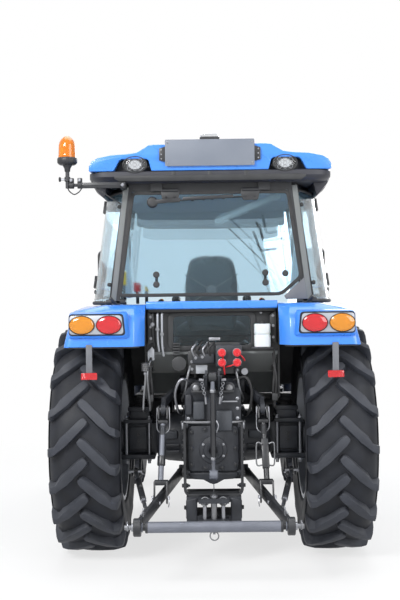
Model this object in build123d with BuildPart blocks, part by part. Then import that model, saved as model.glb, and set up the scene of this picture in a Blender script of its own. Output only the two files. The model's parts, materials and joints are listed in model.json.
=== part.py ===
"""Farm tractor with a cab: four driven wheels, rear three-point hitch and hinged doors.

The frame: +Y is forward, +X is the tractor's right-hand side and +Z is up. The origin is
on the ground in the middle of the machine's length and width. All sizes are millimetres.
"""

import os
from math import cos, pi, radians, sin
from typing import NamedTuple

from build123d import *

# ---------------------------------------------------------------- driving dimensions

rear_axle_y = -950
wheelbase = 2270
seat_gap = 0.3          # between turned faces that run on each other
clearance = 6           # between moving pieces that pass each other

# hitch: pivots in the side view, given behind the rear axle and above the ground
link_pivot_behind = 180
link_pivot_z = 520
link_pivot_x = 200
link_eye_behind = 1050
link_eye_z = 363
link_eye_x = 420
link_eye_radius = 50
link_thickness = 22
link_height = 70
rod_share = 0.53        # where the lift rod meets the link, from pivot to eye
fork_slant = 8          # the fork's inner plate stands off, as the link slants inwards
lift_shaft_behind = 150
lift_shaft_z = 1065
lift_shaft_radius = 40
lift_arm_behind = 450
lift_arm_z = 940
lift_hub_x = 190
lift_arm_x = 300
lift_arm_thickness = 30
lift_pin_radius = 12
hitch_tube_radius = 30
hitch_shaft_radius = 16
hitch_pin_radius = 14
hitch_pin_length = 44
top_link_behind = 530
top_link_pin_z = 1140
top_link_eye_z = 556
top_link_radius = 15
top_link_bore_radius = 12.8
top_link_eye_width = 51

# driveline and frame
cab_front_behind_axle = 980   # from the front axle back to the cab's front pillars
a_pillar_ahead = wheelbase - cab_front_behind_axle
gearbox_half_width = 170
gearbox_rear = 420
gearbox_front = a_pillar_ahead + 10
gearbox_top = 980
belly_z = 470
rear_belly_z = 535
axle_tube_radius = 172
axle_tube_x = 360
axle_depth = 130
axle_height = 200
axle_end_x = 600
pto_z = 690
pto_radius = 17.5
pto_journal_radius = 16
pto_length = 55
cover_thickness = 15
hitch_plate_half_width = 180
hitch_plate_thickness = 15
hitch_plate_depth = 80
hitch_plate_bottom = 420
hitch_plate_top = 856
drawbar_half_width = 165
drawbar_bottom = 270
engine_half_width = 169
engine_front = wheelbase - 170
engine_bottom = 550
engine_top = 1300
rail_inner_x = 170
rail_outer_x = 220
rail_bottom = 700
rail_top = 850
frame_front = wheelbase + 645
nose_front = frame_front + 85
tow_bore_radius = 16
tow_bore_margin = 30
tow_ear_thickness = 40
radiator_rear = wheelbase + 150
radiator_thickness = 80

# front axle
front_wheel_radius = 560
front_axle_z = front_wheel_radius
kingpin_x = 600
kingpin_radius = 22
beam_end_radius = 50
beam_end_height = 160
fork_thickness = 40
steer_arm_length = 150
steer_rod_radius = 14

# cab
floor_z = 1000
floor_thickness = 15
belt_z = 1600
roof_z = 2320
cab_lean = 100          # how far the sides come in from the belt to the roof
pillar_size = 50
door_thickness = 35
door_gap = 6
bulkhead_foot = lift_shaft_z + 220
glass_thickness = 6
b_pillar_ahead = 215
b_pillar_x = 775
a_pillar_x = 715
a_pillar_lean = 120
c_pillar_behind = 375
c_pillar_x = 585
c_pillar_top_x = 500
c_pillar_lean = 45
roof_thickness = 66
shell_height = 104
hump_height = 60

# wheel arches
fender_inner_x = 400
fender_bevel_x = 460
fender_bevel = 70
fender_knee_x = 640
fender_shoulder_x = 836
fender_outer_x = 872
fender_top = 1577
fender_shoulder_drop = 38
fender_drop = 212
fender_thickness = 20

# bonnet
bonnet_rear = a_pillar_ahead + 85
bonnet_front = frame_front + 15
bonnet_rear_top = 1550
bonnet_front_top = 1400
bonnet_rear_half = 360
bonnet_front_half = 310
bonnet_bottom = 1020
bonnet_wall = 12
bonnet_hinge_ahead = bonnet_rear + 25
bonnet_hinge_z = bonnet_rear_top - 70
bonnet_hinge_radius = 10


class Wheel(NamedTuple):
    """One axle's wheels; offsets are from the wheel's centre, outwards positive."""

    axle_y: float
    centre_x: float
    radius: float           # to the tips of the lugs
    section_width: float
    tread_width: float
    bead_radius: float
    rim_width: float
    flange_radius: float
    hub_face: float         # where the hub meets what carries it
    hub_radius: float
    hub_length: float
    disc_radius: float
    disc_meets_rim: float
    cap_radius: float
    cap_length: float
    lug_count: int
    lug_height: float


rear_wheel = Wheel(rear_axle_y, 765, 715, 430, 405, 381, 380, 404,
                   axle_end_x - 765, 110, 25, 150, -45, 60, 60, 19, 36)
front_wheel = Wheel(rear_axle_y + wheelbase, 755, front_wheel_radius, 315, 295, 305, 279, 327,
                    -50, 105, 30, 140, 40, 80, 90, 17, 30)
wheel_axles = {"rear": rear_wheel, "front": front_wheel}
sides = {"left": -1, "right": 1}


# ---------------------------------------------------------------- helpers

def ahead(distance):
    """The y of a point that far ahead of the rear axle."""
    return rear_axle_y + distance


def behind(distance):
    """The y of a point that far behind the rear axle."""
    return rear_axle_y - distance


def between(start, end, share):
    """The point at that share of the way from start to end."""
    return tuple(a + (b - a) * share for a, b in zip(start, end))


def block(x, y, z, mode=Mode.ADD):
    """A box between two limits each way, in the part being built."""
    with Locations(((x[0] + x[1]) / 2, (y[0] + y[1]) / 2, (z[0] + z[1]) / 2)):
        Box(abs(x[1] - x[0]), abs(y[1] - y[0]), abs(z[1] - z[0]), mode=mode)


def rod(start, end, radius, mode=Mode.ADD):
    """A round bar from start to end, in the part being built."""
    axis = Vector(*end) - Vector(*start)
    with BuildSketch(Plane(origin=start, z_dir=axis)) as section:
        Circle(radius)
    extrude(section.sketch, amount=axis.length, mode=mode)


def cross_rod(x, y, z, radius, mode=Mode.ADD):
    """A round bar across the tractor between two x limits."""
    rod((min(x), y, z), (max(x), y, z), radius, mode)


def bar(start, end, across, depth, mode=Mode.ADD):
    """A rectangular bar from start to end; across is its size along X."""
    axis = Vector(*end) - Vector(*start)
    with BuildSketch(Plane(origin=start, x_dir=(1, 0, 0), z_dir=axis)) as section:
        Rectangle(across, depth)
    extrude(section.sketch, amount=axis.length, mode=mode)


def side_plate(points, x, mode=Mode.ADD):
    """A flat plate between two x limits, its outline given as (y, z) points."""
    with BuildSketch(Plane.YZ.offset(min(x))) as outline:
        with BuildLine():
            Polyline(*points, close=True)
        make_face()
    extrude(outline.sketch, amount=max(x) - min(x), mode=mode)


def level_plate(points, z, mode=Mode.ADD):
    """A flat plate between two z limits, its outline given as (x, y) points."""
    with BuildSketch(Plane.XY.offset(min(z))) as outline:
        with BuildLine():
            Polyline(*points, close=True)
        make_face()
    extrude(outline.sketch, amount=max(z) - min(z), mode=mode)


def front_plate(points, y, mode=Mode.ADD):
    """A flat plate between two y limits, its outline given as (x, z) points."""
    with BuildSketch(Plane.XZ.offset(-max(y))) as outline:
        with BuildLine():
            Polyline(*points, close=True)
        make_face()
    extrude(outline.sketch, amount=max(y) - min(y), mode=mode)


def oval(centre, half_width, half_height, depth):
    """An oval lamp that reaches rearwards from its centre."""
    with BuildSketch(Plane(origin=centre, x_dir=(1, 0, 0), z_dir=(0, -1, 0))) as outline:
        Ellipse(half_width, half_height)
    extrude(outline.sketch, amount=depth)


def mirrored(points):
    """The outline of (x, y) points on the right, closed over the centre plane."""
    return list(points) + [(-x, y) for x, y in reversed(points)]


def write_piece(piece, name):
    """Label a finished piece and write it."""
    piece.label = name
    export_step(piece, f"parts/{name}.step")


os.makedirs("parts", exist_ok=True)

# ---------------------------------------------------------------- wheels


def wheel_plane(wheel, side):
    """Across the wheel through its axle: local x runs outwards, local y runs up."""
    centre = (side * wheel.centre_x, wheel.axle_y, wheel.radius)
    return Plane(origin=centre, x_dir=(side, 0, 0), z_dir=(0, -side, 0))


def wheel_axis(wheel):
    """The line that the wheel turns about."""
    return Axis((0, wheel.axle_y, wheel.radius), (1, 0, 0))


def wheel_point(wheel, side, across, radius, turn):
    """A point by its distance outwards, its radius and its angle in degrees from the top."""
    return Vector(side * (wheel.centre_x + across), wheel.axle_y + radius * sin(radians(turn)),
                  wheel.radius + radius * cos(radians(turn)))


def six_sided(bottom, top):
    """A solid between two ends of four corners each, with every side split into triangles."""
    sides_of_solid = [bottom[::-1], top]
    for i in range(4):
        following = (i + 1) % 4
        sides_of_solid.append([bottom[i], bottom[following], top[following], top[i]])
    faces = []
    for a, b, c, d in sides_of_solid:
        faces.append(Face(Wire.make_polygon([a, b, c], close=True)))
        faces.append(Face(Wire.make_polygon([a, c, d], close=True)))
    return Solid(Shell(faces))


tyre_sectors = 30
lug_sweep = 14          # degrees that a lug falls back from the tread's middle to its shoulder
lug_half_angles = (2.2, 3.2)    # half a lug's foot at the middle and at the shoulder
lug_top_share = 0.7
lug_shoulder_drop = 20
lug_root = 35           # how deep a lug's foot lies in the carcass


def make_lug(wheel, side, row, turn):
    """One lug of the tread; row is 1 on its outer half and -1 on its inner half."""
    stations = ((-10, turn, wheel.radius, lug_half_angles[0]),
                (wheel.tread_width / 2 - 2.5, turn - lug_sweep, wheel.radius - lug_shoulder_drop,
                 lug_half_angles[1]))
    foot_radius = wheel.radius - wheel.lug_height - lug_root
    foot, top = [], []
    for order, (across, angle, radius, half) in zip((1, -1), stations):
        for way in (-order, order):
            foot.append(wheel_point(wheel, side, row * across, foot_radius, angle + way * half))
            top.append(wheel_point(wheel, side, row * across, radius, angle + way * half * lug_top_share))
    return six_sided(foot, top)


def make_carcass(wheel, side):
    """The tyre without its lugs: flat sectors round the axle, from bead to bead."""
    bead_x = wheel.rim_width / 2 - 7.5
    wall = wheel.radius - wheel.bead_radius
    half_section = [
        (bead_x, (wheel.bead_radius + seat_gap) / cos(pi / tyre_sectors)),
        (bead_x, wheel.flange_radius + 4),
        (wheel.section_width / 2, wheel.bead_radius + wall * 0.5),
        (wheel.tread_width / 2, wheel.radius - wheel.lug_height - 5),
    ]
    outline = half_section + [(-x, radius) for x, radius in half_section[::-1]]
    turn = 360 / tyre_sectors
    faces = []
    for sector in range(tyre_sectors):
        for start, end in zip(outline, outline[1:] + outline[:1]):
            corners = [wheel_point(wheel, side, *start, sector * turn),
                       wheel_point(wheel, side, *end, sector * turn),
                       wheel_point(wheel, side, *end, (sector + 1) * turn),
                       wheel_point(wheel, side, *start, (sector + 1) * turn)]
            faces.append(Face(Wire.make_polygon(corners, close=True)))
    return Solid(Shell(faces))


def make_tyre(wheel, side):
    """The tyre: its carcass with two rows of lugs fused on, half a pitch apart."""
    lugs = []
    for i in range(wheel.lug_count):
        for row, shift in ((1, 0), (-1, 0.5)):
            lugs.append(make_lug(wheel, side, row, (i + shift) * 360 / wheel.lug_count))
    with BuildPart() as tyre:
        add(make_carcass(wheel, side))
        add(lugs)
    return tyre.part


def make_rim(wheel, side):
    """The rim with its dished disc, its hub flange and its cap."""
    half = wheel.rim_width / 2
    lip = half - 7.5 + seat_gap
    bead = wheel.bead_radius
    plate = 12
    face = wheel.hub_face + wheel.hub_length
    meets = wheel.disc_meets_rim
    with BuildPart() as rim:
        with BuildSketch(wheel_plane(wheel, side)):
            with BuildLine():
                Polyline((-half, bead - 9), (-half, wheel.flange_radius),
                         (-lip, wheel.flange_radius), (-lip, bead), (lip, bead),
                         (lip, wheel.flange_radius), (half, wheel.flange_radius),
                         (half, bead - 9), close=True)
            make_face()
            with BuildLine():
                Polyline((wheel.hub_face + seat_gap, 0), (wheel.hub_face + seat_gap, wheel.hub_radius),
                         (face, wheel.hub_radius), (face, wheel.disc_radius),
                         (meets, bead - 4), (meets + plate, bead - 4),
                         (face + plate, wheel.disc_radius - 4), (face + plate, wheel.cap_radius),
                         (face + plate + wheel.cap_length, wheel.cap_radius - 8),
                         (face + plate + wheel.cap_length, 0), close=True)
            make_face()
        revolve(axis=wheel_axis(wheel))
    return rim.part


for axle_name, wheel in wheel_axles.items():
    for side_name, side in sides.items():
        write_piece(make_tyre(wheel, side), f"{axle_name}_tyre_{side_name}")
        write_piece(make_rim(wheel, side), f"{axle_name}_rim_{side_name}")

# ---------------------------------------------------------------- driveline

axle_top = rear_wheel.radius + axle_height / 2
axle_bottom = rear_wheel.radius - axle_height / 2
seat_top = 920
stabilizer_x = 490
mount_x = 470
front_mount_ahead = a_pillar_ahead - 140

with BuildPart() as transmission:
    side_plate([(behind(gearbox_rear), rear_belly_z), (ahead(60), rear_belly_z),
                (ahead(160), belly_z), (ahead(gearbox_front), belly_z),
                (ahead(gearbox_front), gearbox_top), (ahead(100), gearbox_top),
                (ahead(60), lift_shaft_z + 55), (behind(gearbox_rear - 60), lift_shaft_z + 55),
                (behind(gearbox_rear), lift_shaft_z)],
               (-gearbox_half_width, gearbox_half_width))
    cross_rod((-gearbox_half_width - 1, gearbox_half_width + 1), behind(lift_shaft_behind),
              lift_shaft_z, lift_shaft_radius + seat_gap, Mode.SUBTRACT)
    for side in sides.values():
        cross_rod((side * gearbox_half_width, side * (link_pivot_x + 30)),
                  behind(link_pivot_behind), link_pivot_z, 14)
        block((side * 120, side * gearbox_half_width), (behind(240), behind(120)),
              (link_pivot_z - 40, rear_belly_z))
    block((-125, 125), (behind(gearbox_rear), behind(gearbox_rear + cover_thickness)), (570, 820))
    rod((0, behind(gearbox_rear + 20), pto_z), (0, behind(gearbox_rear - 60), pto_z),
        pto_journal_radius + seat_gap, Mode.SUBTRACT)
    for side in sides.values():
        block((side * gearbox_half_width, side * (mount_x + 60)),
              (ahead(front_mount_ahead - 60), ahead(front_mount_ahead + 60)), (seat_top - 25, seat_top))
        block((side * gearbox_half_width, side * 300),
              (ahead(front_mount_ahead - 20), ahead(front_mount_ahead + 20)), (seat_top - 120, seat_top - 24))
    for side in sides.values():
        side_plate([(behind(gearbox_rear - 60), lift_shaft_z + 55), (behind(gearbox_rear), lift_shaft_z),
                    (behind(gearbox_rear), lift_shaft_z - 60), (behind(top_link_behind + 10), top_link_pin_z - 30),
                    (behind(top_link_behind + 35), top_link_pin_z + 10),
                    (behind(top_link_behind), top_link_pin_z + 40)],
                   (side * 32, side * 44))
    cross_rod((-55, 55), behind(top_link_behind), top_link_pin_z, 12)
write_piece(transmission.part, "transmission")

with BuildPart() as pto_shaft:
    stub_start = gearbox_rear + cover_thickness + clearance
    rod((0, behind(gearbox_rear - 55), pto_z), (0, behind(stub_start), pto_z), pto_journal_radius)
    rod((0, behind(stub_start), pto_z), (0, behind(stub_start + pto_length), pto_z), pto_radius)
write_piece(pto_shaft.part, "pto_shaft")

with BuildPart() as axle_housings:
    for side in sides.values():
        cross_rod((side * gearbox_half_width, side * axle_tube_x), rear_axle_y,
                  rear_wheel.radius, axle_tube_radius)
        block((side * axle_tube_x, side * axle_end_x),
              (rear_axle_y - axle_depth / 2, rear_axle_y + axle_depth / 2), (axle_bottom, axle_top))
write_piece(axle_housings.part, "axle_housings")

with BuildPart() as axle_seats:
    for side in sides.values():
        block((side * 395, side * 570), (behind(110), ahead(110)), (axle_top, axle_top + 25))
        block((side * 410, side * 530), (behind(90), ahead(90)), (axle_top + 25, seat_top))
        block((side * 375, side * 585), (behind(110), ahead(110)), (axle_bottom - 30, axle_bottom))
        for x in (410, 555):
            for y in (-90, 90):
                rod((side * x, rear_axle_y + y, axle_bottom - 60),
                    (side * x, rear_axle_y + y, axle_top + 50), 12)
    for side in sides.values():
        for x in (stabilizer_x - 30, stabilizer_x + 16):
            side_plate([(behind(link_pivot_behind + 30), link_pivot_z - 25),
                        (behind(link_pivot_behind - 30), link_pivot_z - 25),
                        (behind(60), axle_bottom - 30), (behind(110), axle_bottom - 30)],
                       (side * x, side * (x + 14)))
        cross_rod((side * (stabilizer_x - 34), side * (stabilizer_x + 34)),
                  behind(link_pivot_behind), link_pivot_z, 12)
write_piece(axle_seats.part, "axle_seats")

# rubber cab mounts: (x, ahead of the rear axle)
mount_places = ((mount_x, 0), (mount_x, front_mount_ahead))
mount_top = floor_z - floor_thickness
with BuildPart() as cab_mounts:
    for x, distance in mount_places:
        for side in sides.values():
            rod((side * x, ahead(distance), seat_top), (side * x, ahead(distance), mount_top), 45)
write_piece(cab_mounts.part, "cab_mounts")

with BuildPart() as engine:
    block((-engine_half_width, engine_half_width), (ahead(gearbox_front), ahead(engine_front)),
          (engine_bottom, engine_top))
write_piece(engine.part, "engine")

with BuildPart() as front_frame:
    for side in sides.values():
        block((side * rail_inner_x, side * rail_outer_x), (ahead(gearbox_front - 60), ahead(frame_front)),
              (rail_bottom, rail_top))
    block((-rail_outer_x, rail_outer_x), (ahead(wheelbase + 30), ahead(frame_front)), (rail_top, rail_top + 15))
    block((-rail_inner_x, rail_inner_x), (ahead(wheelbase - 110), ahead(wheelbase + 110)),
          (rail_bottom - 20, rail_bottom + 40))
    block((-rail_outer_x, rail_outer_x), (ahead(frame_front), ahead(frame_front + 20)),
          (rail_bottom - 40, rail_top + 15))
    for z in (rail_bottom, rail_top - tow_ear_thickness):
        block((-60, 60), (ahead(frame_front + 20), ahead(nose_front)), (z, z + tow_ear_thickness))
    rod((0, ahead(nose_front - tow_bore_margin), rail_bottom - 50),
        (0, ahead(nose_front - tow_bore_margin), rail_top + 20), tow_bore_radius, Mode.SUBTRACT)
write_piece(front_frame.part, "front_frame")

with BuildPart() as radiator:
    block((-260, 260), (ahead(radiator_rear), ahead(radiator_rear + radiator_thickness)),
          (rail_top + 15, bonnet_front_top - 40))
write_piece(radiator.part, "radiator")

# ---------------------------------------------------------------- front axle

front_axle_y = rear_axle_y + wheelbase
beam_end_top = front_axle_z + beam_end_height / 2
beam_end_bottom = front_axle_z - beam_end_height / 2
cylinder_y = front_axle_y + steer_arm_length
cylinder_z = front_axle_z - 40
with BuildPart() as front_axle:
    block((-110, 110), (front_axle_y - 110, front_axle_y + 110),
          (front_axle_z - 110, rail_bottom - 20))
    block((-500, 500), (front_axle_y - 65, front_axle_y + 65),
          (front_axle_z - 70, front_axle_z + 70))
    block((-kingpin_x, kingpin_x), (front_axle_y - 42, front_axle_y + 42),
          (beam_end_bottom, beam_end_top))
    for side in sides.values():
        rod((side * kingpin_x, front_axle_y, beam_end_bottom),
            (side * kingpin_x, front_axle_y, beam_end_top), beam_end_radius)
        rod((side * kingpin_x, front_axle_y, beam_end_bottom - 1),
            (side * kingpin_x, front_axle_y, beam_end_top + 1),
            kingpin_radius + seat_gap, Mode.SUBTRACT)
    cross_rod((-230, 230), cylinder_y, cylinder_z, 35)
    cross_rod((-231, 231), cylinder_y, cylinder_z, steer_rod_radius + seat_gap, Mode.SUBTRACT)
    rod((0, ahead(gearbox_front), front_axle_z - 45), (0, front_axle_y - 109, front_axle_z - 45), 28)
    for x in (-180, 150):
        block((x, x + 30), (front_axle_y + 60, cylinder_y - 30), (front_axle_z - 60, front_axle_z - 15))
write_piece(front_axle.part, "front_axle")

arm_top = beam_end_bottom - seat_gap
with BuildPart() as steering_rod:
    cross_rod((-kingpin_x, kingpin_x), cylinder_y, cylinder_z, steer_rod_radius)
    for side in sides.values():
        rod((side * kingpin_x, cylinder_y, arm_top + clearance),
            (side * kingpin_x, cylinder_y, cylinder_z + 25), 26)
write_piece(steering_rod.part, "steering_rod")


def make_knuckle(side):
    """The steered knuckle: a fork over the beam's end, its kingpin, spindle and arm."""
    x = side * kingpin_x
    hub_x = front_wheel.centre_x + front_wheel.hub_face
    web_x = kingpin_x + beam_end_radius + clearance
    levels = ((beam_end_top + seat_gap, beam_end_top + seat_gap + fork_thickness),
              (arm_top - fork_thickness, arm_top))
    with BuildPart() as knuckle:
        for level in levels:
            rod((x, front_axle_y, level[0]), (x, front_axle_y, level[1]), 60)
            block((x, side * (web_x + 10)), (front_axle_y - 60, front_axle_y + 60), level)
        block((side * web_x, side * (web_x + 25)), (front_axle_y - 60, front_axle_y + 60),
              (levels[1][0], levels[0][1]))
        rod((x, front_axle_y, levels[1][1] - 1), (x, front_axle_y, levels[0][0] + 1), kingpin_radius)
        cross_rod((side * (web_x + 20), side * hub_x), front_axle_y, front_axle_z, 90)
        block((x - 28, x + 28), (front_axle_y + 50, cylinder_y), levels[1])
        rod((x, cylinder_y, levels[1][0]), (x, cylinder_y, levels[1][1]), 28)
    return knuckle.part


for side_name, side in sides.items():
    write_piece(make_knuckle(side), f"knuckle_{side_name}")

# ---------------------------------------------------------------- hitch

plate_inner = hitch_plate_half_width - hitch_plate_thickness
with BuildPart() as hitch_frame:
    y = (behind(gearbox_rear + hitch_plate_depth), behind(gearbox_rear))
    for side in sides.values():
        block((side * plate_inner, side * hitch_plate_half_width), y,
              (hitch_plate_bottom, hitch_plate_top))
    block((-plate_inner, plate_inner), y, (hitch_plate_bottom, hitch_plate_bottom + 16))
write_piece(hitch_frame.part, "hitch_frame")

with BuildPart() as drawbar:
    half = drawbar_half_width
    block((-half, half), (behind(500), behind(250)), (hitch_plate_bottom - 35, hitch_plate_bottom))
    block((-half, half), (behind(500), behind(250)), (drawbar_bottom, drawbar_bottom + 35))
    for side in sides.values():
        block((side * (half - 30), side * half), (behind(500), behind(250)),
              (drawbar_bottom, hitch_plate_bottom))
    for plate in (drawbar_bottom, hitch_plate_bottom - 25):
        block((-90, 90), (behind(590), behind(499)), (plate, plate + 25))
    for x, radius in ((-55, 12), (0, 18), (55, 12)):
        rod((x, behind(548), drawbar_bottom - 20), (x, behind(548), hitch_plate_bottom + 5), radius)
write_piece(drawbar.part, "drawbar")

with BuildPart() as top_link:
    pin = (0, behind(top_link_behind), top_link_pin_z)
    eye = (0, behind(top_link_behind), top_link_eye_z)
    cross_rod((-top_link_eye_width / 2, top_link_eye_width / 2), pin[1], pin[2], 28)
    rod(pin, eye, top_link_radius)
    cross_rod((-top_link_eye_width / 2, top_link_eye_width / 2), eye[1], eye[2], 28)
    cross_rod((-50, 50), pin[1], pin[2], 12 + seat_gap, Mode.SUBTRACT)
    cross_rod((-50, 50), eye[1], eye[2], top_link_bore_radius, Mode.SUBTRACT)
write_piece(top_link.part, "top_link")


def link_point(share):
    """A point (x, y, z) along the right-hand lower link, from its pivot to its eye."""
    start = (link_pivot_x, behind(link_pivot_behind), link_pivot_z)
    end = (link_eye_x, behind(link_eye_behind), link_eye_z)
    return between(start, end, share)


with BuildPart() as lower_links:
    pivot = link_point(0)
    eye = link_point(1)
    for side in sides.values():
        bar((side * pivot[0], *pivot[1:]), (side * eye[0], *eye[1:]), link_thickness, link_height)
        cross_rod((side * (pivot[0] - 18), side * (pivot[0] + 18)), pivot[1], pivot[2], 40)
        cross_rod((side * (eye[0] - link_thickness), side * (eye[0] + link_thickness)), eye[1], eye[2],
                  link_eye_radius)
        cross_rod((side * (pivot[0] - 60), side * (pivot[0] + 60)), pivot[1], pivot[2],
                  14 + seat_gap, Mode.SUBTRACT)
        cross_rod((side * (eye[0] - 60), side * (eye[0] + 60)), eye[1], eye[2],
                  hitch_shaft_radius, Mode.SUBTRACT)
write_piece(lower_links.part, "lower_links")

with BuildPart() as hitch_tube:
    eye = link_point(1)
    inner = eye[0] - link_thickness
    cross_rod((-inner, inner), eye[1], eye[2], hitch_tube_radius)
    pin_start = eye[0] + link_thickness + 4
    cross_rod((-pin_start, pin_start), eye[1], eye[2], hitch_shaft_radius)
    for side in sides.values():
        cross_rod((side * pin_start, side * (pin_start + hitch_pin_length)), eye[1], eye[2],
                  hitch_pin_radius)
write_piece(hitch_tube.part, "hitch_tube")

with BuildPart() as stabilizers:
    for side in sides.values():
        start = (side * stabilizer_x, behind(link_pivot_behind), link_pivot_z)
        end = link_point(0.72)
        rod(start, (side * (end[0] + 26), *end[1:]), 12)
        cross_rod((side * (end[0] + 17), side * (end[0] + 40)), end[1], end[2], 18)
        cross_rod((side * (stabilizer_x - 12), side * (stabilizer_x + 12)), start[1], start[2], 24)
        cross_rod((side * (stabilizer_x - 20), side * (stabilizer_x + 20)), start[1], start[2],
                  12 + seat_gap, Mode.SUBTRACT)
write_piece(stabilizers.part, "stabilizers")

with BuildPart() as lift_arms:
    y, z = behind(lift_shaft_behind), lift_shaft_z
    half = lift_arm_thickness / 2
    cross_rod((-lift_hub_x - half, lift_hub_x + half), y, z, lift_shaft_radius)
    for side in sides.values():
        cross_rod((side * (lift_hub_x - half), side * (lift_hub_x + half)), y, z, 60)
        limits = (side * (lift_arm_x - half), side * (lift_arm_x + half))
        tip = (side * lift_arm_x, behind(lift_arm_behind), lift_arm_z)
        bend = between((side * lift_arm_x, y, z), tip, 0.72)
        bar((side * lift_hub_x, y, z), bend, lift_arm_thickness, 70)
        cross_rod(limits, bend[1], bend[2], 35)
        bar(bend, tip, lift_arm_thickness, 70)
        cross_rod(limits, behind(lift_arm_behind), lift_arm_z, 36)
        cross_rod((side * (lift_arm_x - 40), side * (lift_arm_x + 40)), behind(lift_arm_behind),
                  lift_arm_z, lift_pin_radius + seat_gap, Mode.SUBTRACT)
write_piece(lift_arms.part, "lift_arms")


with BuildPart() as lift_rods:
    top = (lift_arm_x, behind(lift_arm_behind), lift_arm_z)
    foot = link_point(rod_share)
    arm_gap = lift_arm_thickness / 2 + clearance
    fork_gap = link_thickness / 2 + clearance + 12
    fork_ends = (-fork_gap - fork_slant, fork_gap)
    neck = between(top, foot, 0.12)
    crotch = between(top, foot, 0.79)
    for side in sides.values():
        for offset in (-arm_gap - 5, arm_gap + 5):
            bar((side * (top[0] + offset), top[1], top[2]),
                (side * (neck[0] + offset), neck[1], neck[2]), 10, 50)
            cross_rod((side * (top[0] + offset - 5), side * (top[0] + offset + 5)), top[1], top[2], 25)
        block((side * (neck[0] - arm_gap - 10), side * (neck[0] + arm_gap + 10)),
              (neck[1] - 25, neck[1] + 25), (neck[2] - 20, neck[2]))
        cross_rod((side * (top[0] - arm_gap - 20), side * (top[0] + arm_gap + 20)), top[1], top[2],
                  lift_pin_radius)
        rod((side * neck[0], neck[1], neck[2] - 10), (side * crotch[0], crotch[1], crotch[2]), 18)
        block((side * (foot[0] + fork_ends[0] - 10), side * (foot[0] + fork_ends[1] + 10)),
              (crotch[1] - 30, crotch[1] + 30), (crotch[2] - 25, crotch[2]))
        for offset in (fork_ends[0] - 5, fork_ends[1] + 5):
            x = side * (foot[0] + offset)
            bar((x, crotch[1], crotch[2] - 5), (x, foot[1], foot[2] - 40), 10, 46)
write_piece(lift_rods.part, "lift_rods")

# ---------------------------------------------------------------- cab

roof_rear = 450
roof_front = a_pillar_ahead + 210
window_rear = c_pillar_behind + 15
bulkhead_hole_x = 240
bulkhead_hole_bottom = bulkhead_foot + 25
bulkhead_hole_top = belt_z - 90
door_rear_low = rear_wheel.radius + 25
door_front = a_pillar_ahead - 25
hinge_ahead = b_pillar_ahead + 4


def side_x(distance, z):
    """The outer face of the cab's side, by the distance ahead of the axle and the height."""
    share = (distance - b_pillar_ahead) / (a_pillar_ahead - b_pillar_ahead)
    lean = max(0, z - belt_z) / (roof_z - belt_z) * cab_lean
    return b_pillar_x + (a_pillar_x - b_pillar_x) * share - lean


def side_point(side, distance, z, inset=0):
    """A point on the cab's side, moved inwards by an inset."""
    return (side * (side_x(distance, z) - inset), ahead(distance), z)


a_top_ahead = a_pillar_ahead - a_pillar_lean
half_pillar = pillar_size / 2
rail_z = roof_z - half_pillar
pillar_feet = {                       # foot, belt and top of each pillar on the right
    "a": (side_point(1, a_pillar_ahead, floor_z, half_pillar),
          side_point(1, a_pillar_ahead, belt_z, half_pillar),
          side_point(1, a_top_ahead, rail_z, half_pillar)),
    "b": (side_point(1, b_pillar_ahead - half_pillar, fender_top, half_pillar),
          side_point(1, b_pillar_ahead - half_pillar, belt_z, half_pillar),
          side_point(1, b_pillar_ahead - half_pillar, rail_z, half_pillar)),
    "c": ((c_pillar_x, behind(c_pillar_behind), fender_top),
          (c_pillar_x, behind(c_pillar_behind), belt_z),
          (c_pillar_top_x, behind(c_pillar_behind - c_pillar_lean), rail_z)),
}
hinge_pin_radius = 7
hinge_barrel_radius = 13
hinge_offset = 18
hinge_heights = (1690, 2190)


def hinge_point(side, z):
    """A point on the door's hinge axis, just outside the cab's side."""
    return (side * (side_x(hinge_ahead, z) + hinge_offset), ahead(hinge_ahead), z)


sill_x = side_x(door_rear_low, floor_z) - 20
mirror_z = 1980
mirror_arm_ahead = a_pillar_ahead - a_pillar_lean * (mirror_z - belt_z) / (roof_z - belt_z)
mirror_lug_x = side_x(mirror_arm_ahead, mirror_z) + 6
with BuildPart() as cab_frame:
    for side in sides.values():
        for foot, belt, top in pillar_feet.values():
            bar((side * foot[0], *foot[1:]), (side * belt[0], *belt[1:]), pillar_size, pillar_size)
            bar((side * belt[0], *belt[1:]), (side * top[0], *top[1:]), pillar_size, pillar_size)
        tops = [pillar_feet[name][2] for name in ("c", "b", "a")]
        for start, end in zip(tops, tops[1:]):
            bar((side * start[0], start[1], rail_z), (side * end[0], end[1], rail_z),
                pillar_size, pillar_size)
        block((side * (sill_x - 70), side * sill_x), (ahead(door_rear_low - 40), ahead(a_pillar_ahead + half_pillar)),
              (floor_z - 40, floor_z))
    for name in ("c", "a"):
        top = pillar_feet[name][2]
        block((-top[0], top[0]), (top[1] - half_pillar, top[1] + half_pillar),
              (roof_z - pillar_size, roof_z))
    for side in sides.values():
        block((side * (mirror_lug_x - 30), side * mirror_lug_x),
              (ahead(mirror_arm_ahead - 12), ahead(mirror_arm_ahead + 12)), (mirror_z - 12, mirror_z + 12))
        for z in hinge_heights:
            rod(hinge_point(side, z + 52), hinge_point(side, z + 80), hinge_barrel_radius)
            rod(hinge_point(side, z - 5), hinge_point(side, z + 60), hinge_pin_radius)
            x = side_x(hinge_ahead, z + 66)
            block((side * (x - 20), side * (x + hinge_offset + 5)), (ahead(hinge_ahead - 20), ahead(hinge_ahead - 2)),
                  (z + 54, z + 78))
    for x in (-330, 330):
        block((x - 35, x + 35), (behind(c_pillar_behind + 5), behind(c_pillar_behind - 21)),
              (roof_z - 50, roof_z))
write_piece(cab_frame.part, "cab_frame")

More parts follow.
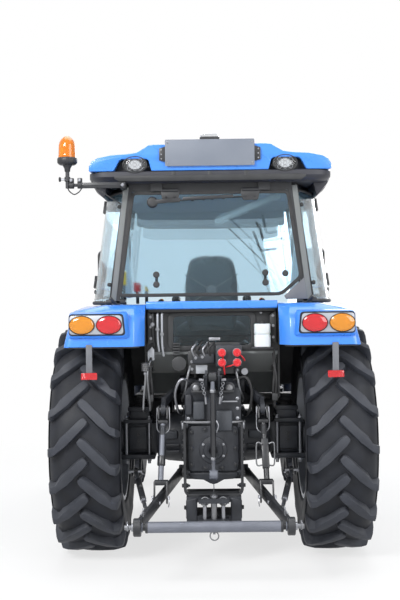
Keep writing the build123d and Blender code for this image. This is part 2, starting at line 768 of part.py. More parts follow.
platform_z = 1150
platform_ahead = 130
with BuildPart() as cab_floor:
    x = sill_x - 70
    level_plate(mirrored([(fender_inner_x, ahead(platform_ahead - 10)), (fender_inner_x, ahead(door_rear_low - 35)),
                          (x, ahead(door_rear_low - 35)), (x, ahead(a_pillar_ahead))]),
                (floor_z - floor_thickness, floor_z))
    side_plate([(ahead(platform_ahead), floor_z), (ahead(platform_ahead), platform_z),
                (behind(80), platform_z), (behind(window_rear), bulkhead_foot),
                (behind(window_rear), bulkhead_foot - floor_thickness),
                (behind(80), platform_z - floor_thickness),
                (ahead(platform_ahead - 10), platform_z - floor_thickness),
                (ahead(platform_ahead - 10), floor_z)],
               (-fender_inner_x, fender_inner_x))
    x = side_x(a_pillar_ahead, floor_z) - pillar_size
    block((-x, x), (ahead(a_pillar_ahead - 20), ahead(a_pillar_ahead)), (floor_z, belt_z - 40))
    for side in sides.values():
        block((side * 130, side * 150), (ahead(a_pillar_ahead), ahead(bonnet_hinge_ahead + 12)),
              (bonnet_hinge_z - 15, bonnet_hinge_z + 12))
        cross_rod((side * 140, side * 190), ahead(bonnet_hinge_ahead), bonnet_hinge_z,
                  bonnet_hinge_radius)
write_piece(cab_floor.part, "cab_floor")

with BuildPart() as cab_bulkhead:
    block((-fender_inner_x, fender_inner_x), (behind(window_rear), behind(window_rear - 25)),
          (bulkhead_foot, belt_z - 54))
    block((-bulkhead_hole_x, bulkhead_hole_x), (behind(window_rear + 5), behind(window_rear - 30)),
          (bulkhead_hole_bottom, bulkhead_hole_top), Mode.SUBTRACT)
    block((-fender_inner_x, fender_inner_x), (behind(460), behind(c_pillar_behind)),
          (belt_z - 54, belt_z - 6))
write_piece(cab_bulkhead.part, "cab_bulkhead")


def thin_arc(start, middle, end, inner_shift):
    """The (x, y) corners of a bowed band: outer arc through three points and its inner arc."""
    centre = Vector(0, rear_axle_y + 500)
    shifted = []
    for point in (start, middle, end):
        inward = (centre - Vector(*point)).normalized() * inner_shift
        shifted.append((point[0] + inward.X, point[1] + inward.Y))
    return shifted


def bowed_pane(lower, upper, lower_z, upper_z):
    """A pane bowed in plan, ruled between a lower and an upper arc of three (x, y) points."""
    with BuildPart() as pane:
        for points, z in ((lower, lower_z), (upper, upper_z)):
            inner = thin_arc(*points, glass_thickness)
            with BuildSketch(Plane.XY.offset(z)):
                with BuildLine():
                    ThreePointArc(*points)
                    Line(points[2], inner[2])
                    ThreePointArc(inner[2], inner[1], inner[0])
                    Line(inner[0], points[0])
                make_face()
        loft(ruled=True)
    return pane.part


glass_foot = belt_z - 20
glass_head = roof_z - pillar_size - 2
screen_x = side_x(a_pillar_ahead, belt_z) - 12
screen_top_x = side_x(a_top_ahead, roof_z) - 12
screen_y = ahead(a_pillar_ahead + half_pillar + 14)
screen_top_y = ahead(a_top_ahead + half_pillar + 8)
screen_bow = 30
windscreen = bowed_pane(
    [(-screen_x, screen_y), (0, screen_y + screen_bow), (screen_x, screen_y)],
    [(-screen_top_x, screen_top_y), (0, screen_top_y + screen_bow), (screen_top_x, screen_top_y)],
    belt_z - 38, roof_z)
panes = [windscreen]

for side in sides.values():
    lower = [(side * (c_pillar_x + half_pillar + 12), behind(c_pillar_behind)),
             (side * (b_pillar_x - 30), behind(110)),
             (side * (b_pillar_x - 4), ahead(b_pillar_ahead - pillar_size - 3))]
    upper = [(side * (c_pillar_top_x + half_pillar + 8), behind(c_pillar_behind - c_pillar_lean)),
             (side * (b_pillar_x - cab_lean - 25), behind(90)),
             (side * (b_pillar_x - cab_lean + 2), ahead(b_pillar_ahead - pillar_size - 3))]
    panes.append(bowed_pane(lower, upper, glass_foot, glass_head))
with BuildPart() as cab_glass:
    for pane in panes:
        add(pane)
    block((-bulkhead_hole_x, bulkhead_hole_x), (behind(c_pillar_behind + 5), behind(c_pillar_behind - 1)),
          (bulkhead_hole_bottom, bulkhead_hole_top))
write_piece(cab_glass.part, "cab_glass")

with BuildPart() as rear_window:
    slope = Vector(0, c_pillar_lean, rail_z - belt_z).normalized()
    rearwards = Vector(0, -slope.Z, slope.Y)
    foot = Vector(0, behind(c_pillar_behind), belt_z) + rearwards * half_pillar
    height = (glass_head - belt_z) / slope.Z
    with BuildSketch(Plane(origin=foot, x_dir=(1, 0, 0), z_dir=rearwards)):
        with BuildLine():
            Polyline((-570, 20), (430, 20), (558, 130), (485, height), (-485, height), close=True)
        make_face()
    extrude(amount=glass_thickness)
write_piece(rear_window.part, "rear_window")


def door_outline(gap):
    """The door's (distance ahead, height) corners above and below the belt, shrunk by a gap."""
    upper = [(hinge_ahead + gap, belt_z + gap), (door_front - gap, belt_z),
             (door_front - a_pillar_lean - gap, roof_z - pillar_size - gap),
             (hinge_ahead + gap, roof_z - pillar_size - gap)]
    lower = [(hinge_ahead + gap, belt_z + gap), (hinge_ahead + 150, belt_z + gap - 20),
             (640, 1440), (door_rear_low - 5, 1160), (door_rear_low, floor_z + 30), (door_front - gap, floor_z + 30),
             (door_front - gap, belt_z)]
    return upper, lower


def door_slab(side, corners, start, thickness, mode=Mode.ADD):
    """A flat slab through corners on the cab's side, from a depth under its outer face."""
    points = [Vector(*side_point(side, *corner)) for corner in corners]
    inwards = (points[1] - points[0]).cross(points[2] - points[0]).normalized()
    if inwards.X * side > 0:
        inwards = -inwards
    plane = Plane(origin=points[0], x_dir=points[1] - points[0], z_dir=inwards)
    local = [plane.to_local_coords(point) for point in points]
    with BuildSketch(plane.offset(start)) as slab:
        with BuildLine():
            Polyline(*[(point.X, point.Y) for point in local], close=True)
        make_face()
    extrude(slab.sketch, amount=thickness, mode=mode)


def window_corners():
    """The (distance ahead, height) corners of a door's windows, above and below the belt."""
    margin = 38
    head = roof_z - pillar_size - margin - 8
    upper = [(hinge_ahead + margin, belt_z + 25), (door_front - margin, belt_z + 25),
             (door_front - margin - a_pillar_lean * 0.93, head), (hinge_ahead + margin, head)]
    lower = [(650 + margin, belt_z - 25), (door_rear_low + margin + 10, 1080),
             (door_front - margin, 1080), (door_front - margin, belt_z - 25)]
    return upper, lower


def make_door(side):
    """The door's frame: a slab above the belt and one below, each with its window cut."""
    with BuildPart() as door:
        for corners in door_outline(door_gap):
            door_slab(side, corners, 0, door_thickness)
        for corners in window_corners():
            door_slab(side, corners, -1, door_thickness + 2, Mode.SUBTRACT)
        for z in hinge_heights:
            rod(hinge_point(side, z), hinge_point(side, z + 50), hinge_barrel_radius)
            low, high = hinge_point(side, z), hinge_point(side, z + 50)
            bar((low[0], low[1] + 15, z), (high[0], high[1] + 15, z + 50), 12, 24)
            x = side_x(hinge_ahead, z + 25)
            block((side * (x - 6), side * (x + hinge_offset + 5)), (ahead(hinge_ahead + 8), ahead(hinge_ahead + 40)),
                  (z, z + 50))
            rod(hinge_point(side, z - 8), hinge_point(side, z + 58),
                hinge_pin_radius + seat_gap, Mode.SUBTRACT)
    return door.part


def make_door_glass(side):
    """The door's two panes, each in the middle of its frame's thickness."""
    with BuildPart() as glass:
        for corners in window_corners():
            door_slab(side, corners, 14, glass_thickness)
    return glass.part


for side_name, side in sides.items():
    write_piece(make_door(side), f"door_{side_name}")
    write_piece(make_door_glass(side), f"door_glass_{side_name}")

roof_plan = [(735, behind(roof_rear)), (780, ahead(b_pillar_ahead + 85)), (760, ahead(a_pillar_ahead - 190)),
             (700, ahead(roof_front - 120)), (560, ahead(roof_front))]
with BuildPart() as roof_base:
    level_plate(mirrored(roof_plan), (roof_z, roof_z + roof_thickness))
write_piece(roof_base.part, "roof_base")

shell_z = roof_z + roof_thickness
lamp_x = 455
lamp_height = 62
with BuildPart() as roof_shell:
    level_plate(mirrored(roof_plan), (shell_z, shell_z + shell_height))
    chamfer(roof_shell.faces().sort_by(Axis.Z)[-1].edges(), 35)
    block((-370, 370), (behind(roof_rear - 20), ahead(a_pillar_ahead - 290)),
          (shell_z + shell_height - 5, shell_z + shell_height + hump_height))
    for side in sides.values():
        front_plate([(side * (lamp_x - 85), shell_z - 1), (side * (lamp_x + 105), shell_z - 1),
                     (side * (lamp_x + 85), shell_z + lamp_height), (side * (lamp_x - 70), shell_z + lamp_height)],
                    (behind(roof_rear + 1), behind(roof_rear - 60)), Mode.SUBTRACT)
write_piece(roof_shell.part, "roof_shell")

with BuildPart() as work_lamps:
    for side in sides.values():
        block((side * (lamp_x - 25), side * (lamp_x + 25)), (behind(roof_rear - 30), behind(roof_rear - 60)),
              (shell_z, shell_z + 50))
        oval((side * lamp_x, behind(roof_rear - 35), shell_z + lamp_height / 2), 72, lamp_height / 2 - 1, 45)
write_piece(work_lamps.part, "work_lamps")

board_x = 270
hump_z = shell_z + shell_height + hump_height
with BuildPart() as plate_board:
    block((-board_x, board_x), (behind(roof_rear + 20), behind(roof_rear + 8)), (2410, 2570))
    for side in sides.values():
        block((side * (board_x - 60), side * (board_x - 20)), (behind(roof_rear + 8), behind(roof_rear)),
              (2415, 2475))
    block((-62, 62), (behind(roof_rear + 20), behind(roof_rear - 40)), (2570, 2610))
    block((-30, 30), (behind(roof_rear - 22), behind(roof_rear - 60)), (hump_z, 2590))
write_piece(plate_board.part, "plate_board")

# ---------------------------------------------------------------- wheel arches

fender_floor = floor_z
fender_front = door_rear_low - 40
fender_end_z = 1331
fender_profile = [(-640, fender_end_z), (-600, 1500), (-520, fender_top), (-150, fender_top - 2),
                  (200, fender_top), (450, 1520), (610, 1380), (fender_front - 10, 1150),
                  (fender_front, fender_floor)]


def arch_height(distance, z, drop):
    """A point's height where the arch has dropped: all of it at the rear end, less over the tyre."""
    if z < fender_end_z:
        return z
    share = min(1, max(0.3, 0.3 - 0.7 * distance / 520))
    return z - drop * share * (z - fender_end_z) / (fender_top - fender_end_z)


def fender_outline(drop, bevel):
    """The arch's outer (y, z) profile at one place across, its rear end moved ahead by a bevel."""
    return [(ahead(distance + (bevel if distance < -500 else 0)), arch_height(distance, z, drop))
            for distance, z in fender_profile]


def fender_section(drop, bevel):
    """The arch's (y, z) outline at one place across: outer profile back along the inner one."""
    outer = fender_outline(drop, bevel)
    middle = Vector(rear_axle_y, rear_wheel.radius)
    inner = []
    for y, z in outer:
        inward = (middle - Vector(y, z)).normalized() * fender_thickness
        inner.append((y + inward.X, z + inward.Y))
    return outer + inner[::-1]


def make_fender(side):
    """The arch over a rear wheel with its side wall towards the cab."""
    with BuildPart() as fender:
        # across, drop, bevel
        rows = ((fender_inner_x, 0, fender_bevel), (fender_bevel_x, 0, 0), (fender_knee_x, 0, 0),
                (fender_shoulder_x, fender_shoulder_drop, 0), (fender_outer_x, fender_drop, 0))
        for pair in zip(rows, rows[1:]):
            faces = []
            for x, drop, bevel in pair:
                with BuildSketch(Plane.YZ.offset(side * x)) as section:
                    with BuildLine():
                        Polyline(*fender_section(drop, bevel), close=True)
                    make_face()
                faces.append(section.sketch)
            loft(faces, ruled=True)
        wall = fender_outline(0, fender_bevel) + [(behind(c_pillar_behind), fender_floor),
                                                  (behind(c_pillar_behind), fender_end_z)]
        side_plate(wall, (side * fender_inner_x, side * (fender_inner_x + 15)))
    return fender.part


with BuildPart() as fenders:
    for side in sides.values():
        add(make_fender(side))
write_piece(fenders.part, "fenders")


def arch_rear(z):
    """How far behind the axle the arch's rear face is at a height."""
    for (start, low), (end, high) in zip(fender_profile, fender_profile[1:]):
        if z <= high:
            return -start - (end - start) * (z - low) / (high - low)


lamp_z = 1460
lamp_places = (602, 762)
housing_rear = 660
housing_bottom = lamp_z - 57
housing_top = lamp_z + 62
reflector_x = 722
with BuildPart() as lamp_housings:
    for side in sides.values():
        side_plate([(behind(arch_rear(housing_bottom)), housing_bottom), (behind(arch_rear(1500)), 1500),
                    (behind(arch_rear(housing_top)), housing_top), (behind(housing_rear), housing_top),
                    (behind(housing_rear), housing_bottom)], (side * 512, side * 834))
        block((side * (reflector_x - 18), side * (reflector_x + 18)), (behind(648), behind(640)), (1110, 1340))
write_piece(lamp_housings.part, "lamp_housings")

with BuildPart() as rear_lights:
    for side in sides.values():
        for x in lamp_places:
            oval((side * x, behind(housing_rear), lamp_z), 76, 54, 17)
        block((side * (reflector_x - 47), side * (reflector_x + 47)), (behind(654), behind(648)), (1140, 1180))
write_piece(rear_lights.part, "rear_lights")

# ---------------------------------------------------------------- bonnet and front


def bonnet_outline(half_width, top, inset):
    """The bonnet's (x, z) outline at one station: straight sides and rounded shoulders."""
    x = half_width - inset
    low = bonnet_bottom - (1 if inset else 0)
    high = top - inset
    with BuildLine() as outline:
        Polyline((-x, low), (x, low), (x, high - 110), (x - 70, high - 15), (x - 150, high),
                 (-x + 150, high), (-x + 70, high - 15), (-x, high - 110), close=True)
    make_face(outline.edges())


bonnet_stations = [(bonnet_rear, bonnet_rear_half, bonnet_rear_top), (wheelbase + 230, 335, 1480),
                   (bonnet_front, bonnet_front_half, bonnet_front_top)]
with BuildPart() as bonnet:
    outer = []
    for distance, half_width, top in bonnet_stations:
        with BuildSketch(Plane.XZ.offset(-ahead(distance))) as section:
            bonnet_outline(half_width, top, 0)
        outer.append(section.sketch)
    loft(outer, ruled=True)
    inner = []
    for distance, half_width, top in bonnet_stations:
        shift = {bonnet_rear: -1, bonnet_front: -bonnet_wall}.get(distance, 0)
        with BuildSketch(Plane.XZ.offset(-ahead(distance) - shift)) as section:
            bonnet_outline(half_width, top, bonnet_wall)
        inner.append(section.sketch)
    loft(inner, ruled=True, mode=Mode.SUBTRACT)
    for side in sides.values():
        cross_rod((side * 160, side * 185), ahead(bonnet_hinge_ahead), bonnet_hinge_z, 18)
        block((side * 160, side * 185), (ahead(bonnet_hinge_ahead - 14), ahead(bonnet_hinge_ahead + 14)),
              (bonnet_hinge_z, bonnet_rear_top - 10))
        cross_rod((side * 150, side * 195), ahead(bonnet_hinge_ahead), bonnet_hinge_z,
                  bonnet_hinge_radius + seat_gap, Mode.SUBTRACT)
write_piece(bonnet.part, "bonnet")

with BuildPart() as grille:
    block((-190, 190), (ahead(bonnet_front), ahead(bonnet_front + 4)), (1040, 1340))
    for x in (-190, 178):
        block((x, x + 12), (ahead(bonnet_front + 3), ahead(bonnet_front + 12)), (1040, 1340))
    for row in range(9):
        z = 1040 + row * 36
        block((-185, 185), (ahead(bonnet_front + 3), ahead(bonnet_front + 12)), (z, z + 12))
write_piece(grille.part, "grille")

with BuildPart() as head_lamps:
    for side in sides.values():
        front_plate([(side * 198, 1190), (side * 300, 1202), (side * 300, 1280), (side * 198, 1268)],
                    (ahead(bonnet_front), ahead(bonnet_front + 14)))
write_piece(head_lamps.part, "head_lamps")

exhaust_y = ahead(gearbox_front + 120)
exhaust_z = 940
with BuildPart() as exhaust:
    cross_rod((engine_half_width, 400), exhaust_y, exhaust_z, 60)
    rod((395, exhaust_y, exhaust_z), (540, exhaust_y - 60, exhaust_z - 60), 30)
write_piece(exhaust.part, "exhaust")

with BuildPart() as fuel_tank:
    block((-620, -300), (ahead(door_rear_low + 20), ahead(wheelbase - 870)), (500, 880))
write_piece(fuel_tank.part, "fuel_tank")

with BuildPart() as battery_box:
    block((300, 620), (ahead(door_rear_low + 20), ahead(gearbox_front)), (600, 880))
write_piece(battery_box.part, "battery_box")

steps_rear = door_rear_low + 40
steps_front = a_pillar_ahead - 90
with BuildPart() as steps:
    for side in sides.values():
        for distance in (steps_rear, steps_front - 10):
            block((side * 625, side * 780), (ahead(distance), ahead(distance + 10)), (430, floor_z - 40))
        for z in (430, 700):
            block((side * 625, side * 790), (ahead(steps_rear), ahead(steps_front)), (z, z + 25))
write_piece(steps.part, "steps")

# ---------------------------------------------------------------- inside the cab

with BuildPart() as seat_base:
    block((-200, 200), (behind(75), ahead(platform_ahead - 10)), (platform_z, 1310))
    block((-230, 230), (behind(160), ahead(330)), (1310, 1330))
write_piece(seat_base.part, "seat_base")

with BuildPart() as seat_cushions:
    block((-250, 250), (behind(160), ahead(340)), (1330, 1450))
    block((-200, 200), (behind(260), behind(160)), (1380, 1900))
write_piece(seat_cushions.part, "seat_cushions")

dash_rear = a_pillar_ahead - 240
dash_top = 1500
with BuildPart() as consoles:
    block((-200, 200), (ahead(dash_rear), ahead(a_pillar_ahead - 20)), (floor_z, dash_top))
    for side in sides.values():
        side_plate([(ahead(platform_ahead), floor_z), (ahead(520), floor_z), (ahead(520), 1420),
                    (behind(70), 1500), (behind(70), platform_z), (ahead(platform_ahead), platform_z)],
                   (side * 270, side * fender_inner_x))
write_piece(consoles.part, "consoles")

with BuildPart() as steering_wheel:
    rod((0, ahead(dash_rear + 40), dash_top), (0, ahead(dash_rear + 40), dash_top + 45), 28)
    rod((0, ahead(dash_rear + 40), dash_top + 40), (0, ahead(dash_rear - 200), dash_top + 140), 22)
    tilt = Plane(origin=(0, ahead(dash_rear - 220), dash_top + 155), z_dir=(0, -0.8, 0.6))
    with BuildSketch(tilt) as ring:
        Circle(195)
        Circle(165, mode=Mode.SUBTRACT)
        Circle(40)
        with PolarLocations(0, 3, 90):
            Rectangle(180, 26, align=(Align.MIN, Align.CENTER))
    extrude(ring.sketch, amount=-25)
write_piece(steering_wheel.part, "steering_wheel")

with BuildPart() as washer_tank:
    block((255, 358), (behind(window_rear + 90), behind(window_rear)),
          (belt_z - 290, belt_z - 130))
write_piece(washer_tank.part, "washer_tank")

coupler_x = (54, 146)
with BuildPart() as coupler_block:
    block((-146, 178), (behind(window_rear + 20), behind(window_rear)),
          (bulkhead_foot - 135, bulkhead_foot + 55))
    block((-120, 176), (behind(window_rear + 90), behind(window_rear + 20)),
          (bulkhead_foot - 85, bulkhead_foot + 40))
    for x in coupler_x:
        for z in (bulkhead_foot - 63, bulkhead_foot - 3):
            rod((x, behind(window_rear + 90), z), (x, behind(window_rear + 130), z), 22)
write_piece(coupler_block.part, "coupler_block")

# ---------------------------------------------------------------- beacon and mirrors

beacon_x = -861
beacon_y = behind(470)
beacon_foot = 2425
beacon_top = 2601
arm_bottom = 2281
arm_top_z = 2316
with BuildPart() as beacon_arm:
    block((-790, -530), (beacon_y - 8, beacon_y + 8), (arm_bottom, arm_top_z))
    cross_rod((beacon_x, -780), beacon_y, arm_top_z - 18, 12)
    rod((beacon_x, beacon_y, arm_bottom), (beacon_x, beacon_y, beacon_foot), 14)
    rod((-680, beacon_y, arm_bottom + 6), (-545, behind(400), 2190), 8)
    block((-545, -510), (behind(484), behind(c_pillar_behind - c_pillar_lean + half_pillar + 1)),
          (arm_bottom, arm_top_z))
write_piece(beacon_arm.part, "beacon_arm")

with BuildPart() as beacon:
    rod((beacon_x, beacon_y, beacon_foot), (beacon_x, beacon_y, beacon_foot + 43), 60)
    rod((beacon_x, beacon_y, beacon_foot + 43), (beacon_x, beacon_y, beacon_top), 54)
write_piece(beacon.part, "beacon")

mirror_ahead = a_pillar_ahead + 40
with BuildPart() as mirrors:
    for side in sides.values():
        block((side * 700, side * 890), (ahead(mirror_ahead), ahead(mirror_ahead + 40)), (1680, mirror_z + 20))
        cross_rod((side * mirror_lug_x, side * 760), ahead(mirror_arm_ahead), mirror_z, 11)
        rod((side * 750, ahead(mirror_arm_ahead - 8), mirror_z), (side * 750, ahead(mirror_ahead + 5), mirror_z), 11)
write_piece(mirrors.part, "mirrors")
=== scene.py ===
"""Farm tractor with a cab: shapes, finishes, studio and camera, laid out as an add-on.

Every size is in metres in the part's own frame: +Y forward, +X to the tractor's right and +Z up.
"""

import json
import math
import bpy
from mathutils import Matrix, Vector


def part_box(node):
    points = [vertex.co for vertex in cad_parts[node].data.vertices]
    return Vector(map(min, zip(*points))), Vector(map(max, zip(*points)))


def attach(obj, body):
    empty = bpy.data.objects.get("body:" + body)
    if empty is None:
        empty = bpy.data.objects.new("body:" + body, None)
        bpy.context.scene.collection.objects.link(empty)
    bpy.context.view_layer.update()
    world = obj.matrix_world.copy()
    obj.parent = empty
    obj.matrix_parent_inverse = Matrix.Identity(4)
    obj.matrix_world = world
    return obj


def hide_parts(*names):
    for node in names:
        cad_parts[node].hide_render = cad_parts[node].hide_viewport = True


bl_info = {
    "name": "Farm tractor dresser",
    "version": (1, 0, 0),
    "blender": (4, 5, 0),
    "location": "View3D > Sidebar > Tractor",
    "description": "Builds the visible pieces of a farm tractor over its construction model",
    "category": "Add Mesh",
}

import bmesh
import bpy
from bpy.props import FloatProperty, FloatVectorProperty, IntProperty, PointerProperty
from mathutils import Matrix, Vector

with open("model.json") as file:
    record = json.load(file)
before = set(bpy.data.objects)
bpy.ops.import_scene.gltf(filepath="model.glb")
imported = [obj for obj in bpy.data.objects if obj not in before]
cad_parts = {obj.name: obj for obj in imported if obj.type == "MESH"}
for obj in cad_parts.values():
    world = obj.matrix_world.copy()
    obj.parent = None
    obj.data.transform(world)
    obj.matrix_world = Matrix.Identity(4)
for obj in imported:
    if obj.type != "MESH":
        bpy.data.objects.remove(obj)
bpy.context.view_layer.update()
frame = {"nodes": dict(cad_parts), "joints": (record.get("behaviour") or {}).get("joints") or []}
joints = {joint["name"]: joint for joint in frame["joints"]}
SHARP = math.radians(32)
SIDES = {"left": -1, "right": 1}


def pivot(joint):
    """The point that a joint turns about."""
    return Vector(joints[joint]["pos_m"])


REAR_AXLE = pivot("rear_wheel_right_spin")
FRONT_AXLE = pivot("front_wheel_right_spin")
AXLE_Y = REAR_AXLE.y


# ------------------------------------------------------------------ mesh making


class Solid:
    """A mesh in the making: rounded closed parts are added to it, each in one finish."""

    def __init__(self):
        self.mesh = bmesh.new()
        self.finishes = []

    def take(self, part, finish, rounding=0.0, segments=2):
        """Round a closed part's sharp edges and add it in a finish."""
        bmesh.ops.recalc_face_normals(part, faces=part.faces)
        if rounding:
            edges = [edge for edge in part.edges if edge.is_manifold and edge.calc_face_angle(0) > SHARP]
            bmesh.ops.bevel(part, geom=edges, offset=rounding, segments=segments, profile=0.5,
                            affect="EDGES", clamp_overlap=True)
        if finish not in self.finishes:
            self.finishes.append(finish)
        index = self.finishes.index(finish)
        for face in part.faces:
            face.material_index = index
            face.smooth = True
        passing = bpy.data.meshes.new("passing")
        part.to_mesh(passing)
        part.free()
        self.mesh.from_mesh(passing)
        bpy.data.meshes.remove(passing)

    def block(self, low, high, finish, rounding=0.002):
        """A box between two corners, given in any order."""
        part = bmesh.new()
        middle = (Vector(low) + Vector(high)) / 2
        size = [abs(b - a) for a, b in zip(low, high)]
        bmesh.ops.create_cube(part, size=1.0, matrix=Matrix.Translation(middle)
            @ Matrix.Diagonal((*size, 1)))
        self.take(part, finish, min(rounding, min(size) * 0.45))

    def loft(self, sections, finish, rounding=0.0, ring=True, caps=True, loop=False):
        """A skin through sections of equally many points, each a ring or an open strip."""
        part = bmesh.new()
        rows = [[part.verts.new(point) for point in section] for section in sections]
        if loop:
            rows.append(rows[0])
        count = len(sections[0])
        for first, second in zip(rows, rows[1:]):
            for i in range(count if ring else count - 1):
                j = (i + 1) % count
                part.faces.new((first[i], first[j], second[j], second[i]))
        if caps and ring and not loop:
            part.faces.new(rows[0][::-1])
            part.faces.new(rows[-1])
        self.take(part, finish, rounding)

    def sheet(self, rows, thickness, finish, rounding=0.0):
        """A closed sheet of some thickness, its outer skin through rows of points."""
        part = bmesh.new()
        outer = [[part.verts.new(point) for point in row] for row in rows]
        for first, second in zip(outer, outer[1:]):
            for i in range(len(first) - 1):
                part.faces.new((first[i], first[i + 1], second[i + 1], second[i]))
        part.normal_update()
        bmesh.ops.solidify(part, geom=part.faces[:], thickness=thickness)
        self.take(part, finish, rounding)

    def prism(self, outline, low, high, finish, along="x", rounding=0.002, segments=2):
        """A flat plate: an outline in the two other axes, from low to high along one axis."""
        placed = {
            "x": lambda a, b, c: (c, a, b),
            "y": lambda a, b, c: (a, c, b),
            "z": lambda a, b, c: (a, b, c),
        }[along]
        part = bmesh.new()
        rows = [[part.verts.new(placed(a, b, c)) for a, b in outline] for c in (low, high)]
        part.faces.new(rows[0][::-1])
        part.faces.new(rows[1])
        count = len(outline)
        for i in range(count):
            j = (i + 1) % count
            part.faces.new((rows[0][i], rows[0][j], rows[1][j], rows[1][i]))
        self.take(part, finish, min(rounding, abs(high - low) * 0.45), segments)

    def plate(self, outline, near, far, finish, rounding=0.002, segments=2):
        """An upright plate that faces along Y, between two distances ahead of the rear axle."""
        self.prism(outline, AXLE_Y + near, AXLE_Y + far, finish, "y", rounding, segments)

    def lathe(self, profile, origin, axis, finish, steps=48, rounding=0.0, closed=False):
        """A turned part: (along, radius) points about an axis; closed joins last to first."""
        part = bmesh.new()
        turn = Vector(axis).normalized()
        across = turn.orthogonal().normalized()
        other = turn.cross(across)
        rings = []
        for along, radius in profile:
            middle = Vector(origin) + turn * along
            if radius < 1e-6:
                rings.append([part.verts.new(middle)])
                continue
            angles = [math.tau * i / steps for i in range(steps)]
            rings.append([part.verts.new(middle + (across * math.cos(a) + other * math.sin(a)) * radius)
                for a in angles])
        if closed:
            rings.append(rings[0])
        for first, second in zip(rings, rings[1:]):
            if len(first) == 1 and len(second) == 1:
                continue
            for i in range(steps):
                j = (i + 1) % steps
                if len(first) == 1:
                    part.faces.new((first[0], second[j], second[i]))
                elif len(second) == 1:
                    part.faces.new((first[i], first[j], second[0]))
                else:
                    part.faces.new((first[i], first[j], second[j], second[i]))
        self.take(part, finish, rounding)

    def rod(self, start, end, radius, finish, hole=0.0, steps=24, rounding=0.0015):
        """A round bar or, with a hole, a tube."""
        start, end = Vector(start), Vector(end)
        length = (end - start).length
        edge = min(rounding, radius * 0.3, length * 0.3)
        profile = [(0, radius - edge), (edge, radius), (length - edge, radius), (length, radius - edge)]
        if hole:
            profile = [(0, hole)] + profile + [(length, hole)]
        else:
            profile = [(0, 0)] + profile + [(length, 0)]
        self.lathe(profile, start, end - start, finish, steps, closed=bool(hole))

    def bar(self, start, end, width, depth, finish, side=(1, 0, 0), rounding=0.003):
        """A rectangular bar; its width lies along side as nearly as its direction allows."""
        start, end = Vector(start), Vector(end)
        run = (end - start).normalized()
        across = (Vector(side) - run * run.dot(Vector(side))).normalized() * width / 2
        up = run.cross(across).normalized() * depth / 2
        corners = [across + up, across - up, -across - up, -across + up]
        self.loft([[start + c for c in corners], [end + c for c in corners]], finish,
                  min(rounding, width * 0.4, depth * 0.4))

    def pipe(self, points, radius, finish, sides=10, smooth=5):
        """A round hose or bent bar through points, with smooth bends."""
        path = smooth_path([Vector(p) for p in points], smooth)
        rings, across = [], None
        for i, point in enumerate(path):
            run = (path[min(i + 1, len(path) - 1)] - path[max(i - 1, 0)]).normalized()
            across = run.orthogonal() if across is None else across - run * run.dot(across)
            across.normalize()
            other = run.cross(across)
            turn = [math.tau * k / sides for k in range(sides)]
            rings.append([point + (across * math.cos(a) + other * math.sin(a)) * radius for a in turn])
        self.loft(rings, finish)

    def bolt(self, place, axis, size, finish, washer=True, nut=0.0):
        """A hexagon head of a size across its flats, on a washer, pointing along axis."""
        place, axis = Vector(place), Vector(axis).normalized()
        radius = size / math.sqrt(3)
        height = size * 0.45
        start = place
        if washer:
            self.lathe([(0, 0), (0, size * 0.68), (size * 0.1, size * 0.68), (size * 0.12, 0)], place, axis,
                finish, 20)
            start = place + axis * size * 0.1
        self.lathe([(0, 0), (0, radius), (height * 0.8, radius), (height, radius * 0.82), (height, 0)],
                   start, axis, finish, 6)
        if nut:
            self.rod(start, start + axis * (height + nut), size * 0.3, finish, steps=12)

    def piece(self, name, body, *nodes, slot=None, subdivisions=0):
        """The finished object: it rides on a body and stands for the CAD nodes named."""
        data = bpy.data.meshes.new(name)
        self.mesh.to_mesh(data)
        self.mesh.free()
        for finish in self.finishes:
            data.materials.append(material(finish))
        data.set_sharp_from_angle(angle=SHARP)
        made = bpy.data.objects.new(name, data)
        bpy.context.scene.collection.objects.link(made)
        if subdivisions:
            rounding = made.modifiers.new("rounding", "SUBSURF")
            rounding.levels = rounding.render_levels = subdivisions
        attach(made, body)
        if nodes:
            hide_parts(*nodes)
        return made


def smooth_path(points, steps):
    """Points along a smooth curve that passes through the given ones."""
    if steps < 2 or len(points) < 3:
        return points
    ends = [points[0] * 2 - points[1]] + points + [points[-1] * 2 - points[-2]]
    path = []
    for a, b, c, d in zip(ends, ends[1:], ends[2:], ends[3:]):
        for step in range(steps):
            t = step / steps
            path.append(0.5 * ((2 * b) + (c - a) * t + (2 * a - 5 * b + 4 * c - d) * t * t
                               + (3 * b - a - 3 * c + d) * t * t * t))
    return path + [points[-1]]


def arc(middle, radius, start, end, steps):
    """Points (a, b) on a circular arc, with angles in degrees."""
    angles = [math.radians(start + (end - start) * i / steps) for i in range(steps + 1)]
    return [(middle[0] + radius * math.cos(a), middle[1] + radius * math.sin(a)) for a in angles]


def rounded(low, high, radius, steps=4):
    """The outline of a rectangle with round corners, from (a, b) low to high."""
    (a0, b0), (a1, b1) = low, high
    corners = (((a1 - radius, b1 - radius), 0), ((a0 + radius, b1 - radius), 90),
               ((a0 + radius, b0 + radius), 180), ((a1 - radius, b0 + radius), 270))
    return [point for middle, start in corners for point in arc(middle, radius, start, start + 90, steps)]


def mix(a, b, share):
    """The value or point at that share of the way from a to b."""
    return a + (b - a) * share


# ------------------------------------------------------------------ finishes


def socket_group(name, inputs, outputs):
    """A shader node group with named sockets, and its input and output nodes."""
    group = bpy.data.node_groups.new(name, "ShaderNodeTree")
    for label, kind, value in inputs:
        made = group.interface.new_socket(label, in_out="INPUT", socket_type=kind)
        if value is not None:
            made.default_value = value
    for label, kind in outputs:
        group.interface.new_socket(label, in_out="OUTPUT", socket_type=kind)
    return group, group.nodes.new("NodeGroupInput"), group.nodes.new("NodeGroupOutput")


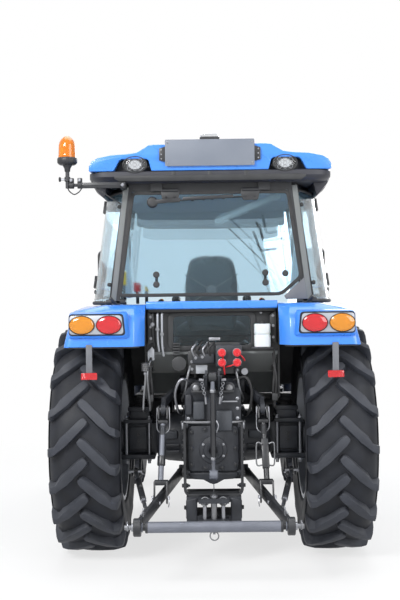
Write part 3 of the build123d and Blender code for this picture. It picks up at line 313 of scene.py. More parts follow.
def noise_node(group, links, scale, detail=4.0, vector=None):
    """A noise texture on the object's own coordinates."""
    texture = group.nodes.new("ShaderNodeTexNoise")
    texture.inputs["Detail"].default_value = detail
    if vector is None:
        vector = group.nodes.new("ShaderNodeTexCoord").outputs["Object"]
    links.new(vector, texture.inputs["Vector"])
    if hasattr(scale, "name"):
        links.new(scale, texture.inputs["Scale"])
    else:
        texture.inputs["Scale"].default_value = scale
    return texture


def ramp_between(group, links, value, low, high):
    """A value spread so that low becomes 0 and high becomes 1."""
    spread = group.nodes.new("ShaderNodeMapRange")
    spread.inputs["From Min"].default_value = low
    spread.inputs["From Max"].default_value = high
    links.new(value, spread.inputs["Value"])
    return spread.outputs["Result"]


def times(group, links, first, second):
    """Two values multiplied."""
    node = group.nodes.new("ShaderNodeMath")
    node.operation = "MULTIPLY"
    for value, socket in ((first, node.inputs[0]), (second, node.inputs[1])):
        if hasattr(value, "name"):
            links.new(value, socket)
        else:
            socket.default_value = value
    return node.outputs[0]


def dust_and_sheen_group():
    """Dust on upward faces, broken up by noise, which also stands for a painted sky sheen lightening the
    tops of things; a mask from 0 to 1.
    """
    group, start, end = socket_group("Dust and painted sheen", [("Scale", "NodeSocketFloat", 9.0),
        ("Amount", "NodeSocketFloat", 0.3)], [("Mask", "NodeSocketFloat")])
    links = group.links
    geometry = group.nodes.new("ShaderNodeNewGeometry")
    facing = group.nodes.new("ShaderNodeSeparateXYZ")
    links.new(geometry.outputs["Normal"], facing.inputs[0])
    upward = ramp_between(group, links, facing.outputs["Z"], -0.6, 1.0)
    patches = noise_node(group, links, start.outputs["Scale"], 6.0)
    broken = ramp_between(group, links, patches.outputs["Fac"], 0.3, 0.75)
    links.new(times(group, links, times(group, links, upward, broken), start.outputs["Amount"]),
              end.inputs["Mask"])
    return group


def mottle_group():
    """A base colour with soft lighter and darker patches, and a matching roughness."""
    group, start, end = socket_group("Mottle", [("Colour", "NodeSocketColor", None),
        ("Second colour", "NodeSocketColor", None), ("Scale", "NodeSocketFloat", 12.0),
        ("Amount", "NodeSocketFloat", 0.4), ("Roughness", "NodeSocketFloat", 0.4),
        ("Spread", "NodeSocketFloat", 0.15)], [("Colour", "NodeSocketColor"),
        ("Roughness", "NodeSocketFloat")])
    links = group.links
    patches = noise_node(group, links, start.outputs["Scale"], 7.0)
    share = ramp_between(group, links, patches.outputs["Fac"], 0.35, 0.72)
    blend = group.nodes.new("ShaderNodeMix")
    blend.data_type = "RGBA"
    links.new(times(group, links, share, start.outputs["Amount"]), blend.inputs["Factor"])
    links.new(start.outputs["Colour"], blend.inputs["A"])
    links.new(start.outputs["Second colour"], blend.inputs["B"])
    links.new(blend.outputs["Result"], end.inputs["Colour"])
    add = group.nodes.new("ShaderNodeMath")
    add.operation = "MULTIPLY_ADD"
    links.new(share, add.inputs[0])
    links.new(start.outputs["Spread"], add.inputs[1])
    links.new(start.outputs["Roughness"], add.inputs[2])
    links.new(add.outputs[0], end.inputs["Roughness"])
    return group


def grain_group():
    """The height of a cast, moulded or sprayed surface: fine noise over larger pits."""
    group, start, end = socket_group("Grain", [("Scale", "NodeSocketFloat", 300.0),
        ("Pits", "NodeSocketFloat", 0.3)], [("Height", "NodeSocketFloat")])
    links = group.links
    fine = noise_node(group, links, start.outputs["Scale"], 3.0)
    cells = group.nodes.new("ShaderNodeTexVoronoi")
    links.new(group.nodes.new("ShaderNodeTexCoord").outputs["Object"], cells.inputs["Vector"])
    links.new(times(group, links, start.outputs["Scale"], 0.35), cells.inputs["Scale"])
    add = group.nodes.new("ShaderNodeMath")
    add.operation = "MULTIPLY_ADD"
    links.new(cells.outputs["Distance"], add.inputs[0])
    links.new(start.outputs["Pits"], add.inputs[1])
    links.new(fine.outputs["Fac"], add.inputs[2])
    links.new(add.outputs[0], end.inputs["Height"])
    return group


def weave_group():
    """A plain cloth weave: the height of crossing threads, and their colour mask."""
    group, start, end = socket_group("Weave", [("Threads", "NodeSocketFloat", 420.0)],
        [("Height", "NodeSocketFloat"), ("Mask", "NodeSocketFloat")])
    links = group.links
    coordinates = group.nodes.new("ShaderNodeTexCoord")
    waves = []
    for direction in ("X", "Z"):
        wave = group.nodes.new("ShaderNodeTexWave")
        wave.bands_direction = direction
        wave.inputs["Distortion"].default_value = 0.6
        links.new(coordinates.outputs["Object"], wave.inputs["Vector"])
        links.new(start.outputs["Threads"], wave.inputs["Scale"])
        waves.append(wave.outputs["Fac"])
    height = times(group, links, *waves)
    links.new(height, end.inputs["Height"])
    links.new(ramp_between(group, links, height, 0.05, 0.6), end.inputs["Mask"])
    return group


GROUPS = {}


def shared_group(name):
    """One of the shared effects, made the first time it is needed."""
    makers = {"dust_and_sheen": dust_and_sheen_group, "mottle": mottle_group, "grain": grain_group, "weave": weave_group}
    if name not in GROUPS:
        GROUPS[name] = makers[name]()
    return GROUPS[name]


def put_group(tree, name, **values):
    """A shared group placed in a material with its own values."""
    node = tree.nodes.new("ShaderNodeGroup")
    node.node_tree = shared_group(name)
    for label, value in values.items():
        node.inputs[label.replace("_", " ")].default_value = value
    return node


# colour of the dust, bluish so that it also paints the sky's sheen on upward faces
DUST_AND_SKY_SHEEN = (0.25, 0.255, 0.265, 1)

# a finish's colour and second colour, scale and amount of its patches, roughness and its spread,
# dust with painted sky sheen, scale of its grain, pits, depth of its bumps in mm, and fixed values of the
# shader
FINISH_VALUES = ("colour", "second", "scale", "patches", "roughness", "spread", "dust_and_sheen", "grain", "pits",
    "depth", "shader")
FINISHES = {
    "blue paint": ((0.045, 0.24, 0.80), (0.058, 0.275, 0.86), 5, 0.5, 0.24, 0.1, 0.05, 700, 0.1, 0.03,
                   {"Coat Weight": 0.6, "Coat Roughness": 0.08}),
    "black paint": ((0.010, 0.011, 0.014), (0.026, 0.028, 0.033), 14, 0.5, 0.34, 0.22, 0.12, 420, 0.3, 0.06,
                    {"Coat Weight": 0.15, "Coat Roughness": 0.3}),
    "casting": ((0.010, 0.012, 0.018), (0.032, 0.036, 0.045), 18, 0.6, 0.42, 0.25, 0.16, 260, 0.8, 0.25,
                {"Specular IOR Level": 0.5}),
    "engine grey": ((0.036, 0.042, 0.052), (0.07, 0.074, 0.085), 16, 0.6, 0.5, 0.2, 0.2, 240, 0.8, 0.25,
                    {}),
    "rim silver": ((0.44, 0.46, 0.50), (0.30, 0.31, 0.33), 8, 0.5, 0.36, 0.15, 0.3, 500, 0.2, 0.04,
                   {"Metallic": 0.55}),
    "worn steel": ((0.25, 0.26, 0.28), (0.15, 0.14, 0.13), 22, 0.55, 0.32, 0.25, 0.15, 600, 0.3, 0.05,
                   {"Metallic": 0.95}),
    "zinc": ((0.34, 0.35, 0.38), (0.24, 0.245, 0.26), 30, 0.5, 0.28, 0.2, 0.1, 500, 0.2, 0.03,
             {"Metallic": 0.95}),
    "chrome": ((0.75, 0.76, 0.78), (0.68, 0.69, 0.70), 10, 0.3, 0.08, 0.08, 0.03, 300, 0.1, 0.01,
               {"Metallic": 1.0}),
    # the carcass's tyre rubber is a darker copy of the lugs' rubber: painted shade between the lugs, and a
    # painted sheen on the lugs
    "tyre rubber": ((0.010, 0.011, 0.015), (0.022, 0.025, 0.034), 9, 0.6, 0.55, 0.2, 0.12, 380, 0.5, 0.12,
                    {"Specular IOR Level": 0.3}),
    "lug rubber painted sheen": ((0.026, 0.029, 0.038), (0.05, 0.054, 0.068), 11, 0.6, 0.52, 0.2, 0.22, 380, 0.5, 0.12,
                   {"Specular IOR Level": 0.35}),
    "seal rubber": ((0.012, 0.012, 0.013), (0.03, 0.03, 0.032), 20, 0.4, 0.55, 0.2, 0.15, 500, 0.3, 0.05,
                    {}),
    "black plastic": ((0.017, 0.018, 0.020), (0.03, 0.031, 0.034), 15, 0.4, 0.45, 0.15, 0.16, 900, 0.8, 0.08,
                      {}),
    "roof plastic": ((0.026, 0.027, 0.036), (0.040, 0.041, 0.052), 7, 0.5, 0.42, 0.15, 0.12, 800, 0.7, 0.08,
                     {}),
    "lamp grey": ((0.13, 0.135, 0.15), (0.18, 0.185, 0.20), 12, 0.4, 0.40, 0.12, 0.12, 800, 0.6, 0.05, {}),
    "trim grey": ((0.16, 0.17, 0.17), (0.21, 0.22, 0.22), 9, 0.4, 0.55, 0.12, 0.1, 900, 0.9, 0.1, {}),
    # the lining's own light grey, lightened further as painted light that lifts the shade under the roof
    "headliner": ((0.50, 0.56, 0.57), (0.54, 0.60, 0.61), 10, 0.4, 0.8, 0.1, 0.0, 1200, 0.9, 0.2, {}),
    "red plastic": ((0.62, 0.012, 0.02), (0.5, 0.01, 0.015), 20, 0.4, 0.35, 0.15, 0.08, 700, 0.4, 0.04, {}),
    "yellow plastic": ((0.75, 0.48, 0.02), (0.66, 0.42, 0.02), 20, 0.4, 0.4, 0.15, 0.08, 700, 0.4, 0.04,
                       {}),
    "white plastic": ((0.72, 0.75, 0.77), (0.62, 0.66, 0.68), 14, 0.4, 0.38, 0.15, 0.06, 600, 0.3, 0.05,
                      {"Subsurface Weight": 0.15, "Subsurface Scale": 0.01}),
    "board grey": ((0.17, 0.19, 0.23), (0.22, 0.24, 0.28), 6, 0.4, 0.36, 0.12, 0.08, 800, 0.3, 0.03, {}),
    # a mirror's glass coloured teal: a painted reflection of what it faces
    "mirror glass with painted reflection": ((0.24, 0.42, 0.47), (0.20, 0.38, 0.43), 3, 0.3, 0.12, 0.03, 0.02, 200, 0.1, 0.005,
                     {"Metallic": 0.25}),
    "tube grey": ((0.14, 0.15, 0.18), (0.20, 0.21, 0.25), 14, 0.5, 0.38, 0.2, 0.2, 500, 0.3, 0.05,
                  {"Metallic": 0.35}),
    "copper": ((0.55, 0.30, 0.14), (0.40, 0.22, 0.11), 25, 0.5, 0.35, 0.2, 0.1, 500, 0.2, 0.03,
               {"Metallic": 0.9}),
}
# clear finishes: colour, roughness, transmission, alpha, coat
CLEAR = {
    "cab glass": ((0.48, 0.69, 0.81), 0.02, 1.0, 0.60, 0.0),
    "lamp glass": ((0.92, 0.95, 0.97), 0.03, 1.0, 0.45, 0.0),
    "red lens": ((0.68, 0.010, 0.018), 0.10, 0.25, 1.0, 0.8),
    "amber lens": ((0.80, 0.29, 0.008), 0.10, 0.25, 1.0, 0.8),
    "beacon dome": ((0.78, 0.21, 0.003), 0.08, 0.25, 1.0, 0.35),
}


def solid_finish(name):
    """A painted, cast, moulded or metal finish from its row of values."""
    values = dict(zip(FINISH_VALUES, FINISHES[name]))
    if name == "blue paint":
        values["colour"] = tuple(bpy.context.scene.tractor.paint)
    made = bpy.data.materials.new(name.replace(" ", "_"))
    made.use_nodes = True
    tree = made.node_tree
    shader = tree.nodes["Principled BSDF"]
    mottle = put_group(tree, "mottle", Colour=(*values["colour"], 1), Second_colour=(*values["second"], 1),
                       Scale=values["scale"], Amount=values["patches"], Roughness=values["roughness"],
                       Spread=values["spread"])
    # dust on upward faces, which also serves as a painted sky sheen on the tops of things
    dust_and_sheen = put_group(tree, "dust_and_sheen", Scale=values["scale"] * 0.8, Amount=values["dust_and_sheen"])
    with_dust_and_sheen = tree.nodes.new("ShaderNodeMix")
    with_dust_and_sheen.data_type = "RGBA"
    with_dust_and_sheen.inputs["B"].default_value = DUST_AND_SKY_SHEEN
    tree.links.new(dust_and_sheen.outputs["Mask"], with_dust_and_sheen.inputs["Factor"])
    tree.links.new(mottle.outputs["Colour"], with_dust_and_sheen.inputs["A"])
    tree.links.new(with_dust_and_sheen.outputs["Result"], shader.inputs["Base Color"])
    rough = tree.nodes.new("ShaderNodeMath")
    rough.operation = "MULTIPLY_ADD"
    rough.inputs[1].default_value = 0.5
    tree.links.new(dust_and_sheen.outputs["Mask"], rough.inputs[0])
    tree.links.new(mottle.outputs["Roughness"], rough.inputs[2])
    tree.links.new(rough.outputs[0], shader.inputs["Roughness"])
    grain = put_group(tree, "grain", Scale=values["grain"], Pits=values["pits"])
    bump = tree.nodes.new("ShaderNodeBump")
    bump.inputs["Strength"].default_value = 1.0
    bump.inputs["Distance"].default_value = values["depth"] / 1000
    tree.links.new(grain.outputs["Height"], bump.inputs["Height"])
    tree.links.new(bump.outputs["Normal"], shader.inputs["Normal"])
    for label, value in values["shader"].items():
        shader.inputs[label].default_value = value
    return made


def clear_finish(name):
    """Glass or a coloured lens."""
    colour, roughness, transmission, alpha, coat = CLEAR[name]
    made = bpy.data.materials.new(name.replace(" ", "_"))
    made.use_nodes = True
    shader = made.node_tree.nodes["Principled BSDF"]
    shader.inputs["Base Color"].default_value = (*colour, 1)
    shader.inputs["Roughness"].default_value = roughness
    shader.inputs["Transmission Weight"].default_value = transmission
    shader.inputs["Alpha"].default_value = alpha
    shader.inputs["Coat Weight"].default_value = coat
    shader.inputs["IOR"].default_value = 1.45
    grain = put_group(made.node_tree, "grain", Scale=60.0, Pits=0.2)
    bump = made.node_tree.nodes.new("ShaderNodeBump")
    bump.inputs["Distance"].default_value = 0.00003
    made.node_tree.links.new(grain.outputs["Height"], bump.inputs["Height"])
    made.node_tree.links.new(bump.outputs["Normal"], shader.inputs["Normal"])
    return made


def seat_cloth():
    """Woven seat cloth with a soft sheen."""
    made = bpy.data.materials.new("seat_cloth")
    made.use_nodes = True
    tree = made.node_tree
    shader = tree.nodes["Principled BSDF"]
    weave = put_group(tree, "weave", Threads=260.0)
    colour = tree.nodes.new("ShaderNodeMix")
    colour.data_type = "RGBA"
    colour.inputs["A"].default_value = (0.07, 0.085, 0.09, 1)
    colour.inputs["B"].default_value = (0.15, 0.175, 0.18, 1)
    tree.links.new(weave.outputs["Mask"], colour.inputs["Factor"])
    tree.links.new(colour.outputs["Result"], shader.inputs["Base Color"])
    shader.inputs["Roughness"].default_value = 0.85
    shader.inputs["Sheen Weight"].default_value = 0.3
    bump = tree.nodes.new("ShaderNodeBump")
    bump.inputs["Distance"].default_value = 0.0006
    tree.links.new(weave.outputs["Height"], bump.inputs["Height"])
    tree.links.new(bump.outputs["Normal"], shader.inputs["Normal"])
    return made


MADE = {}


def material(name):
    """A finish by its name, made the first time it is needed."""
    if name not in MADE:
        if name in FINISHES:
            MADE[name] = solid_finish(name)
        elif name in CLEAR:
            MADE[name] = clear_finish(name)
        else:
            MADE[name] = seat_cloth()
    return MADE[name]


# ------------------------------------------------------------------ places


REARWARDS, FORWARDS, UPWARDS = Vector((0, -1, 0)), Vector((0, 1, 0)), Vector((0, 0, 1))


def at(x, distance, z):
    """A point by its x, its distance ahead of the rear axle and its height."""
    return Vector((x, AXLE_Y + distance, z))


def softened(points, radius, steps=4, closed=True):
    """An outline with its corners rounded, each by an arc-like curve."""
    points = [Vector(point) for point in points]
    made = []
    for i, corner in enumerate(points):
        if not closed and i in (0, len(points) - 1):
            made.append(corner)
            continue
        before, after = points[i - 1] - corner, points[(i + 1) % len(points)] - corner
        reach = min(radius, before.length * 0.48, after.length * 0.48)
        start, end = corner + before.normalized() * reach, corner + after.normalized() * reach
        for step in range(steps + 1):
            t = step / steps
            made.append(start * (1 - t) ** 2 + corner * (2 * t * (1 - t)) + end * t * t)
    return made


def both_ways(points):
    """An outline of (a, b) points on the right, closed over the centre plane."""
    return list(points) + [(-a, b) for a, b in reversed(points)]


def ellipse(centre, across, up, steps=32):
    """The (a, b) points of an ellipse."""
    turns = [math.tau * i / steps for i in range(steps)]
    return [(centre[0] + across * math.cos(t), centre[1] + up * math.sin(t)) for t in turns]


def dome(part, centre, across, up, profile, finish, forward=-1):
    """An oval lens or housing facing along Y: its profile is (out, share of the outline)."""
    rings = []
    for out, share in profile:
        y = centre.y + forward * out
        rings.append([(a, y, b) for a, b in ellipse((centre.x, centre.z), across * share, up * share)])
    part.loft(rings, finish)


def refinish(node, finish):
    """Give a CAD node whose shape is right its finish."""
    for slot in frame["nodes"][node].material_slots:
        slot.material = material(finish)


def copy_of(part, node, finish, rounding=0.002):
    """Add a copy of a CAD node's shape, with its edges rounded."""
    copied = bmesh.new()
    copied.from_mesh(frame["nodes"][node].data)
    bmesh.ops.remove_doubles(copied, verts=copied.verts, dist=0.00002)
    bmesh.ops.dissolve_limit(copied, angle_limit=math.radians(0.6), verts=copied.verts, edges=copied.edges)
    edges = [edge for edge in copied.edges if edge.is_manifold and edge.calc_face_angle(0) > SHARP]
    short = min((edge.calc_length() for edge in edges), default=1)
    if short > rounding:
        bmesh.ops.bevel(copied, geom=edges, offset=min(rounding, short * 0.45), segments=2, profile=0.5,
                        affect="EDGES", clamp_overlap=True)
    part.take(copied, finish)


BELT = 1.600
ROOF = 2.320
B_PILLAR, A_PILLAR = 0.215, 1.290
LEAN = 0.100


def side_x(distance, z):
    """The outer face of the cab's side."""
    share = (distance - B_PILLAR) / (A_PILLAR - B_PILLAR)
    return mix(0.775, 0.715, share) - max(0, z - BELT) / (ROOF - BELT) * LEAN


# ------------------------------------------------------------------ settings


class TractorSettings(bpy.types.PropertyGroup):
    """Sizes and colours that change the look of the tractor."""

    rear_lugs: IntProperty(name="Rear lugs", description="Lugs in each row of a rear tyre",
                           default=19, min=8, max=30)
    front_lugs: IntProperty(name="Front lugs", description="Lugs in each row of a front tyre",
                            default=17, min=8, max=30)
    lug_width: FloatProperty(name="Lug width", description="Width of a rear lug at the tread's middle",
                             default=0.046, min=0.02, max=0.08, unit="LENGTH")
    roof_edge: FloatProperty(name="Roof edge", description="Radius of the roof's upper edge",
                             default=0.075, min=0.02, max=0.12, unit="LENGTH")
    cushion_swell: FloatProperty(name="Cushion swell", description="Furthest that a seat cushion swells",
                                 default=0.022, min=0.0, max=0.03, unit="LENGTH")
    paint: FloatVectorProperty(name="Paint", description="Colour of the painted bodywork",
                               subtype="COLOR", size=3, default=FINISHES["blue paint"][0])
    lens_length: FloatProperty(name="Lens", description="Focal length of the camera, in millimetres",
                               default=60.0, min=20.0, max=200.0)


# ------------------------------------------------------------------ wheels

REAR = dict(radius=0.715, tread=0.2025, section=0.215, bead=0.381, flange=0.404, half_rim=0.190, lug=0.036,
    face=-0.140, disc=0.150, meets=-0.045, hub=0.110, hub_face=-0.165, cap=0.060, cap_length=0.060, bolts=8)
FRONT = dict(radius=0.560, tread=0.1475, section=0.1575, bead=0.305, flange=0.327, half_rim=0.1395,
    lug=0.030, face=-0.020, disc=0.140, meets=0.040, hub=0.105, hub_face=-0.050, cap=0.080,
    cap_length=0.090, bolts=8)


def tyre_profile(size):
    """Half of the carcass, from its bead to the middle of the tread: (outwards, radius)."""
    base = size["radius"] - size["lug"]
    flange, half, section, tread = size["flange"], size["half_rim"], size["section"], size["tread"]
    wall = base - flange
    k = size["lug"] / 0.036
    return [(half - 0.0075, size["bead"] + 0.0003), (half - 0.0073, flange + 0.001),
        (half + 0.001, flange + 0.005), (half + 0.008, flange + 0.014), (half + 0.010, flange + 0.022),
        (half + 0.009, flange + 0.027), (section - 0.006, flange + wall * 0.30),
        (section - 0.001, flange + wall * 0.44), (section, flange + wall * 0.52),
        (section - 0.002, flange + wall * 0.62), (section - 0.0005, flange + wall * 0.63),
        (section - 0.001, flange + wall * 0.645), (section - 0.004, flange + wall * 0.655),
        (section - 0.006, base - 0.105 * k), (tread - 0.008, base - 0.064 * k),
        (tread * 0.84, base - 0.032 * k), (tread * 0.69, base - 0.013 * k),
        (tread * 0.49, base - 0.004 * k)]


def lug_rings(size, width):
    """The four-cornered rings of a lug from the tread's middle, over the shoulder and down the wall."""
    radius, tread, section = size["radius"], size["tread"], size["section"]
    base = radius - size["lug"] - 0.006
    k = size["lug"] / 0.036
    stations = [  # across, top radius, base across, base radius, half width at the top
        (-0.021, radius - 0.004, -0.024, base, width * 0.26),
        (-0.012, radius - 0.001, -0.014, base, width * 0.43),
        (0.004, radius, 0.003, base, width * 0.50),
        (tread * 0.25, radius, tread * 0.25, base - 0.002, width * 0.51),
        (tread * 0.55, radius - 0.002, tread * 0.55, base - 0.008 * k, width * 0.54),
        (tread * 0.80, radius - 0.007, tread * 0.78, base - 0.026 * k, width * 0.60),
        (tread * 0.955, radius - 0.016, tread * 0.87, base - 0.046 * k, width * 0.64),
        (tread * 1.0, radius - 0.040 * k, tread * 0.91, base - 0.064 * k, width * 0.64),
        (section - 0.004, radius - 0.085 * k, section - 0.022, base - 0.094 * k, width * 0.56),
        (section - 0.0025, radius - 0.128 * k, section - 0.016, base - 0.118 * k, width * 0.46)]
    rings = []
    for across, top, under, bottom, half in stations:
        slant = min(across, tread * 0.8) + max(0, min(across, tread) - tread * 0.8) * 0.4
        turned = 0.70 if across < tread * 0.8 else 0.0
        wider = half + 0.007
        rings.append([(under + turned * wider, bottom, -slant + wider * 0.85), (across + turned * half, top,
            -slant + half * 0.85), (across - turned * half, top, -slant - half * 0.85),
            (under - turned * wider, bottom, -slant - wider * 0.85)])
    return rings


def make_tyre(name, body, side, centre, size, count, width):
    """One tyre with its carcass and two rows of slanting lugs, half a pitch apart."""
    part = Solid()
    half = tyre_profile(size)
    profile = half + [(0, size["radius"] - size["lug"])] + [(-x, r) for x, r in reversed(half)]
    # carcass in the darker copy of the rubber, as painted shade between the lugs
    part.lathe(profile, centre, (side, 0, 0), "tyre rubber", 96, closed=True)
    rings = lug_rings(size, width)
    for row in (1, -1):
        for i in range(count):
            start = math.tau * (i + (0.5 if row < 0 else 0)) / count
            placed = []
            for ring in rings:
                corners = []
                for across, radius, along in ring:
                    turn = start + along / size["radius"]
                    corners.append(centre + Vector((side * row * across, radius * math.sin(turn),
                                                    radius * math.cos(turn))))
                placed.append(corners)
            # lugs in the lighter copy of the rubber, as a painted sheen
            part.loft(placed, "lug rubber painted sheen", 0.004)
    return part.piece(name, body, name, slot="tyre_rubber")


def make_rim(name, body, side, centre, size):
    """One rim with its drop centre, bolted disc, hub and cap."""
    part = Solid()
    half, bead, flange = size["half_rim"], size["bead"], size["flange"]
    outside = [(half, flange - 0.003), (half - 0.002, flange), (half - 0.007, flange), (half - 0.007, bead),
               (0.105, bead - 0.002), (0.075, bead - 0.030)]
    inside = [(half, bead - 0.006), (0.112, bead - 0.010), (0.080, bead - 0.038)]
    profile = outside + [(-x, r) for x, r in reversed(outside)] + [(-x, r) for x, r in inside] + inside[::-1]
    axis = (side, 0, 0)
    part.lathe(profile, centre, axis, "rim silver", 96, closed=True)
    face, meets, edge = size["face"], size["meets"], bead - 0.034
    slope = [(face, size["cap"] + 0.012), (face, size["disc"]),
        (mix(face, meets, 0.15), mix(size["disc"], edge, 0.14)),
        (mix(face, meets, 0.72), mix(size["disc"], edge, 0.80)),
        (mix(face, meets, 0.9), mix(size["disc"], edge, 0.93)), (meets, edge)]
    part.lathe(slope + [(x + 0.011, r) for x, r in reversed(slope)], centre, axis, "rim silver", 96,
        closed=True)
    outer = face + 0.011
    part.lathe([(size["hub_face"] + 0.0005, 0), (size["hub_face"] + 0.0005, size["hub"]),
        (face + 0.001, size["hub"]), (face + 0.001, size["disc"] - 0.012), (face + 0.002, 0)], centre, axis,
        "casting", 48, 0.002)
    cap, reach = size["cap"], size["cap_length"]
    part.lathe([(face, 0), (face, cap + 0.010), (outer + 0.006, cap + 0.010), (outer + 0.008, cap),
        (outer + reach * 0.72, cap - 0.003), (outer + reach * 0.9, cap - 0.009),
        (outer + reach, cap - 0.02), (outer + reach, 0)], centre, axis, "casting", 48, 0.0015)
    for i in range(size["bolts"]):
        turn = math.tau * (i + 0.5) / size["bolts"]
        ray = Vector((0, math.cos(turn), math.sin(turn)))
        place = centre + Vector((side * outer, 0, 0)) + ray * (size["disc"] - 0.028)
        part.bolt(place, axis, 0.026, "zinc", nut=0.008)
        share = mix(face, meets, 0.80) + 0.011
        place = centre + Vector((side * share, 0, 0)) + ray * mix(size["disc"], edge, 0.86)
        part.bolt(place, axis, 0.028, "zinc", nut=0.006)
        clamp = centre + Vector((side * (meets + 0.018), 0, 0)) + ray * (edge - 0.012)
        across = ray.cross(Vector((1, 0, 0)))
        part.bar(clamp - ray * 0.03, clamp + ray * 0.012, 0.055, 0.012, "rim silver", across)
    valve = centre + Vector((side * (half - 0.07), bead - 0.052, 0))
    part.rod(valve, valve + Vector((side * 0.035, -0.006, 0)), 0.005, "seal rubber", steps=10)
    return part.piece(name, body, name, slot="rim_silver")


class TRACTOR_OT_wheels(bpy.types.Operator):
    """Tyres and rims of all four wheels"""

    bl_idname = "tractor.wheels"
    bl_label = "Wheels"

    def execute(self, context):
        settings = context.scene.tractor
        sizes = (("rear", REAR, settings.rear_lugs, settings.lug_width),
                 ("front", FRONT, settings.front_lugs, settings.lug_width * 0.85))
        for end, size, count, width in sizes:
            for name, side in SIDES.items():
                body = f"{end}_wheel_{name}"
                low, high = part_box(f"{end}_tyre_{name}")
                centre = (low + high) / 2
                make_tyre(f"{end}_tyre_{name}", body, side, centre, size, count, width)
                make_rim(f"{end}_rim_{name}", body, side, centre, size)
        return {"FINISHED"}


# ------------------------------------------------------------------ wheel arches and lights

ARCH_FOOT, ARCH_TOP = 1.331, 1.577
ARCH = [(-0.640, ARCH_FOOT), (-0.600, 1.500), (-0.520, ARCH_TOP), (-0.150, ARCH_TOP - 0.002),
    (0.200, ARCH_TOP), (0.450, 1.520), (0.610, 1.380), (0.690, 1.150), (0.700, 1.000)]
ARCH_ROWS = (  # across, drop of the edge, how far the rear end is drawn ahead
    (0.400, 0.0, 0.070), (0.430, 0.0, 0.035), (0.456, 0.0, 0.005), (0.466, 0.0, 0.0), (0.640, 0.0, 0.0),
    (0.740, 0.018, 0.0), (0.822, 0.034, 0.0), (0.836, 0.042, 0.0), (0.843, 0.062, 0.0), (0.858, 0.135, 0.0),
    (0.869, 0.192, 0.0), (0.872, 0.212, 0.003))


def arch_point(x, distance, z, drop, ahead):
    """A point of the arch: its edge droops fully at the rear end and less over the tyre."""
    share = min(1, max(0.3, 0.3 - 0.7 * distance / 0.520))
    height = z - drop * share * max(0, z - ARCH_FOOT) / (ARCH_TOP - ARCH_FOOT)
    return at(x, distance + (ahead if distance < -0.45 else 0), height)


class TRACTOR_OT_fenders(bpy.types.Operator):
    """Wheel arches: a curved painted top with a rolled edge, and a dark inner wall"""

    bl_idname = "tractor.fenders"
    bl_label = "Wheel arches"

    def execute(self, context):
        curve = softened(ARCH, 0.035, 4, closed=False)
        part = Solid()
        for side in SIDES.values():
            for reach, low, high, thickness, finish in ((0.0, 0.0, 1.0, 0.010, "blue paint"),
                                                        (0.012, 0.412, 0.866, 0.003, "black plastic")):
                rows = []
                for x, drop, ahead in ARCH_ROWS:
                    if low <= x <= high:
                        row = [arch_point(side * x, d, z, drop, ahead) for d, z in curve]
                        hub = at(side * x, 0, REAR["radius"])
                        rows.append([p + (hub - p).normalized() * reach for p in row])
                part.sheet(rows if side > 0 else rows[::-1], -thickness, finish, 0.003 if reach == 0
                    else 0.0)
            wall = [(d + (0.070 if d < -0.45 else 0), z) for d, z in softened(ARCH, 0.03, 3, closed=False)]
            wall += [(-0.375, 1.000), (-0.375, ARCH_FOOT)]
            wall = [(AXLE_Y + d, z) for d, z in wall]
            low, high = sorted((side * 0.4005, side * 0.413))
            part.prism(wall, low, high, "black plastic", "x", 0.002)
            for i in range(7):
                z = 1.345 + i * 0.026
                rear = -0.566 + (z - ARCH_FOOT) * 0.24
                part.bolt(at(side * 0.408, rear, z), (side * -0.6, -1, 0), 0.009, "zinc", washer=False)
        part.piece("fenders", "chassis", "fenders", slot="body_blue")
        return {"FINISHED"}


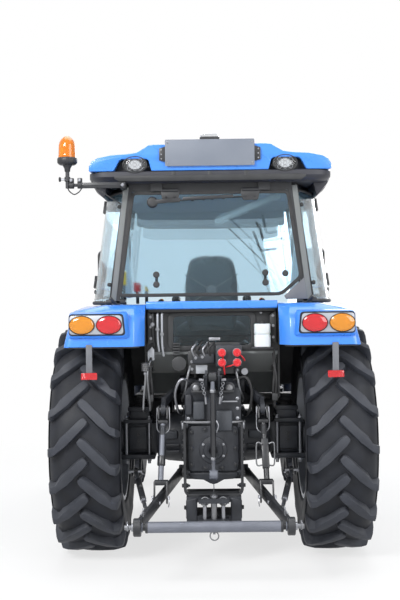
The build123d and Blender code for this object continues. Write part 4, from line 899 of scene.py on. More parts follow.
class TRACTOR_OT_rear_lights(bpy.types.Operator):
    """Rear light clusters in their painted housings, and the red reflectors on their strips"""

    bl_idname = "tractor.rear_lights"
    bl_label = "Rear lights"

    def execute(self, context):
        housing, lights = Solid(), Solid()
        low, high = (0.512, 1.403), (0.836, 1.522)
        for side in SIDES.values():
            loops = []
            for grow in (0.030, 0.007, 0.0):
                corners = [(low[0] - grow, low[1] - grow * 0.8),
                    (high[0] + grow * 0.3, low[1] - grow * 0.8),
                    (high[0] + grow * 0.1, high[1] + grow * 0.5),
                    (low[0] + 0.012 - grow, high[1] + grow * 0.5)]
                corners = [(side * a, b) for a, b in corners]
                loops.append(softened(corners, 0.022, 4))
            front = [[at(a, depth, b) for a, b in loop]
                for loop, depth in zip(loops, (-0.628, -0.664, -0.664))]
            foot = [at(a, -0.590, b) for a, b in loops[0]]
            inner = [at(a, -0.640, b) for a, b in loops[1]]
            housing.loft([foot, front[0], front[1], inner], "blue paint", 0.002)
            # black plate inside the raised rim, standing for the shade in the lamps' recess (painted shade)
            housing.plate(loops[1], -0.652, -0.640, "black plastic", 0.001)
            housing.plate([(a * 0.985 + side * 0.012, b * 0.94 + 0.0862) for a, b in loops[2]], -0.657,
                -0.650, "rim silver", 0.002)
            housing.plate(rounded((side * 0.722 - 0.0185, 1.142), (side * 0.722 + 0.0185, 1.345), 0.006),
                -0.648, -0.641, "lamp grey", 0.002)
            for x, colour in ((0.602, "red lens"), (0.762, "amber lens")):
                centre = at(side * x, -0.656, 1.460)
                # a black collar round each lens, a dark ring standing for the recess's shade (painted shade)
                dome(housing, centre, 0.077, 0.056, [(0, 0.90), (0, 1.0), (0.006, 1.0), (0.007, 0.965),
                    (0.002, 0.95), (0.001, 0.90)], "black plastic")
                dome(lights, centre, 0.073, 0.052, [(0, 0.01), (0, 1.0), (0.008, 1.0), (0.014, 0.95),
                    (0.019, 0.80), (0.0212, 0.5), (0.0215, 0.01)], colour)
                dome(lights, centre + Vector((0.012, -0.017, 0.002)), 0.026, 0.022,
                     [(0, 0.01), (0, 1.0), (0.0045, 0.9), (0.005, 0.5), (0.0055, 0.01)], colour)
                for step in (0.62, 0.82):
                    ring = [(a, centre.y - mix(0.0225, 0.0172, step), b)
                            for a, b in ellipse((centre.x, centre.z), 0.073 * step, 0.052 * step, 40)]
                    lights.pipe([*ring, ring[0]], 0.0012, colour, 5, 1)
            outline = rounded((side * 0.722 - 0.047, 1.140), (side * 0.722 + 0.047, 1.180), 0.005)
            lights.plate(outline, -0.655, -0.648, "red lens", 0.002)
            for i in range(5):
                z = 1.146 + i * 0.007
                lights.block(at(side * 0.722 - 0.042, -0.6565, z), at(side * 0.722 + 0.042, -0.654,
                    z + 0.0035), "red lens", 0.001)
        housing.piece("lamp_housings", "chassis", "lamp_housings", slot="lamp_grey")
        lights.piece("rear_lights", "chassis", "rear_lights", slot="lens_red")
        return {"FINISHED"}


# ------------------------------------------------------------------ roof

ROOF_PLAN = [(0.735, -0.450), (0.780, 0.300), (0.760, 1.100), (0.700, 1.380), (0.560, 1.500)]


def roof_ring(inset, z, rear=-0.450):
    """The roof's outline drawn in by an inset, at a height, from a rear edge onwards."""
    middle = 0.525
    plan = softened(both_ways([(x, max(y, rear)) for x, y in ROOF_PLAN]), 0.12, 5)
    return [at(x * (1 - inset / 0.78), middle + (y - middle) * (1 - inset / 0.975), z) for x, y in plan]


class TRACTOR_OT_roof(bpy.types.Operator):
    """Roof: a dark lower tray and the painted shell with its hump and lamp recesses"""

    bl_idname = "tractor.roof"
    bl_label = "Roof"

    def execute(self, context):
        tray = Solid()
        levels = [(0.075, 2.318), (0.030, 2.322), (0.010, 2.336), (0.0, 2.352), (0.0, 2.380), (0.010, 2.386)]
        tray.loft([roof_ring(inset, z) for inset, z in levels], "roof plastic")
        for side in SIDES.values():
            skirt = [(side * 0.600, 2.330), (side * 0.735, 2.345), (side * 0.728, 2.318),
                (side * 0.664, 2.240), (side * 0.655, 2.245), (side * 0.640, 2.318)]
            tray.plate(skirt, -0.300, 0.12, "roof plastic", 0.012, 3)
        for x in (-0.22, 0.0, 0.22):
            tray.block(at(x - 0.012, -0.452, 2.325), at(x + 0.012, -0.440, 2.381), "black plastic", 0.003)
        tray.plate(both_ways([(0.55, 2.322), (0.58, 2.34), (0.58, 2.352), (0.54, 2.358)]), -0.457, -0.44,
            "black plastic", 0.003)
        tray.piece("roof_base", "chassis", "roof_base", slot="roof_grey")
        shell = Solid()
        edge = context.scene.tractor.roof_edge
        rings = [(0.0, 2.386)]
        for i in range(7):
            turn = math.radians(90 * i / 6)
            rings.append((edge * (1 - math.cos(turn)), 2.490 - edge + edge * math.sin(turn)))
        rings += [(edge + 0.12, 2.493), (edge + 0.35, 2.496), (edge + 0.60, 2.497)]
        shell.loft([roof_ring(inset, z, -0.380) for inset, z in rings], "blue paint")
        right = [(0.0, 2.386), (0.355, 2.386), (0.372, 2.450), (0.385, 2.459), (0.535, 2.459),
            (0.550, 2.450), (0.585, 2.386), (0.735, 2.386), (0.734, 2.418), (0.718, 2.446), (0.680, 2.468),
            (0.60, 2.484), (0.50, 2.490), (0.445, 2.498), (0.405, 2.520), (0.372, 2.541), (0.34, 2.545)]
        outline = right + [(0.0, 2.545)] + [(-a, b) for a, b in reversed(right[1:])]
        shell.plate(outline, -0.450, -0.372, "blue paint", 0.006, 3)
        hump = [(-0.415, 0.93), (-0.300, 1.0), (0.75, 1.0), (0.95, 0.86), (1.05, 0.50)]
        sections = []
        for d, share in hump:
            top = mix(2.485, 2.550, share)
            profile = [(0.455, 2.484), (0.420, mix(2.484, top, 0.45)), (0.385, mix(2.484, top, 0.86)),
                (0.345, top), (0.0, top)]
            full = profile[:-1] + [(-a, b) for a, b in reversed(profile[:-1])]
            sections.append([at(a, d, b) for a, b in full])
        shell.loft(sections, "blue paint", 0.006)
        for side in SIDES.values():
            shell.plate([(side * 0.350, 2.388), (side * 0.590, 2.388), (side * 0.550, 2.462),
                (side * 0.370, 2.462)], -0.385, -0.376, "black plastic", 0.002)
        shell.piece("roof_shell", "chassis", "roof_shell", slot="body_blue")
        return {"FINISHED"}


class TRACTOR_OT_roof_fittings(bpy.types.Operator):
    """Work lamps, the bare plate board with its lamp, and the beacon on its arm"""

    bl_idname = "tractor.roof_fittings"
    bl_label = "Roof fittings"

    def execute(self, context):
        lamps = Solid()
        for side in SIDES.values():
            centre = at(side * 0.455, -0.400, 2.424)
            dome(lamps, centre, 0.075, 0.052, [(0, 0.01), (0, 0.72), (0.022, 0.93), (0.040, 1.0),
                (0.052, 1.0), (0.054, 0.93), (0.046, 0.90), (0.045, 0.01)], "black plastic")
            dome(lamps, centre + Vector((0, -0.045, 0)), 0.063, 0.042, [(0, 0.01), (0, 1.0), (0.0012, 0.2),
                (0.0013, 0.01)], "chrome")
            dome(lamps, centre + Vector((0, -0.049, 0)), 0.064, 0.043, [(0, 0.01), (0, 1.0), (0.003, 0.9),
                (0.005, 0.01)], "lamp glass")
            for row in (-1, 0, 1):
                for column in (-1, 0, 1):
                    place = centre + Vector((column * 0.034, -0.0455, row * 0.022))
                    lamps.lathe([(0, 0.010), (0, 0.0125), (0.0025, 0.0125), (0.0025, 0.010)], place,
                        REARWARDS, "zinc", 14, closed=True)
            lamps.block(centre + Vector((-0.012, -0.030, -0.068)), centre + Vector((0.012, -0.006, -0.046)),
                "black plastic", 0.004)
            lamps.bolt(centre + Vector((0, -0.030, -0.058)), REARWARDS, 0.013, "zinc")
            lamps.pipe([centre + Vector((side * -0.05, -0.02, -0.02)),
                centre + Vector((side * -0.085, -0.03, -0.01)), centre + Vector((side * -0.10, 0.0, 0.0))],
                0.005, "seal rubber")
        lamps.piece("work_lamps", "chassis", "work_lamps", slot="lens_clear")
        board = Solid()
        board.plate(rounded((-0.270, 2.410), (0.270, 2.570), 0.006), -0.470, -0.464, "board grey", 0.0015)
        for side in SIDES.values():
            board.plate([(side * 0.262, 2.435), (side * 0.306, 2.445), (side * 0.306, 2.520),
                (side * 0.262, 2.530)], -0.464, -0.458, "black paint", 0.0015)
            board.block(at(side * 0.225, -0.462, 2.420), at(side * 0.262, -0.449, 2.560), "black paint",
                0.003)
            for z in (2.455, 2.482, 2.509):
                board.bolt(at(side * 0.293, -0.464, z), REARWARDS, 0.009, "zinc", washer=False)
            for z in (2.428, 2.552):
                board.bolt(at(side * 0.256, -0.470, z), REARWARDS, 0.008, "zinc")
        board.plate(rounded((-0.060, 2.570), (0.060, 2.584), 0.005), -0.468, -0.412, "black plastic", 0.003)
        board.plate(rounded((-0.056, 2.584), (0.056, 2.609), 0.011, 5), -0.466, -0.414, "chrome", 0.005, 3)
        board.plate(rounded((-0.044, 2.588), (0.044, 2.602), 0.006), -0.4695, -0.4655, "lamp glass", 0.001)
        board.block(at(-0.030, -0.428, 2.545), at(0.030, -0.392, 2.588), "black plastic", 0.004)
        board.piece("plate_board", "chassis", "plate_board", slot="plate_grey")
        arm = Solid()
        x, y = -0.861, -0.470
        arm.bar(at(-0.530, y, 2.300), at(-0.800, y, 2.300), 0.030, 0.012, "black paint", FORWARDS)
        arm.block(at(-0.530, -0.484, 2.281), at(-0.790, -0.477, 2.316), "black paint", 0.002)
        arm.rod(at(-0.780, y, 2.302), at(x, y, 2.302), 0.010, "black paint")
        for low, high in ((-0.850, -0.822), (-0.800, -0.772)):
            arm.rod(at(low, y, 2.302), at(high, y, 2.302), 0.021, "black plastic")
            arm.block(at(low, y - 0.010, 2.300), at(high, y + 0.010, 2.345), "black plastic", 0.004)
            arm.bolt(at((low + high) / 2, y - 0.020, 2.330), REARWARDS, 0.014, "zinc")
        arm.rod(at(x, y, 2.283), at(x, y, 2.428), 0.012, "black paint")
        arm.rod(at(x, y, 2.325), at(x, y, 2.352), 0.018, "black plastic")
        arm.lathe([(0, 0), (0, 0.016), (0.020, 0.019), (0.040, 0.030), (0.044, 0.034), (0.044, 0)],
            at(x, y, 2.384), UPWARDS, "black plastic", 24, 0.001)
        arm.rod(at(x - 0.040, y, 2.338), at(x, y, 2.338), 0.006, "zinc", steps=10)
        arm.lathe([(0, 0), (0, 0.012), (0.006, 0.016), (0.012, 0.012), (0.014, 0)], at(x - 0.052, y, 2.338),
            (1, 0, 0), "black plastic", 16)
        arm.bar(at(-0.690, y, 2.284), at(-0.545, -0.400, 2.190), 0.016, 0.006, "black paint", FORWARDS)
        arm.block(at(-0.545, -0.484, 2.281), at(-0.510, -0.306, 2.316), "black paint", 0.004)
        arm.bolt(at(-0.528, -0.484, 2.299), REARWARDS, 0.015, "zinc")
        arm.pipe([at(x, y, 2.292), at(x + 0.01, y - 0.003, 2.268), at(x + 0.040, y - 0.006, 2.246),
            at(x + 0.070, y, 2.262), at(x + 0.095, y, 2.288), at(-0.70, y - 0.01, 2.286),
            at(-0.56, y - 0.01, 2.288)], 0.0035, "seal rubber", 8)
        arm.piece("beacon_arm", "chassis", "beacon_arm", slot="frame_black")
        beacon = Solid()
        beacon.lathe([(0, 0), (0, 0.046), (0.006, 0.055), (0.014, 0.060), (0.036, 0.060), (0.043, 0.056),
            (0.043, 0)], at(x, y, 2.425), UPWARDS, "black plastic", 40, 0.001)
        glass = [(0.040, 0.0), (0.040, 0.0535), (0.052, 0.0535)]
        for i in range(6):
            glass += [(0.056 + i * 0.010, 0.0532 - i * 0.0004), (0.061 + i * 0.010, 0.0522 - i * 0.0004)]
        glass += [(0.118, 0.0505), (0.136, 0.046), (0.152, 0.037), (0.164, 0.025), (0.173, 0.012),
            (0.175, 0.0)]
        beacon.lathe(glass, at(x, y, 2.425), UPWARDS, "beacon dome", 40)
        beacon.piece("beacon", "chassis", "beacon", slot="beacon_amber")
        return {"FINISHED"}


class TRACTOR_OT_mirrors(bpy.types.Operator):
    """Door mirrors in their black shells"""

    bl_idname = "tractor.mirrors"
    bl_label = "Mirrors"

    def execute(self, context):
        part = Solid()
        for side in SIDES.values():
            low, high = sorted((side * 0.702, side * 0.888))
            shapes = ((0.0, 1.332, 1.340, "black plastic"), (0.0, 1.338, 1.352, "black plastic"),
                      (0.012, 1.350, 1.362, "black plastic"), (0.030, 1.360, 1.369, "black plastic"))
            for inset, start, end, finish in shapes:
                outline = rounded((low + inset, 1.682 + inset), (high - inset, 1.998 - inset), 0.042, 6)
                part.plate(outline, start, end, finish, 0.003)
            outline = rounded((low + 0.012, 1.694), (high - 0.012, 1.986), 0.034, 6)
            # the mirror's face, its teal colour a painted reflection
            part.plate(outline, 1.3300, 1.3335, "mirror glass with painted reflection", 0.001)
            rim = [at(a, 1.3275, b) for a, b in rounded((low, 1.682), (high, 1.998), 0.042, 6)]
            edge = [at(a, 1.3275, b) for a, b in rounded((low + 0.020, 1.702), (high - 0.020, 1.978), 0.030,
                6)]
            band(part, rim, edge, Vector((0, 0.008, 0)), "black plastic", 0.002)
            arm = 1.290 - 0.120 * 0.53
            lug = side_x(arm, 1.980)
            part.pipe([at(side * (lug - 0.01), arm, 1.980), at(side * 0.735, arm, 1.980),
                at(side * 0.750, arm + 0.02, 1.980), at(side * 0.750, 1.338, 1.980)], 0.010, "black paint",
                12)
            part.rod(at(side * 0.750, 1.325, 1.980), at(side * 0.750, 1.345, 1.980), 0.018, "black plastic")
        part.piece("mirrors", "chassis", "mirrors", slot="frame_black")
        return {"FINISHED"}


# ------------------------------------------------------------------ cab

WINDOW_RUN = Vector((0, 0.045, 0.695)).normalized()
WINDOW_OUT = Vector((0, -WINDOW_RUN.z, WINDOW_RUN.y))
WINDOW_TOP = 0.669


def on_window(x, up, out=0.0):
    """A point on the rear window's outer face, up its slope and out from it."""
    return at(x, -0.375, BELT) + WINDOW_OUT * (0.025 + out) + WINDOW_RUN * up


def band(part, outer, inner, depth, finish, rounding=0.0015):
    """A flat frame between two loops of equally many points, as thick as a depth vector."""
    part.loft([[o, i, i + depth, o + depth] for o, i in zip(outer, inner)], finish, rounding, loop=True)


def inset_loop(points, distance):
    """A flat loop of 3-D points drawn in by a distance."""
    count = len(points)
    normal = sum(((points[i] - points[0]).cross(points[(i + 1) % count] - points[0]) for i in range(count)),
        Vector())
    normal.normalize()
    made = []
    for i, point in enumerate(points):
        before = (point - points[i - 1]).normalized()
        after = (points[(i + 1) % count] - point).normalized()
        first, second = normal.cross(before), normal.cross(after)
        inwards = (first + second).normalized()
        made.append(point + inwards * distance / max(0.4, inwards.dot(first)))
    return made


class TRACTOR_OT_cab_frame(bpy.types.Operator):
    """Cab pillars, rails, sills and hinges, with the mounts under the floor"""

    bl_idname = "tractor.cab_frame"
    bl_label = "Cab frame"

    def execute(self, context):
        part = Solid()
        copy_of(part, "cab_frame", "black paint", 0.003)
        for side in SIDES.values():
            low, mid, top = at(side * 0.600, -0.398, 1.590), at(side * 0.588, -0.402, BELT), at(side
                * 0.507, -0.355, 2.30)
            part.bar(mid + Vector((side * 0.010, 0, 0)), top + Vector((side * 0.010, 0, 0)), 0.034, 0.010,
                "trim grey", rounding=0.004)
            part.bar(low, mid, 0.070, 0.020, "black paint")
            part.plate([(side * 0.52, 1.580), (side * 0.655, 1.580), (side * 0.640, 1.612),
                (side * 0.530, 1.612)], -0.400, -0.34, "black plastic", 0.008)
        part.piece("cab_frame", "chassis", "cab_frame", slot="frame_black")
        mounts = Solid()
        for x in (-0.470, 0.470):
            for distance in (0.0, 1.150):
                mounts.lathe([(0, 0), (0, 0.043), (0.010, 0.044), (0.016, 0.036), (0.030, 0.045),
                    (0.044, 0.038), (0.054, 0.045), (0.064, 0.045), (0.065, 0)], at(x, distance, 0.920),
                    UPWARDS, "seal rubber", 32)
        mounts.piece("cab_mounts", "chassis", "cab_mounts", slot="mount_rubber")
        return {"FINISHED"}


class TRACTOR_OT_glazing(bpy.types.Operator):
    """Windscreen, quarter lights and their bolts and seals"""

    bl_idname = "tractor.glazing"
    bl_label = "Glazing"

    def execute(self, context):
        for node in ("cab_glass", "door_glass_left", "door_glass_right"):
            refinish(node, "cab glass")
        part = Solid()
        for side in SIDES.values():
            bolts = ((0.625, -0.372, 1.700), (0.560, -0.338, 2.180), (0.750, -0.02, 1.66),
                (0.670, -0.02, 2.20))
            for x, distance, z in bolts:
                axis = Vector((side * 0.35, -1, 0)) if distance < -0.1 else Vector((side, -0.3, 0))
                part.lathe([(-0.004, 0), (-0.004, 0.013), (0.006, 0.013), (0.009, 0.009), (0.010, 0)],
                           at(side * x, distance, z), axis, "black plastic", 20)
            foot = [at(side * 0.622, -0.375, 1.588), at(side * 0.745, -0.110, 1.588),
                at(side * 0.771, 0.162, 1.588)]
            part.pipe(foot, 0.012, "seal rubber", 8, 8)
            head = [at(side * 0.533, -0.330, 2.270), at(side * 0.650, -0.090, 2.270),
                at(side * 0.675, 0.162, 2.270)]
            part.pipe(head, 0.010, "seal rubber", 8, 8)
            part.pipe([foot[0], mix(foot[0], head[0], 0.5), head[0]], 0.008, "seal rubber", 8, 3)
            low = at(side * 0.712, 1.331, 1.60)
            part.pipe([low, mix(low, at(side * 0.600, 1.206, 2.31), 0.5), at(side * 0.600, 1.206, 2.31)],
                0.010, "seal rubber", 8, 3)
        wiper = [at(0.06, 1.270, 2.235), at(0.30, 1.302, 2.00), at(0.50, 1.324, 1.80)]
        part.pipe(wiper, 0.006, "black plastic", 8, 3)
        part.bar(at(0.33, 1.279, 2.13), at(0.52, 1.346, 1.66), 0.018, 0.010, "seal rubber")
        part.piece("glazing_trim", "chassis", slot="trim_black")
        return {"FINISHED"}


class TRACTOR_OT_rear_window(bpy.types.Operator):
    """Rear window pane with its dark border, hinges, knobs, wiper and corner plate"""

    bl_idname = "tractor.rear_window"
    bl_label = "Rear window"

    def execute(self, context):
        part = Solid()
        shape = [(-0.570, 0.020), (0.430, 0.020), (0.558, 0.130), (0.485, WINDOW_TOP), (-0.485, WINDOW_TOP)]
        outline = [tuple(p) for p in softened(shape, 0.035, 5)]
        back = [on_window(x, up, 0.0005) for x, up in outline]
        part.loft([back, [p + WINDOW_OUT * 0.005 for p in back]], "cab glass")
        band(part, [p + WINDOW_OUT * 0.004 for p in back],
            inset_loop([p + WINDOW_OUT * 0.004 for p in back], 0.021), WINDOW_OUT * 0.004, "seal rubber")
        for x in (-0.245, 0.245):
            hinge = [(x - 0.045, WINDOW_TOP - 0.062), (x + 0.045, WINDOW_TOP - 0.062),
                (x + 0.058, WINDOW_TOP - 0.018), (x + 0.058, WINDOW_TOP + 0.012),
                (x - 0.058, WINDOW_TOP + 0.012), (x - 0.058, WINDOW_TOP - 0.018)]
            face = [on_window(a, b, 0.006) for a, b in softened(hinge, 0.012, 3)]
            part.loft([face, [p + WINDOW_OUT * 0.012 for p in face]], "black plastic", 0.003)
            part.rod(on_window(x - 0.05, WINDOW_TOP + 0.004, 0.014), on_window(x + 0.05, WINDOW_TOP + 0.004,
                0.014), 0.012, "black paint")
            for offset in (-0.026, 0.026):
                part.bolt(on_window(x + offset, WINDOW_TOP - 0.036, 0.018), WINDOW_OUT, 0.012, "black paint")
        knobs = ((-0.335, 0.155), (-0.335, 0.095), (0.330, 0.160), (0.330, 0.100), (0.452, 0.155))
        for x, up in knobs:
            part.lathe([(-0.022, 0), (-0.022, 0.016), (0.0, 0.016), (0.006, 0.020), (0.012, 0.020),
                (0.016, 0.015), (0.017, 0)], on_window(x, up, 0.004), WINDOW_OUT, "black plastic", 24)
        part.bar(on_window(-0.335, 0.085, -0.012), on_window(-0.335, 0.165, -0.012), 0.018, 0.010,
            "black plastic")
        part.bar(on_window(0.330, 0.090, -0.012), on_window(0.330, 0.170, -0.012), 0.018, 0.010,
            "black plastic")
        part.piece("rear_window", "chassis", "rear_window", slot="cab_glass")
        trim = Solid()
        plate = [(0.455, -0.002), (0.590, -0.002), (0.585, 0.135), (0.578, 0.140), (0.443, 0.018)]
        face = [on_window(a, b, -0.003) for a, b in plate]
        trim.loft([face, [p + WINDOW_OUT * 0.007 for p in face]], "lamp grey", 0.002)
        trim.lathe([(0, 0), (0, 0.034), (0.020, 0.034), (0.030, 0.026), (0.031, 0)],
            on_window(-0.355, 0.600, 0.006), WINDOW_OUT, "black plastic", 28, 0.002)
        trim.bar(on_window(-0.355, 0.600, 0.030), on_window(-0.185, 0.612, 0.026), 0.026, 0.012,
            "black paint", UPWARDS)
        trim.bar(on_window(-0.190, 0.610, 0.020), on_window(0.205, 0.630, 0.014), 0.008, 0.020,
            "seal rubber", UPWARDS)
        trim.bar(on_window(-0.170, 0.618, 0.028), on_window(0.140, 0.632, 0.024), 0.020, 0.008,
            "black paint", UPWARDS)
        for share in (0.15, 0.4, 0.6, 0.85):
            place = mix(on_window(-0.150, 0.616, 0.020), on_window(0.120, 0.630, 0.016), share)
            trim.block(place - Vector((0.008, 0.008, 0.013)), place + Vector((0.008, 0.004, 0.010)),
                "black plastic", 0.002)
        trim.piece("rear_window_trim", "chassis", slot="trim_black")
        return {"FINISHED"}


class TRACTOR_OT_doors(bpy.types.Operator):
    """Doors with their frames, seals, handles and hinges"""

    bl_idname = "tractor.doors"
    bl_label = "Doors"

    def execute(self, context):
        for name, side in SIDES.items():
            part = Solid()
            copy_of(part, f"door_{name}", "black paint", 0.003)
            upper = [(0.257, 1.625), (1.227, 1.625), (1.115, 2.224), (0.257, 2.224)]
            lower = [(0.688, 1.575), (0.788, 1.080), (1.227, 1.080), (1.227, 1.575)]
            for corners in (upper, lower):
                loop = [at(side * side_x(d, z), d, z) for d, z in corners]
                shrink = inset_loop(loop, 0.010)
                middle = sum(loop, Vector()) / 4
                if (shrink[0] - middle).length > (loop[0] - middle).length:
                    shrink = inset_loop(loop, -0.010)
                depth = Vector((-side * 0.014, 0, 0))
                band(part, [p - depth * 0.15 for p in loop], [p - depth * 0.15 for p in shrink], depth,
                    "seal rubber")
            z, d = 1.250, 0.800
            x = side_x(d, z)
            part.block(at(side * (x - 0.002), d - 0.055, z - 0.060), at(side * (x + 0.010), d + 0.025,
                z + 0.060), "black plastic", 0.008)
            part.pipe([at(side * (x + 0.006), d - 0.030, z + 0.045), at(side * (x + 0.034), d - 0.025,
                z + 0.030), at(side * (x + 0.034), d - 0.020, z - 0.030), at(side * (x + 0.006), d - 0.015,
                z - 0.045)], 0.009, "black plastic", 10, 6)
            inner = side_x(1.16, 1.5) - 0.045
            part.pipe([at(side * inner, 1.20, 1.15), at(side * (inner - 0.04), 1.19, 1.20),
                at(side * (inner - 0.04), 1.19, 1.42), at(side * inner, 1.20, 1.47)], 0.010,
                "black plastic", 10, 6)
            part.piece(f"door_{name}", f"door_{name}", f"door_{name}", slot="frame_black")
        return {"FINISHED"}


class TRACTOR_OT_bulkhead(bpy.types.Operator):
    """Rear bulkhead with its painted sill and the lower window's frame"""

    bl_idname = "tractor.bulkhead"
    bl_label = "Rear bulkhead"

    def execute(self, context):
        part = Solid()
        outer = [at(a, -0.391, b) for a, b in rounded((-0.400, 1.285), (0.400, 1.546), 0.012, 8)]
        inner = [at(a, -0.391, b) for a, b in rounded((-0.240, 1.312), (0.240, 1.508), 0.030, 8)]
        band(part, outer, inner, Vector((0, 0.026, 0)), "black plastic")
        frame_out = [at(a, -0.402, b) for a, b in rounded((-0.268, 1.292), (0.268, 1.530), 0.045, 8)]
        frame_in = [at(a, -0.402, b) for a, b in rounded((-0.236, 1.322), (0.236, 1.502), 0.030, 8)]
        band(part, frame_out, frame_in, Vector((0, 0.012, 0)), "black plastic", 0.003)
        sill = [(-0.375, 1.594), (-0.452, 1.594), (-0.460, 1.586), (-0.460, 1.552), (-0.452, 1.546),
            (-0.375, 1.546)]
        part.prism([(AXLE_Y + d, z) for d, z in sill], -0.398, 0.398, "blue paint", "x", 0.004)
        part.prism([(AXLE_Y - 0.448, 1.548), (AXLE_Y - 0.385, 1.548), (AXLE_Y - 0.385, 1.520),
            (AXLE_Y - 0.440, 1.528)], -0.385, 0.385, "seal rubber", "x", 0.002)
        for side in SIDES.values():
            part.plate([(side * 0.392, 1.330), (side * 0.350, 1.350), (side * 0.350, 1.500),
                (side * 0.392, 1.540)], -0.425, -0.390, "black plastic", 0.006)
            for z in (1.37, 1.44, 1.50):
                part.bolt(at(side * 0.372, -0.425, z), REARWARDS, 0.013, "zinc")
            for x, z in ((0.300, 1.310), (0.300, 1.520), (0.150, 1.536)):
                part.bolt(at(side * x, -0.391, z), REARWARDS, 0.012, "zinc")
        part.piece("cab_bulkhead", "chassis", "cab_bulkhead", slot="body_blue")
        return {"FINISHED"}


class TRACTOR_OT_cab_floor(bpy.types.Operator):
    """Cab floor, raised platform, firewall and headliner"""

    bl_idname = "tractor.cab_floor"
    bl_label = "Cab floor"

    def execute(self, context):
        part = Solid()
        copy_of(part, "cab_floor", "trim grey", 0.003)
        for i in range(14):
            y = 0.18 + i * 0.060
            part.block(at(-0.380, y, 0.9995), at(0.380, y + 0.022, 1.006), "seal rubber", 0.002)
        part.piece("cab_floor", "chassis", "cab_floor", slot="trim_black")
        lining = Solid()
        ceiling = both_ways([(0.470, -0.280), (0.620, 0.150), (0.560, 1.060)])
        # ceiling lining in the headliner finish, lightened as painted light against the shade under the roof
        lining.prism([(a, AXLE_Y + b) for a, b in ceiling], 2.262, 2.300, "headliner", "z", 0.010, 3)
        front = [(0.555, 2.285), (0.560, 2.165), (0.470, 2.145), (0.0, 2.140)]
        full = front + [(-a, b) for a, b in reversed(front[:-1])]
        lining.plate(full, 1.070, 1.120, "headliner", 0.012, 3)
        lining.bar(at(0.030, -0.15, 2.100), at(0.440, -0.18, 2.258), 0.016, 0.040, "headliner", FORWARDS)
        lining.pipe([at(0.370, 1.05, 2.17), at(0.385, 1.05, 2.09), at(0.40, 1.05, 2.045),
            at(0.46, 1.07, 2.05), at(0.54, 1.10, 2.06)], 0.010, "black plastic", 10, 6)
        for side in SIDES.values():
            lining.bar(at(side * 0.545, 0.150, 1.62), at(side * 0.60, 0.165, 2.25), 0.050, 0.030,
                "headliner", rounding=0.008)
        lining.piece("headliner", "chassis", slot="trim_black")
        return {"FINISHED"}


# ------------------------------------------------------------------ seat and controls


def puff(made, swell):
    """Swell a pad by its inner pressure, no further than a limit, and smooth it."""
    remesh = made.modifiers.new("grid", "REMESH")
    remesh.mode = "VOXEL"
    remesh.voxel_size = 0.006
    depsgraph = bpy.context.evaluated_depsgraph_get()
    grid = bpy.data.meshes.new_from_object(made.evaluated_get(depsgraph), depsgraph=depsgraph)
    made.modifiers.clear()
    finishes = list(made.data.materials)
    made.data = grid
    grid.materials.clear()
    for finish in finishes:
        grid.materials.append(finish)
    before = [vertex.co.copy() for vertex in grid.vertices]
    cloth = made.modifiers.new("pressure", "CLOTH")
    cloth.settings.use_pressure = True
    cloth.settings.uniform_pressure_force = 4.0
    cloth.settings.tension_stiffness = 15.0
    cloth.settings.effector_weights.gravity = 0.0
    cloth.point_cache.frame_start = 1
    cloth.point_cache.frame_end = 20
    for step in range(1, 21):
        bpy.context.scene.frame_set(step)
    depsgraph = bpy.context.evaluated_depsgraph_get()
    swollen = made.evaluated_get(depsgraph).data
    after = [vertex.co.copy() for vertex in swollen.vertices]
    made.modifiers.clear()
    bpy.context.scene.frame_set(1)
    for vertex, start, end in zip(grid.vertices, before, after):
        move = end - start
        if move.length > swell:
            move = move.normalized() * swell
        vertex.co = start + move
    for polygon in grid.polygons:
        polygon.use_smooth = True
    relax = made.modifiers.new("relax", "SMOOTH")
    relax.iterations = 3
    relax.factor = 0.5


def cushion(name, sections, swell):
    """A padded form through sections of equally many points, swollen."""
    part = Solid()
    part.loft(sections, "seat cloth", 0.014)
    made = part.piece(name, "chassis", slot="seat_fabric")
    puff(made, swell)
    return made


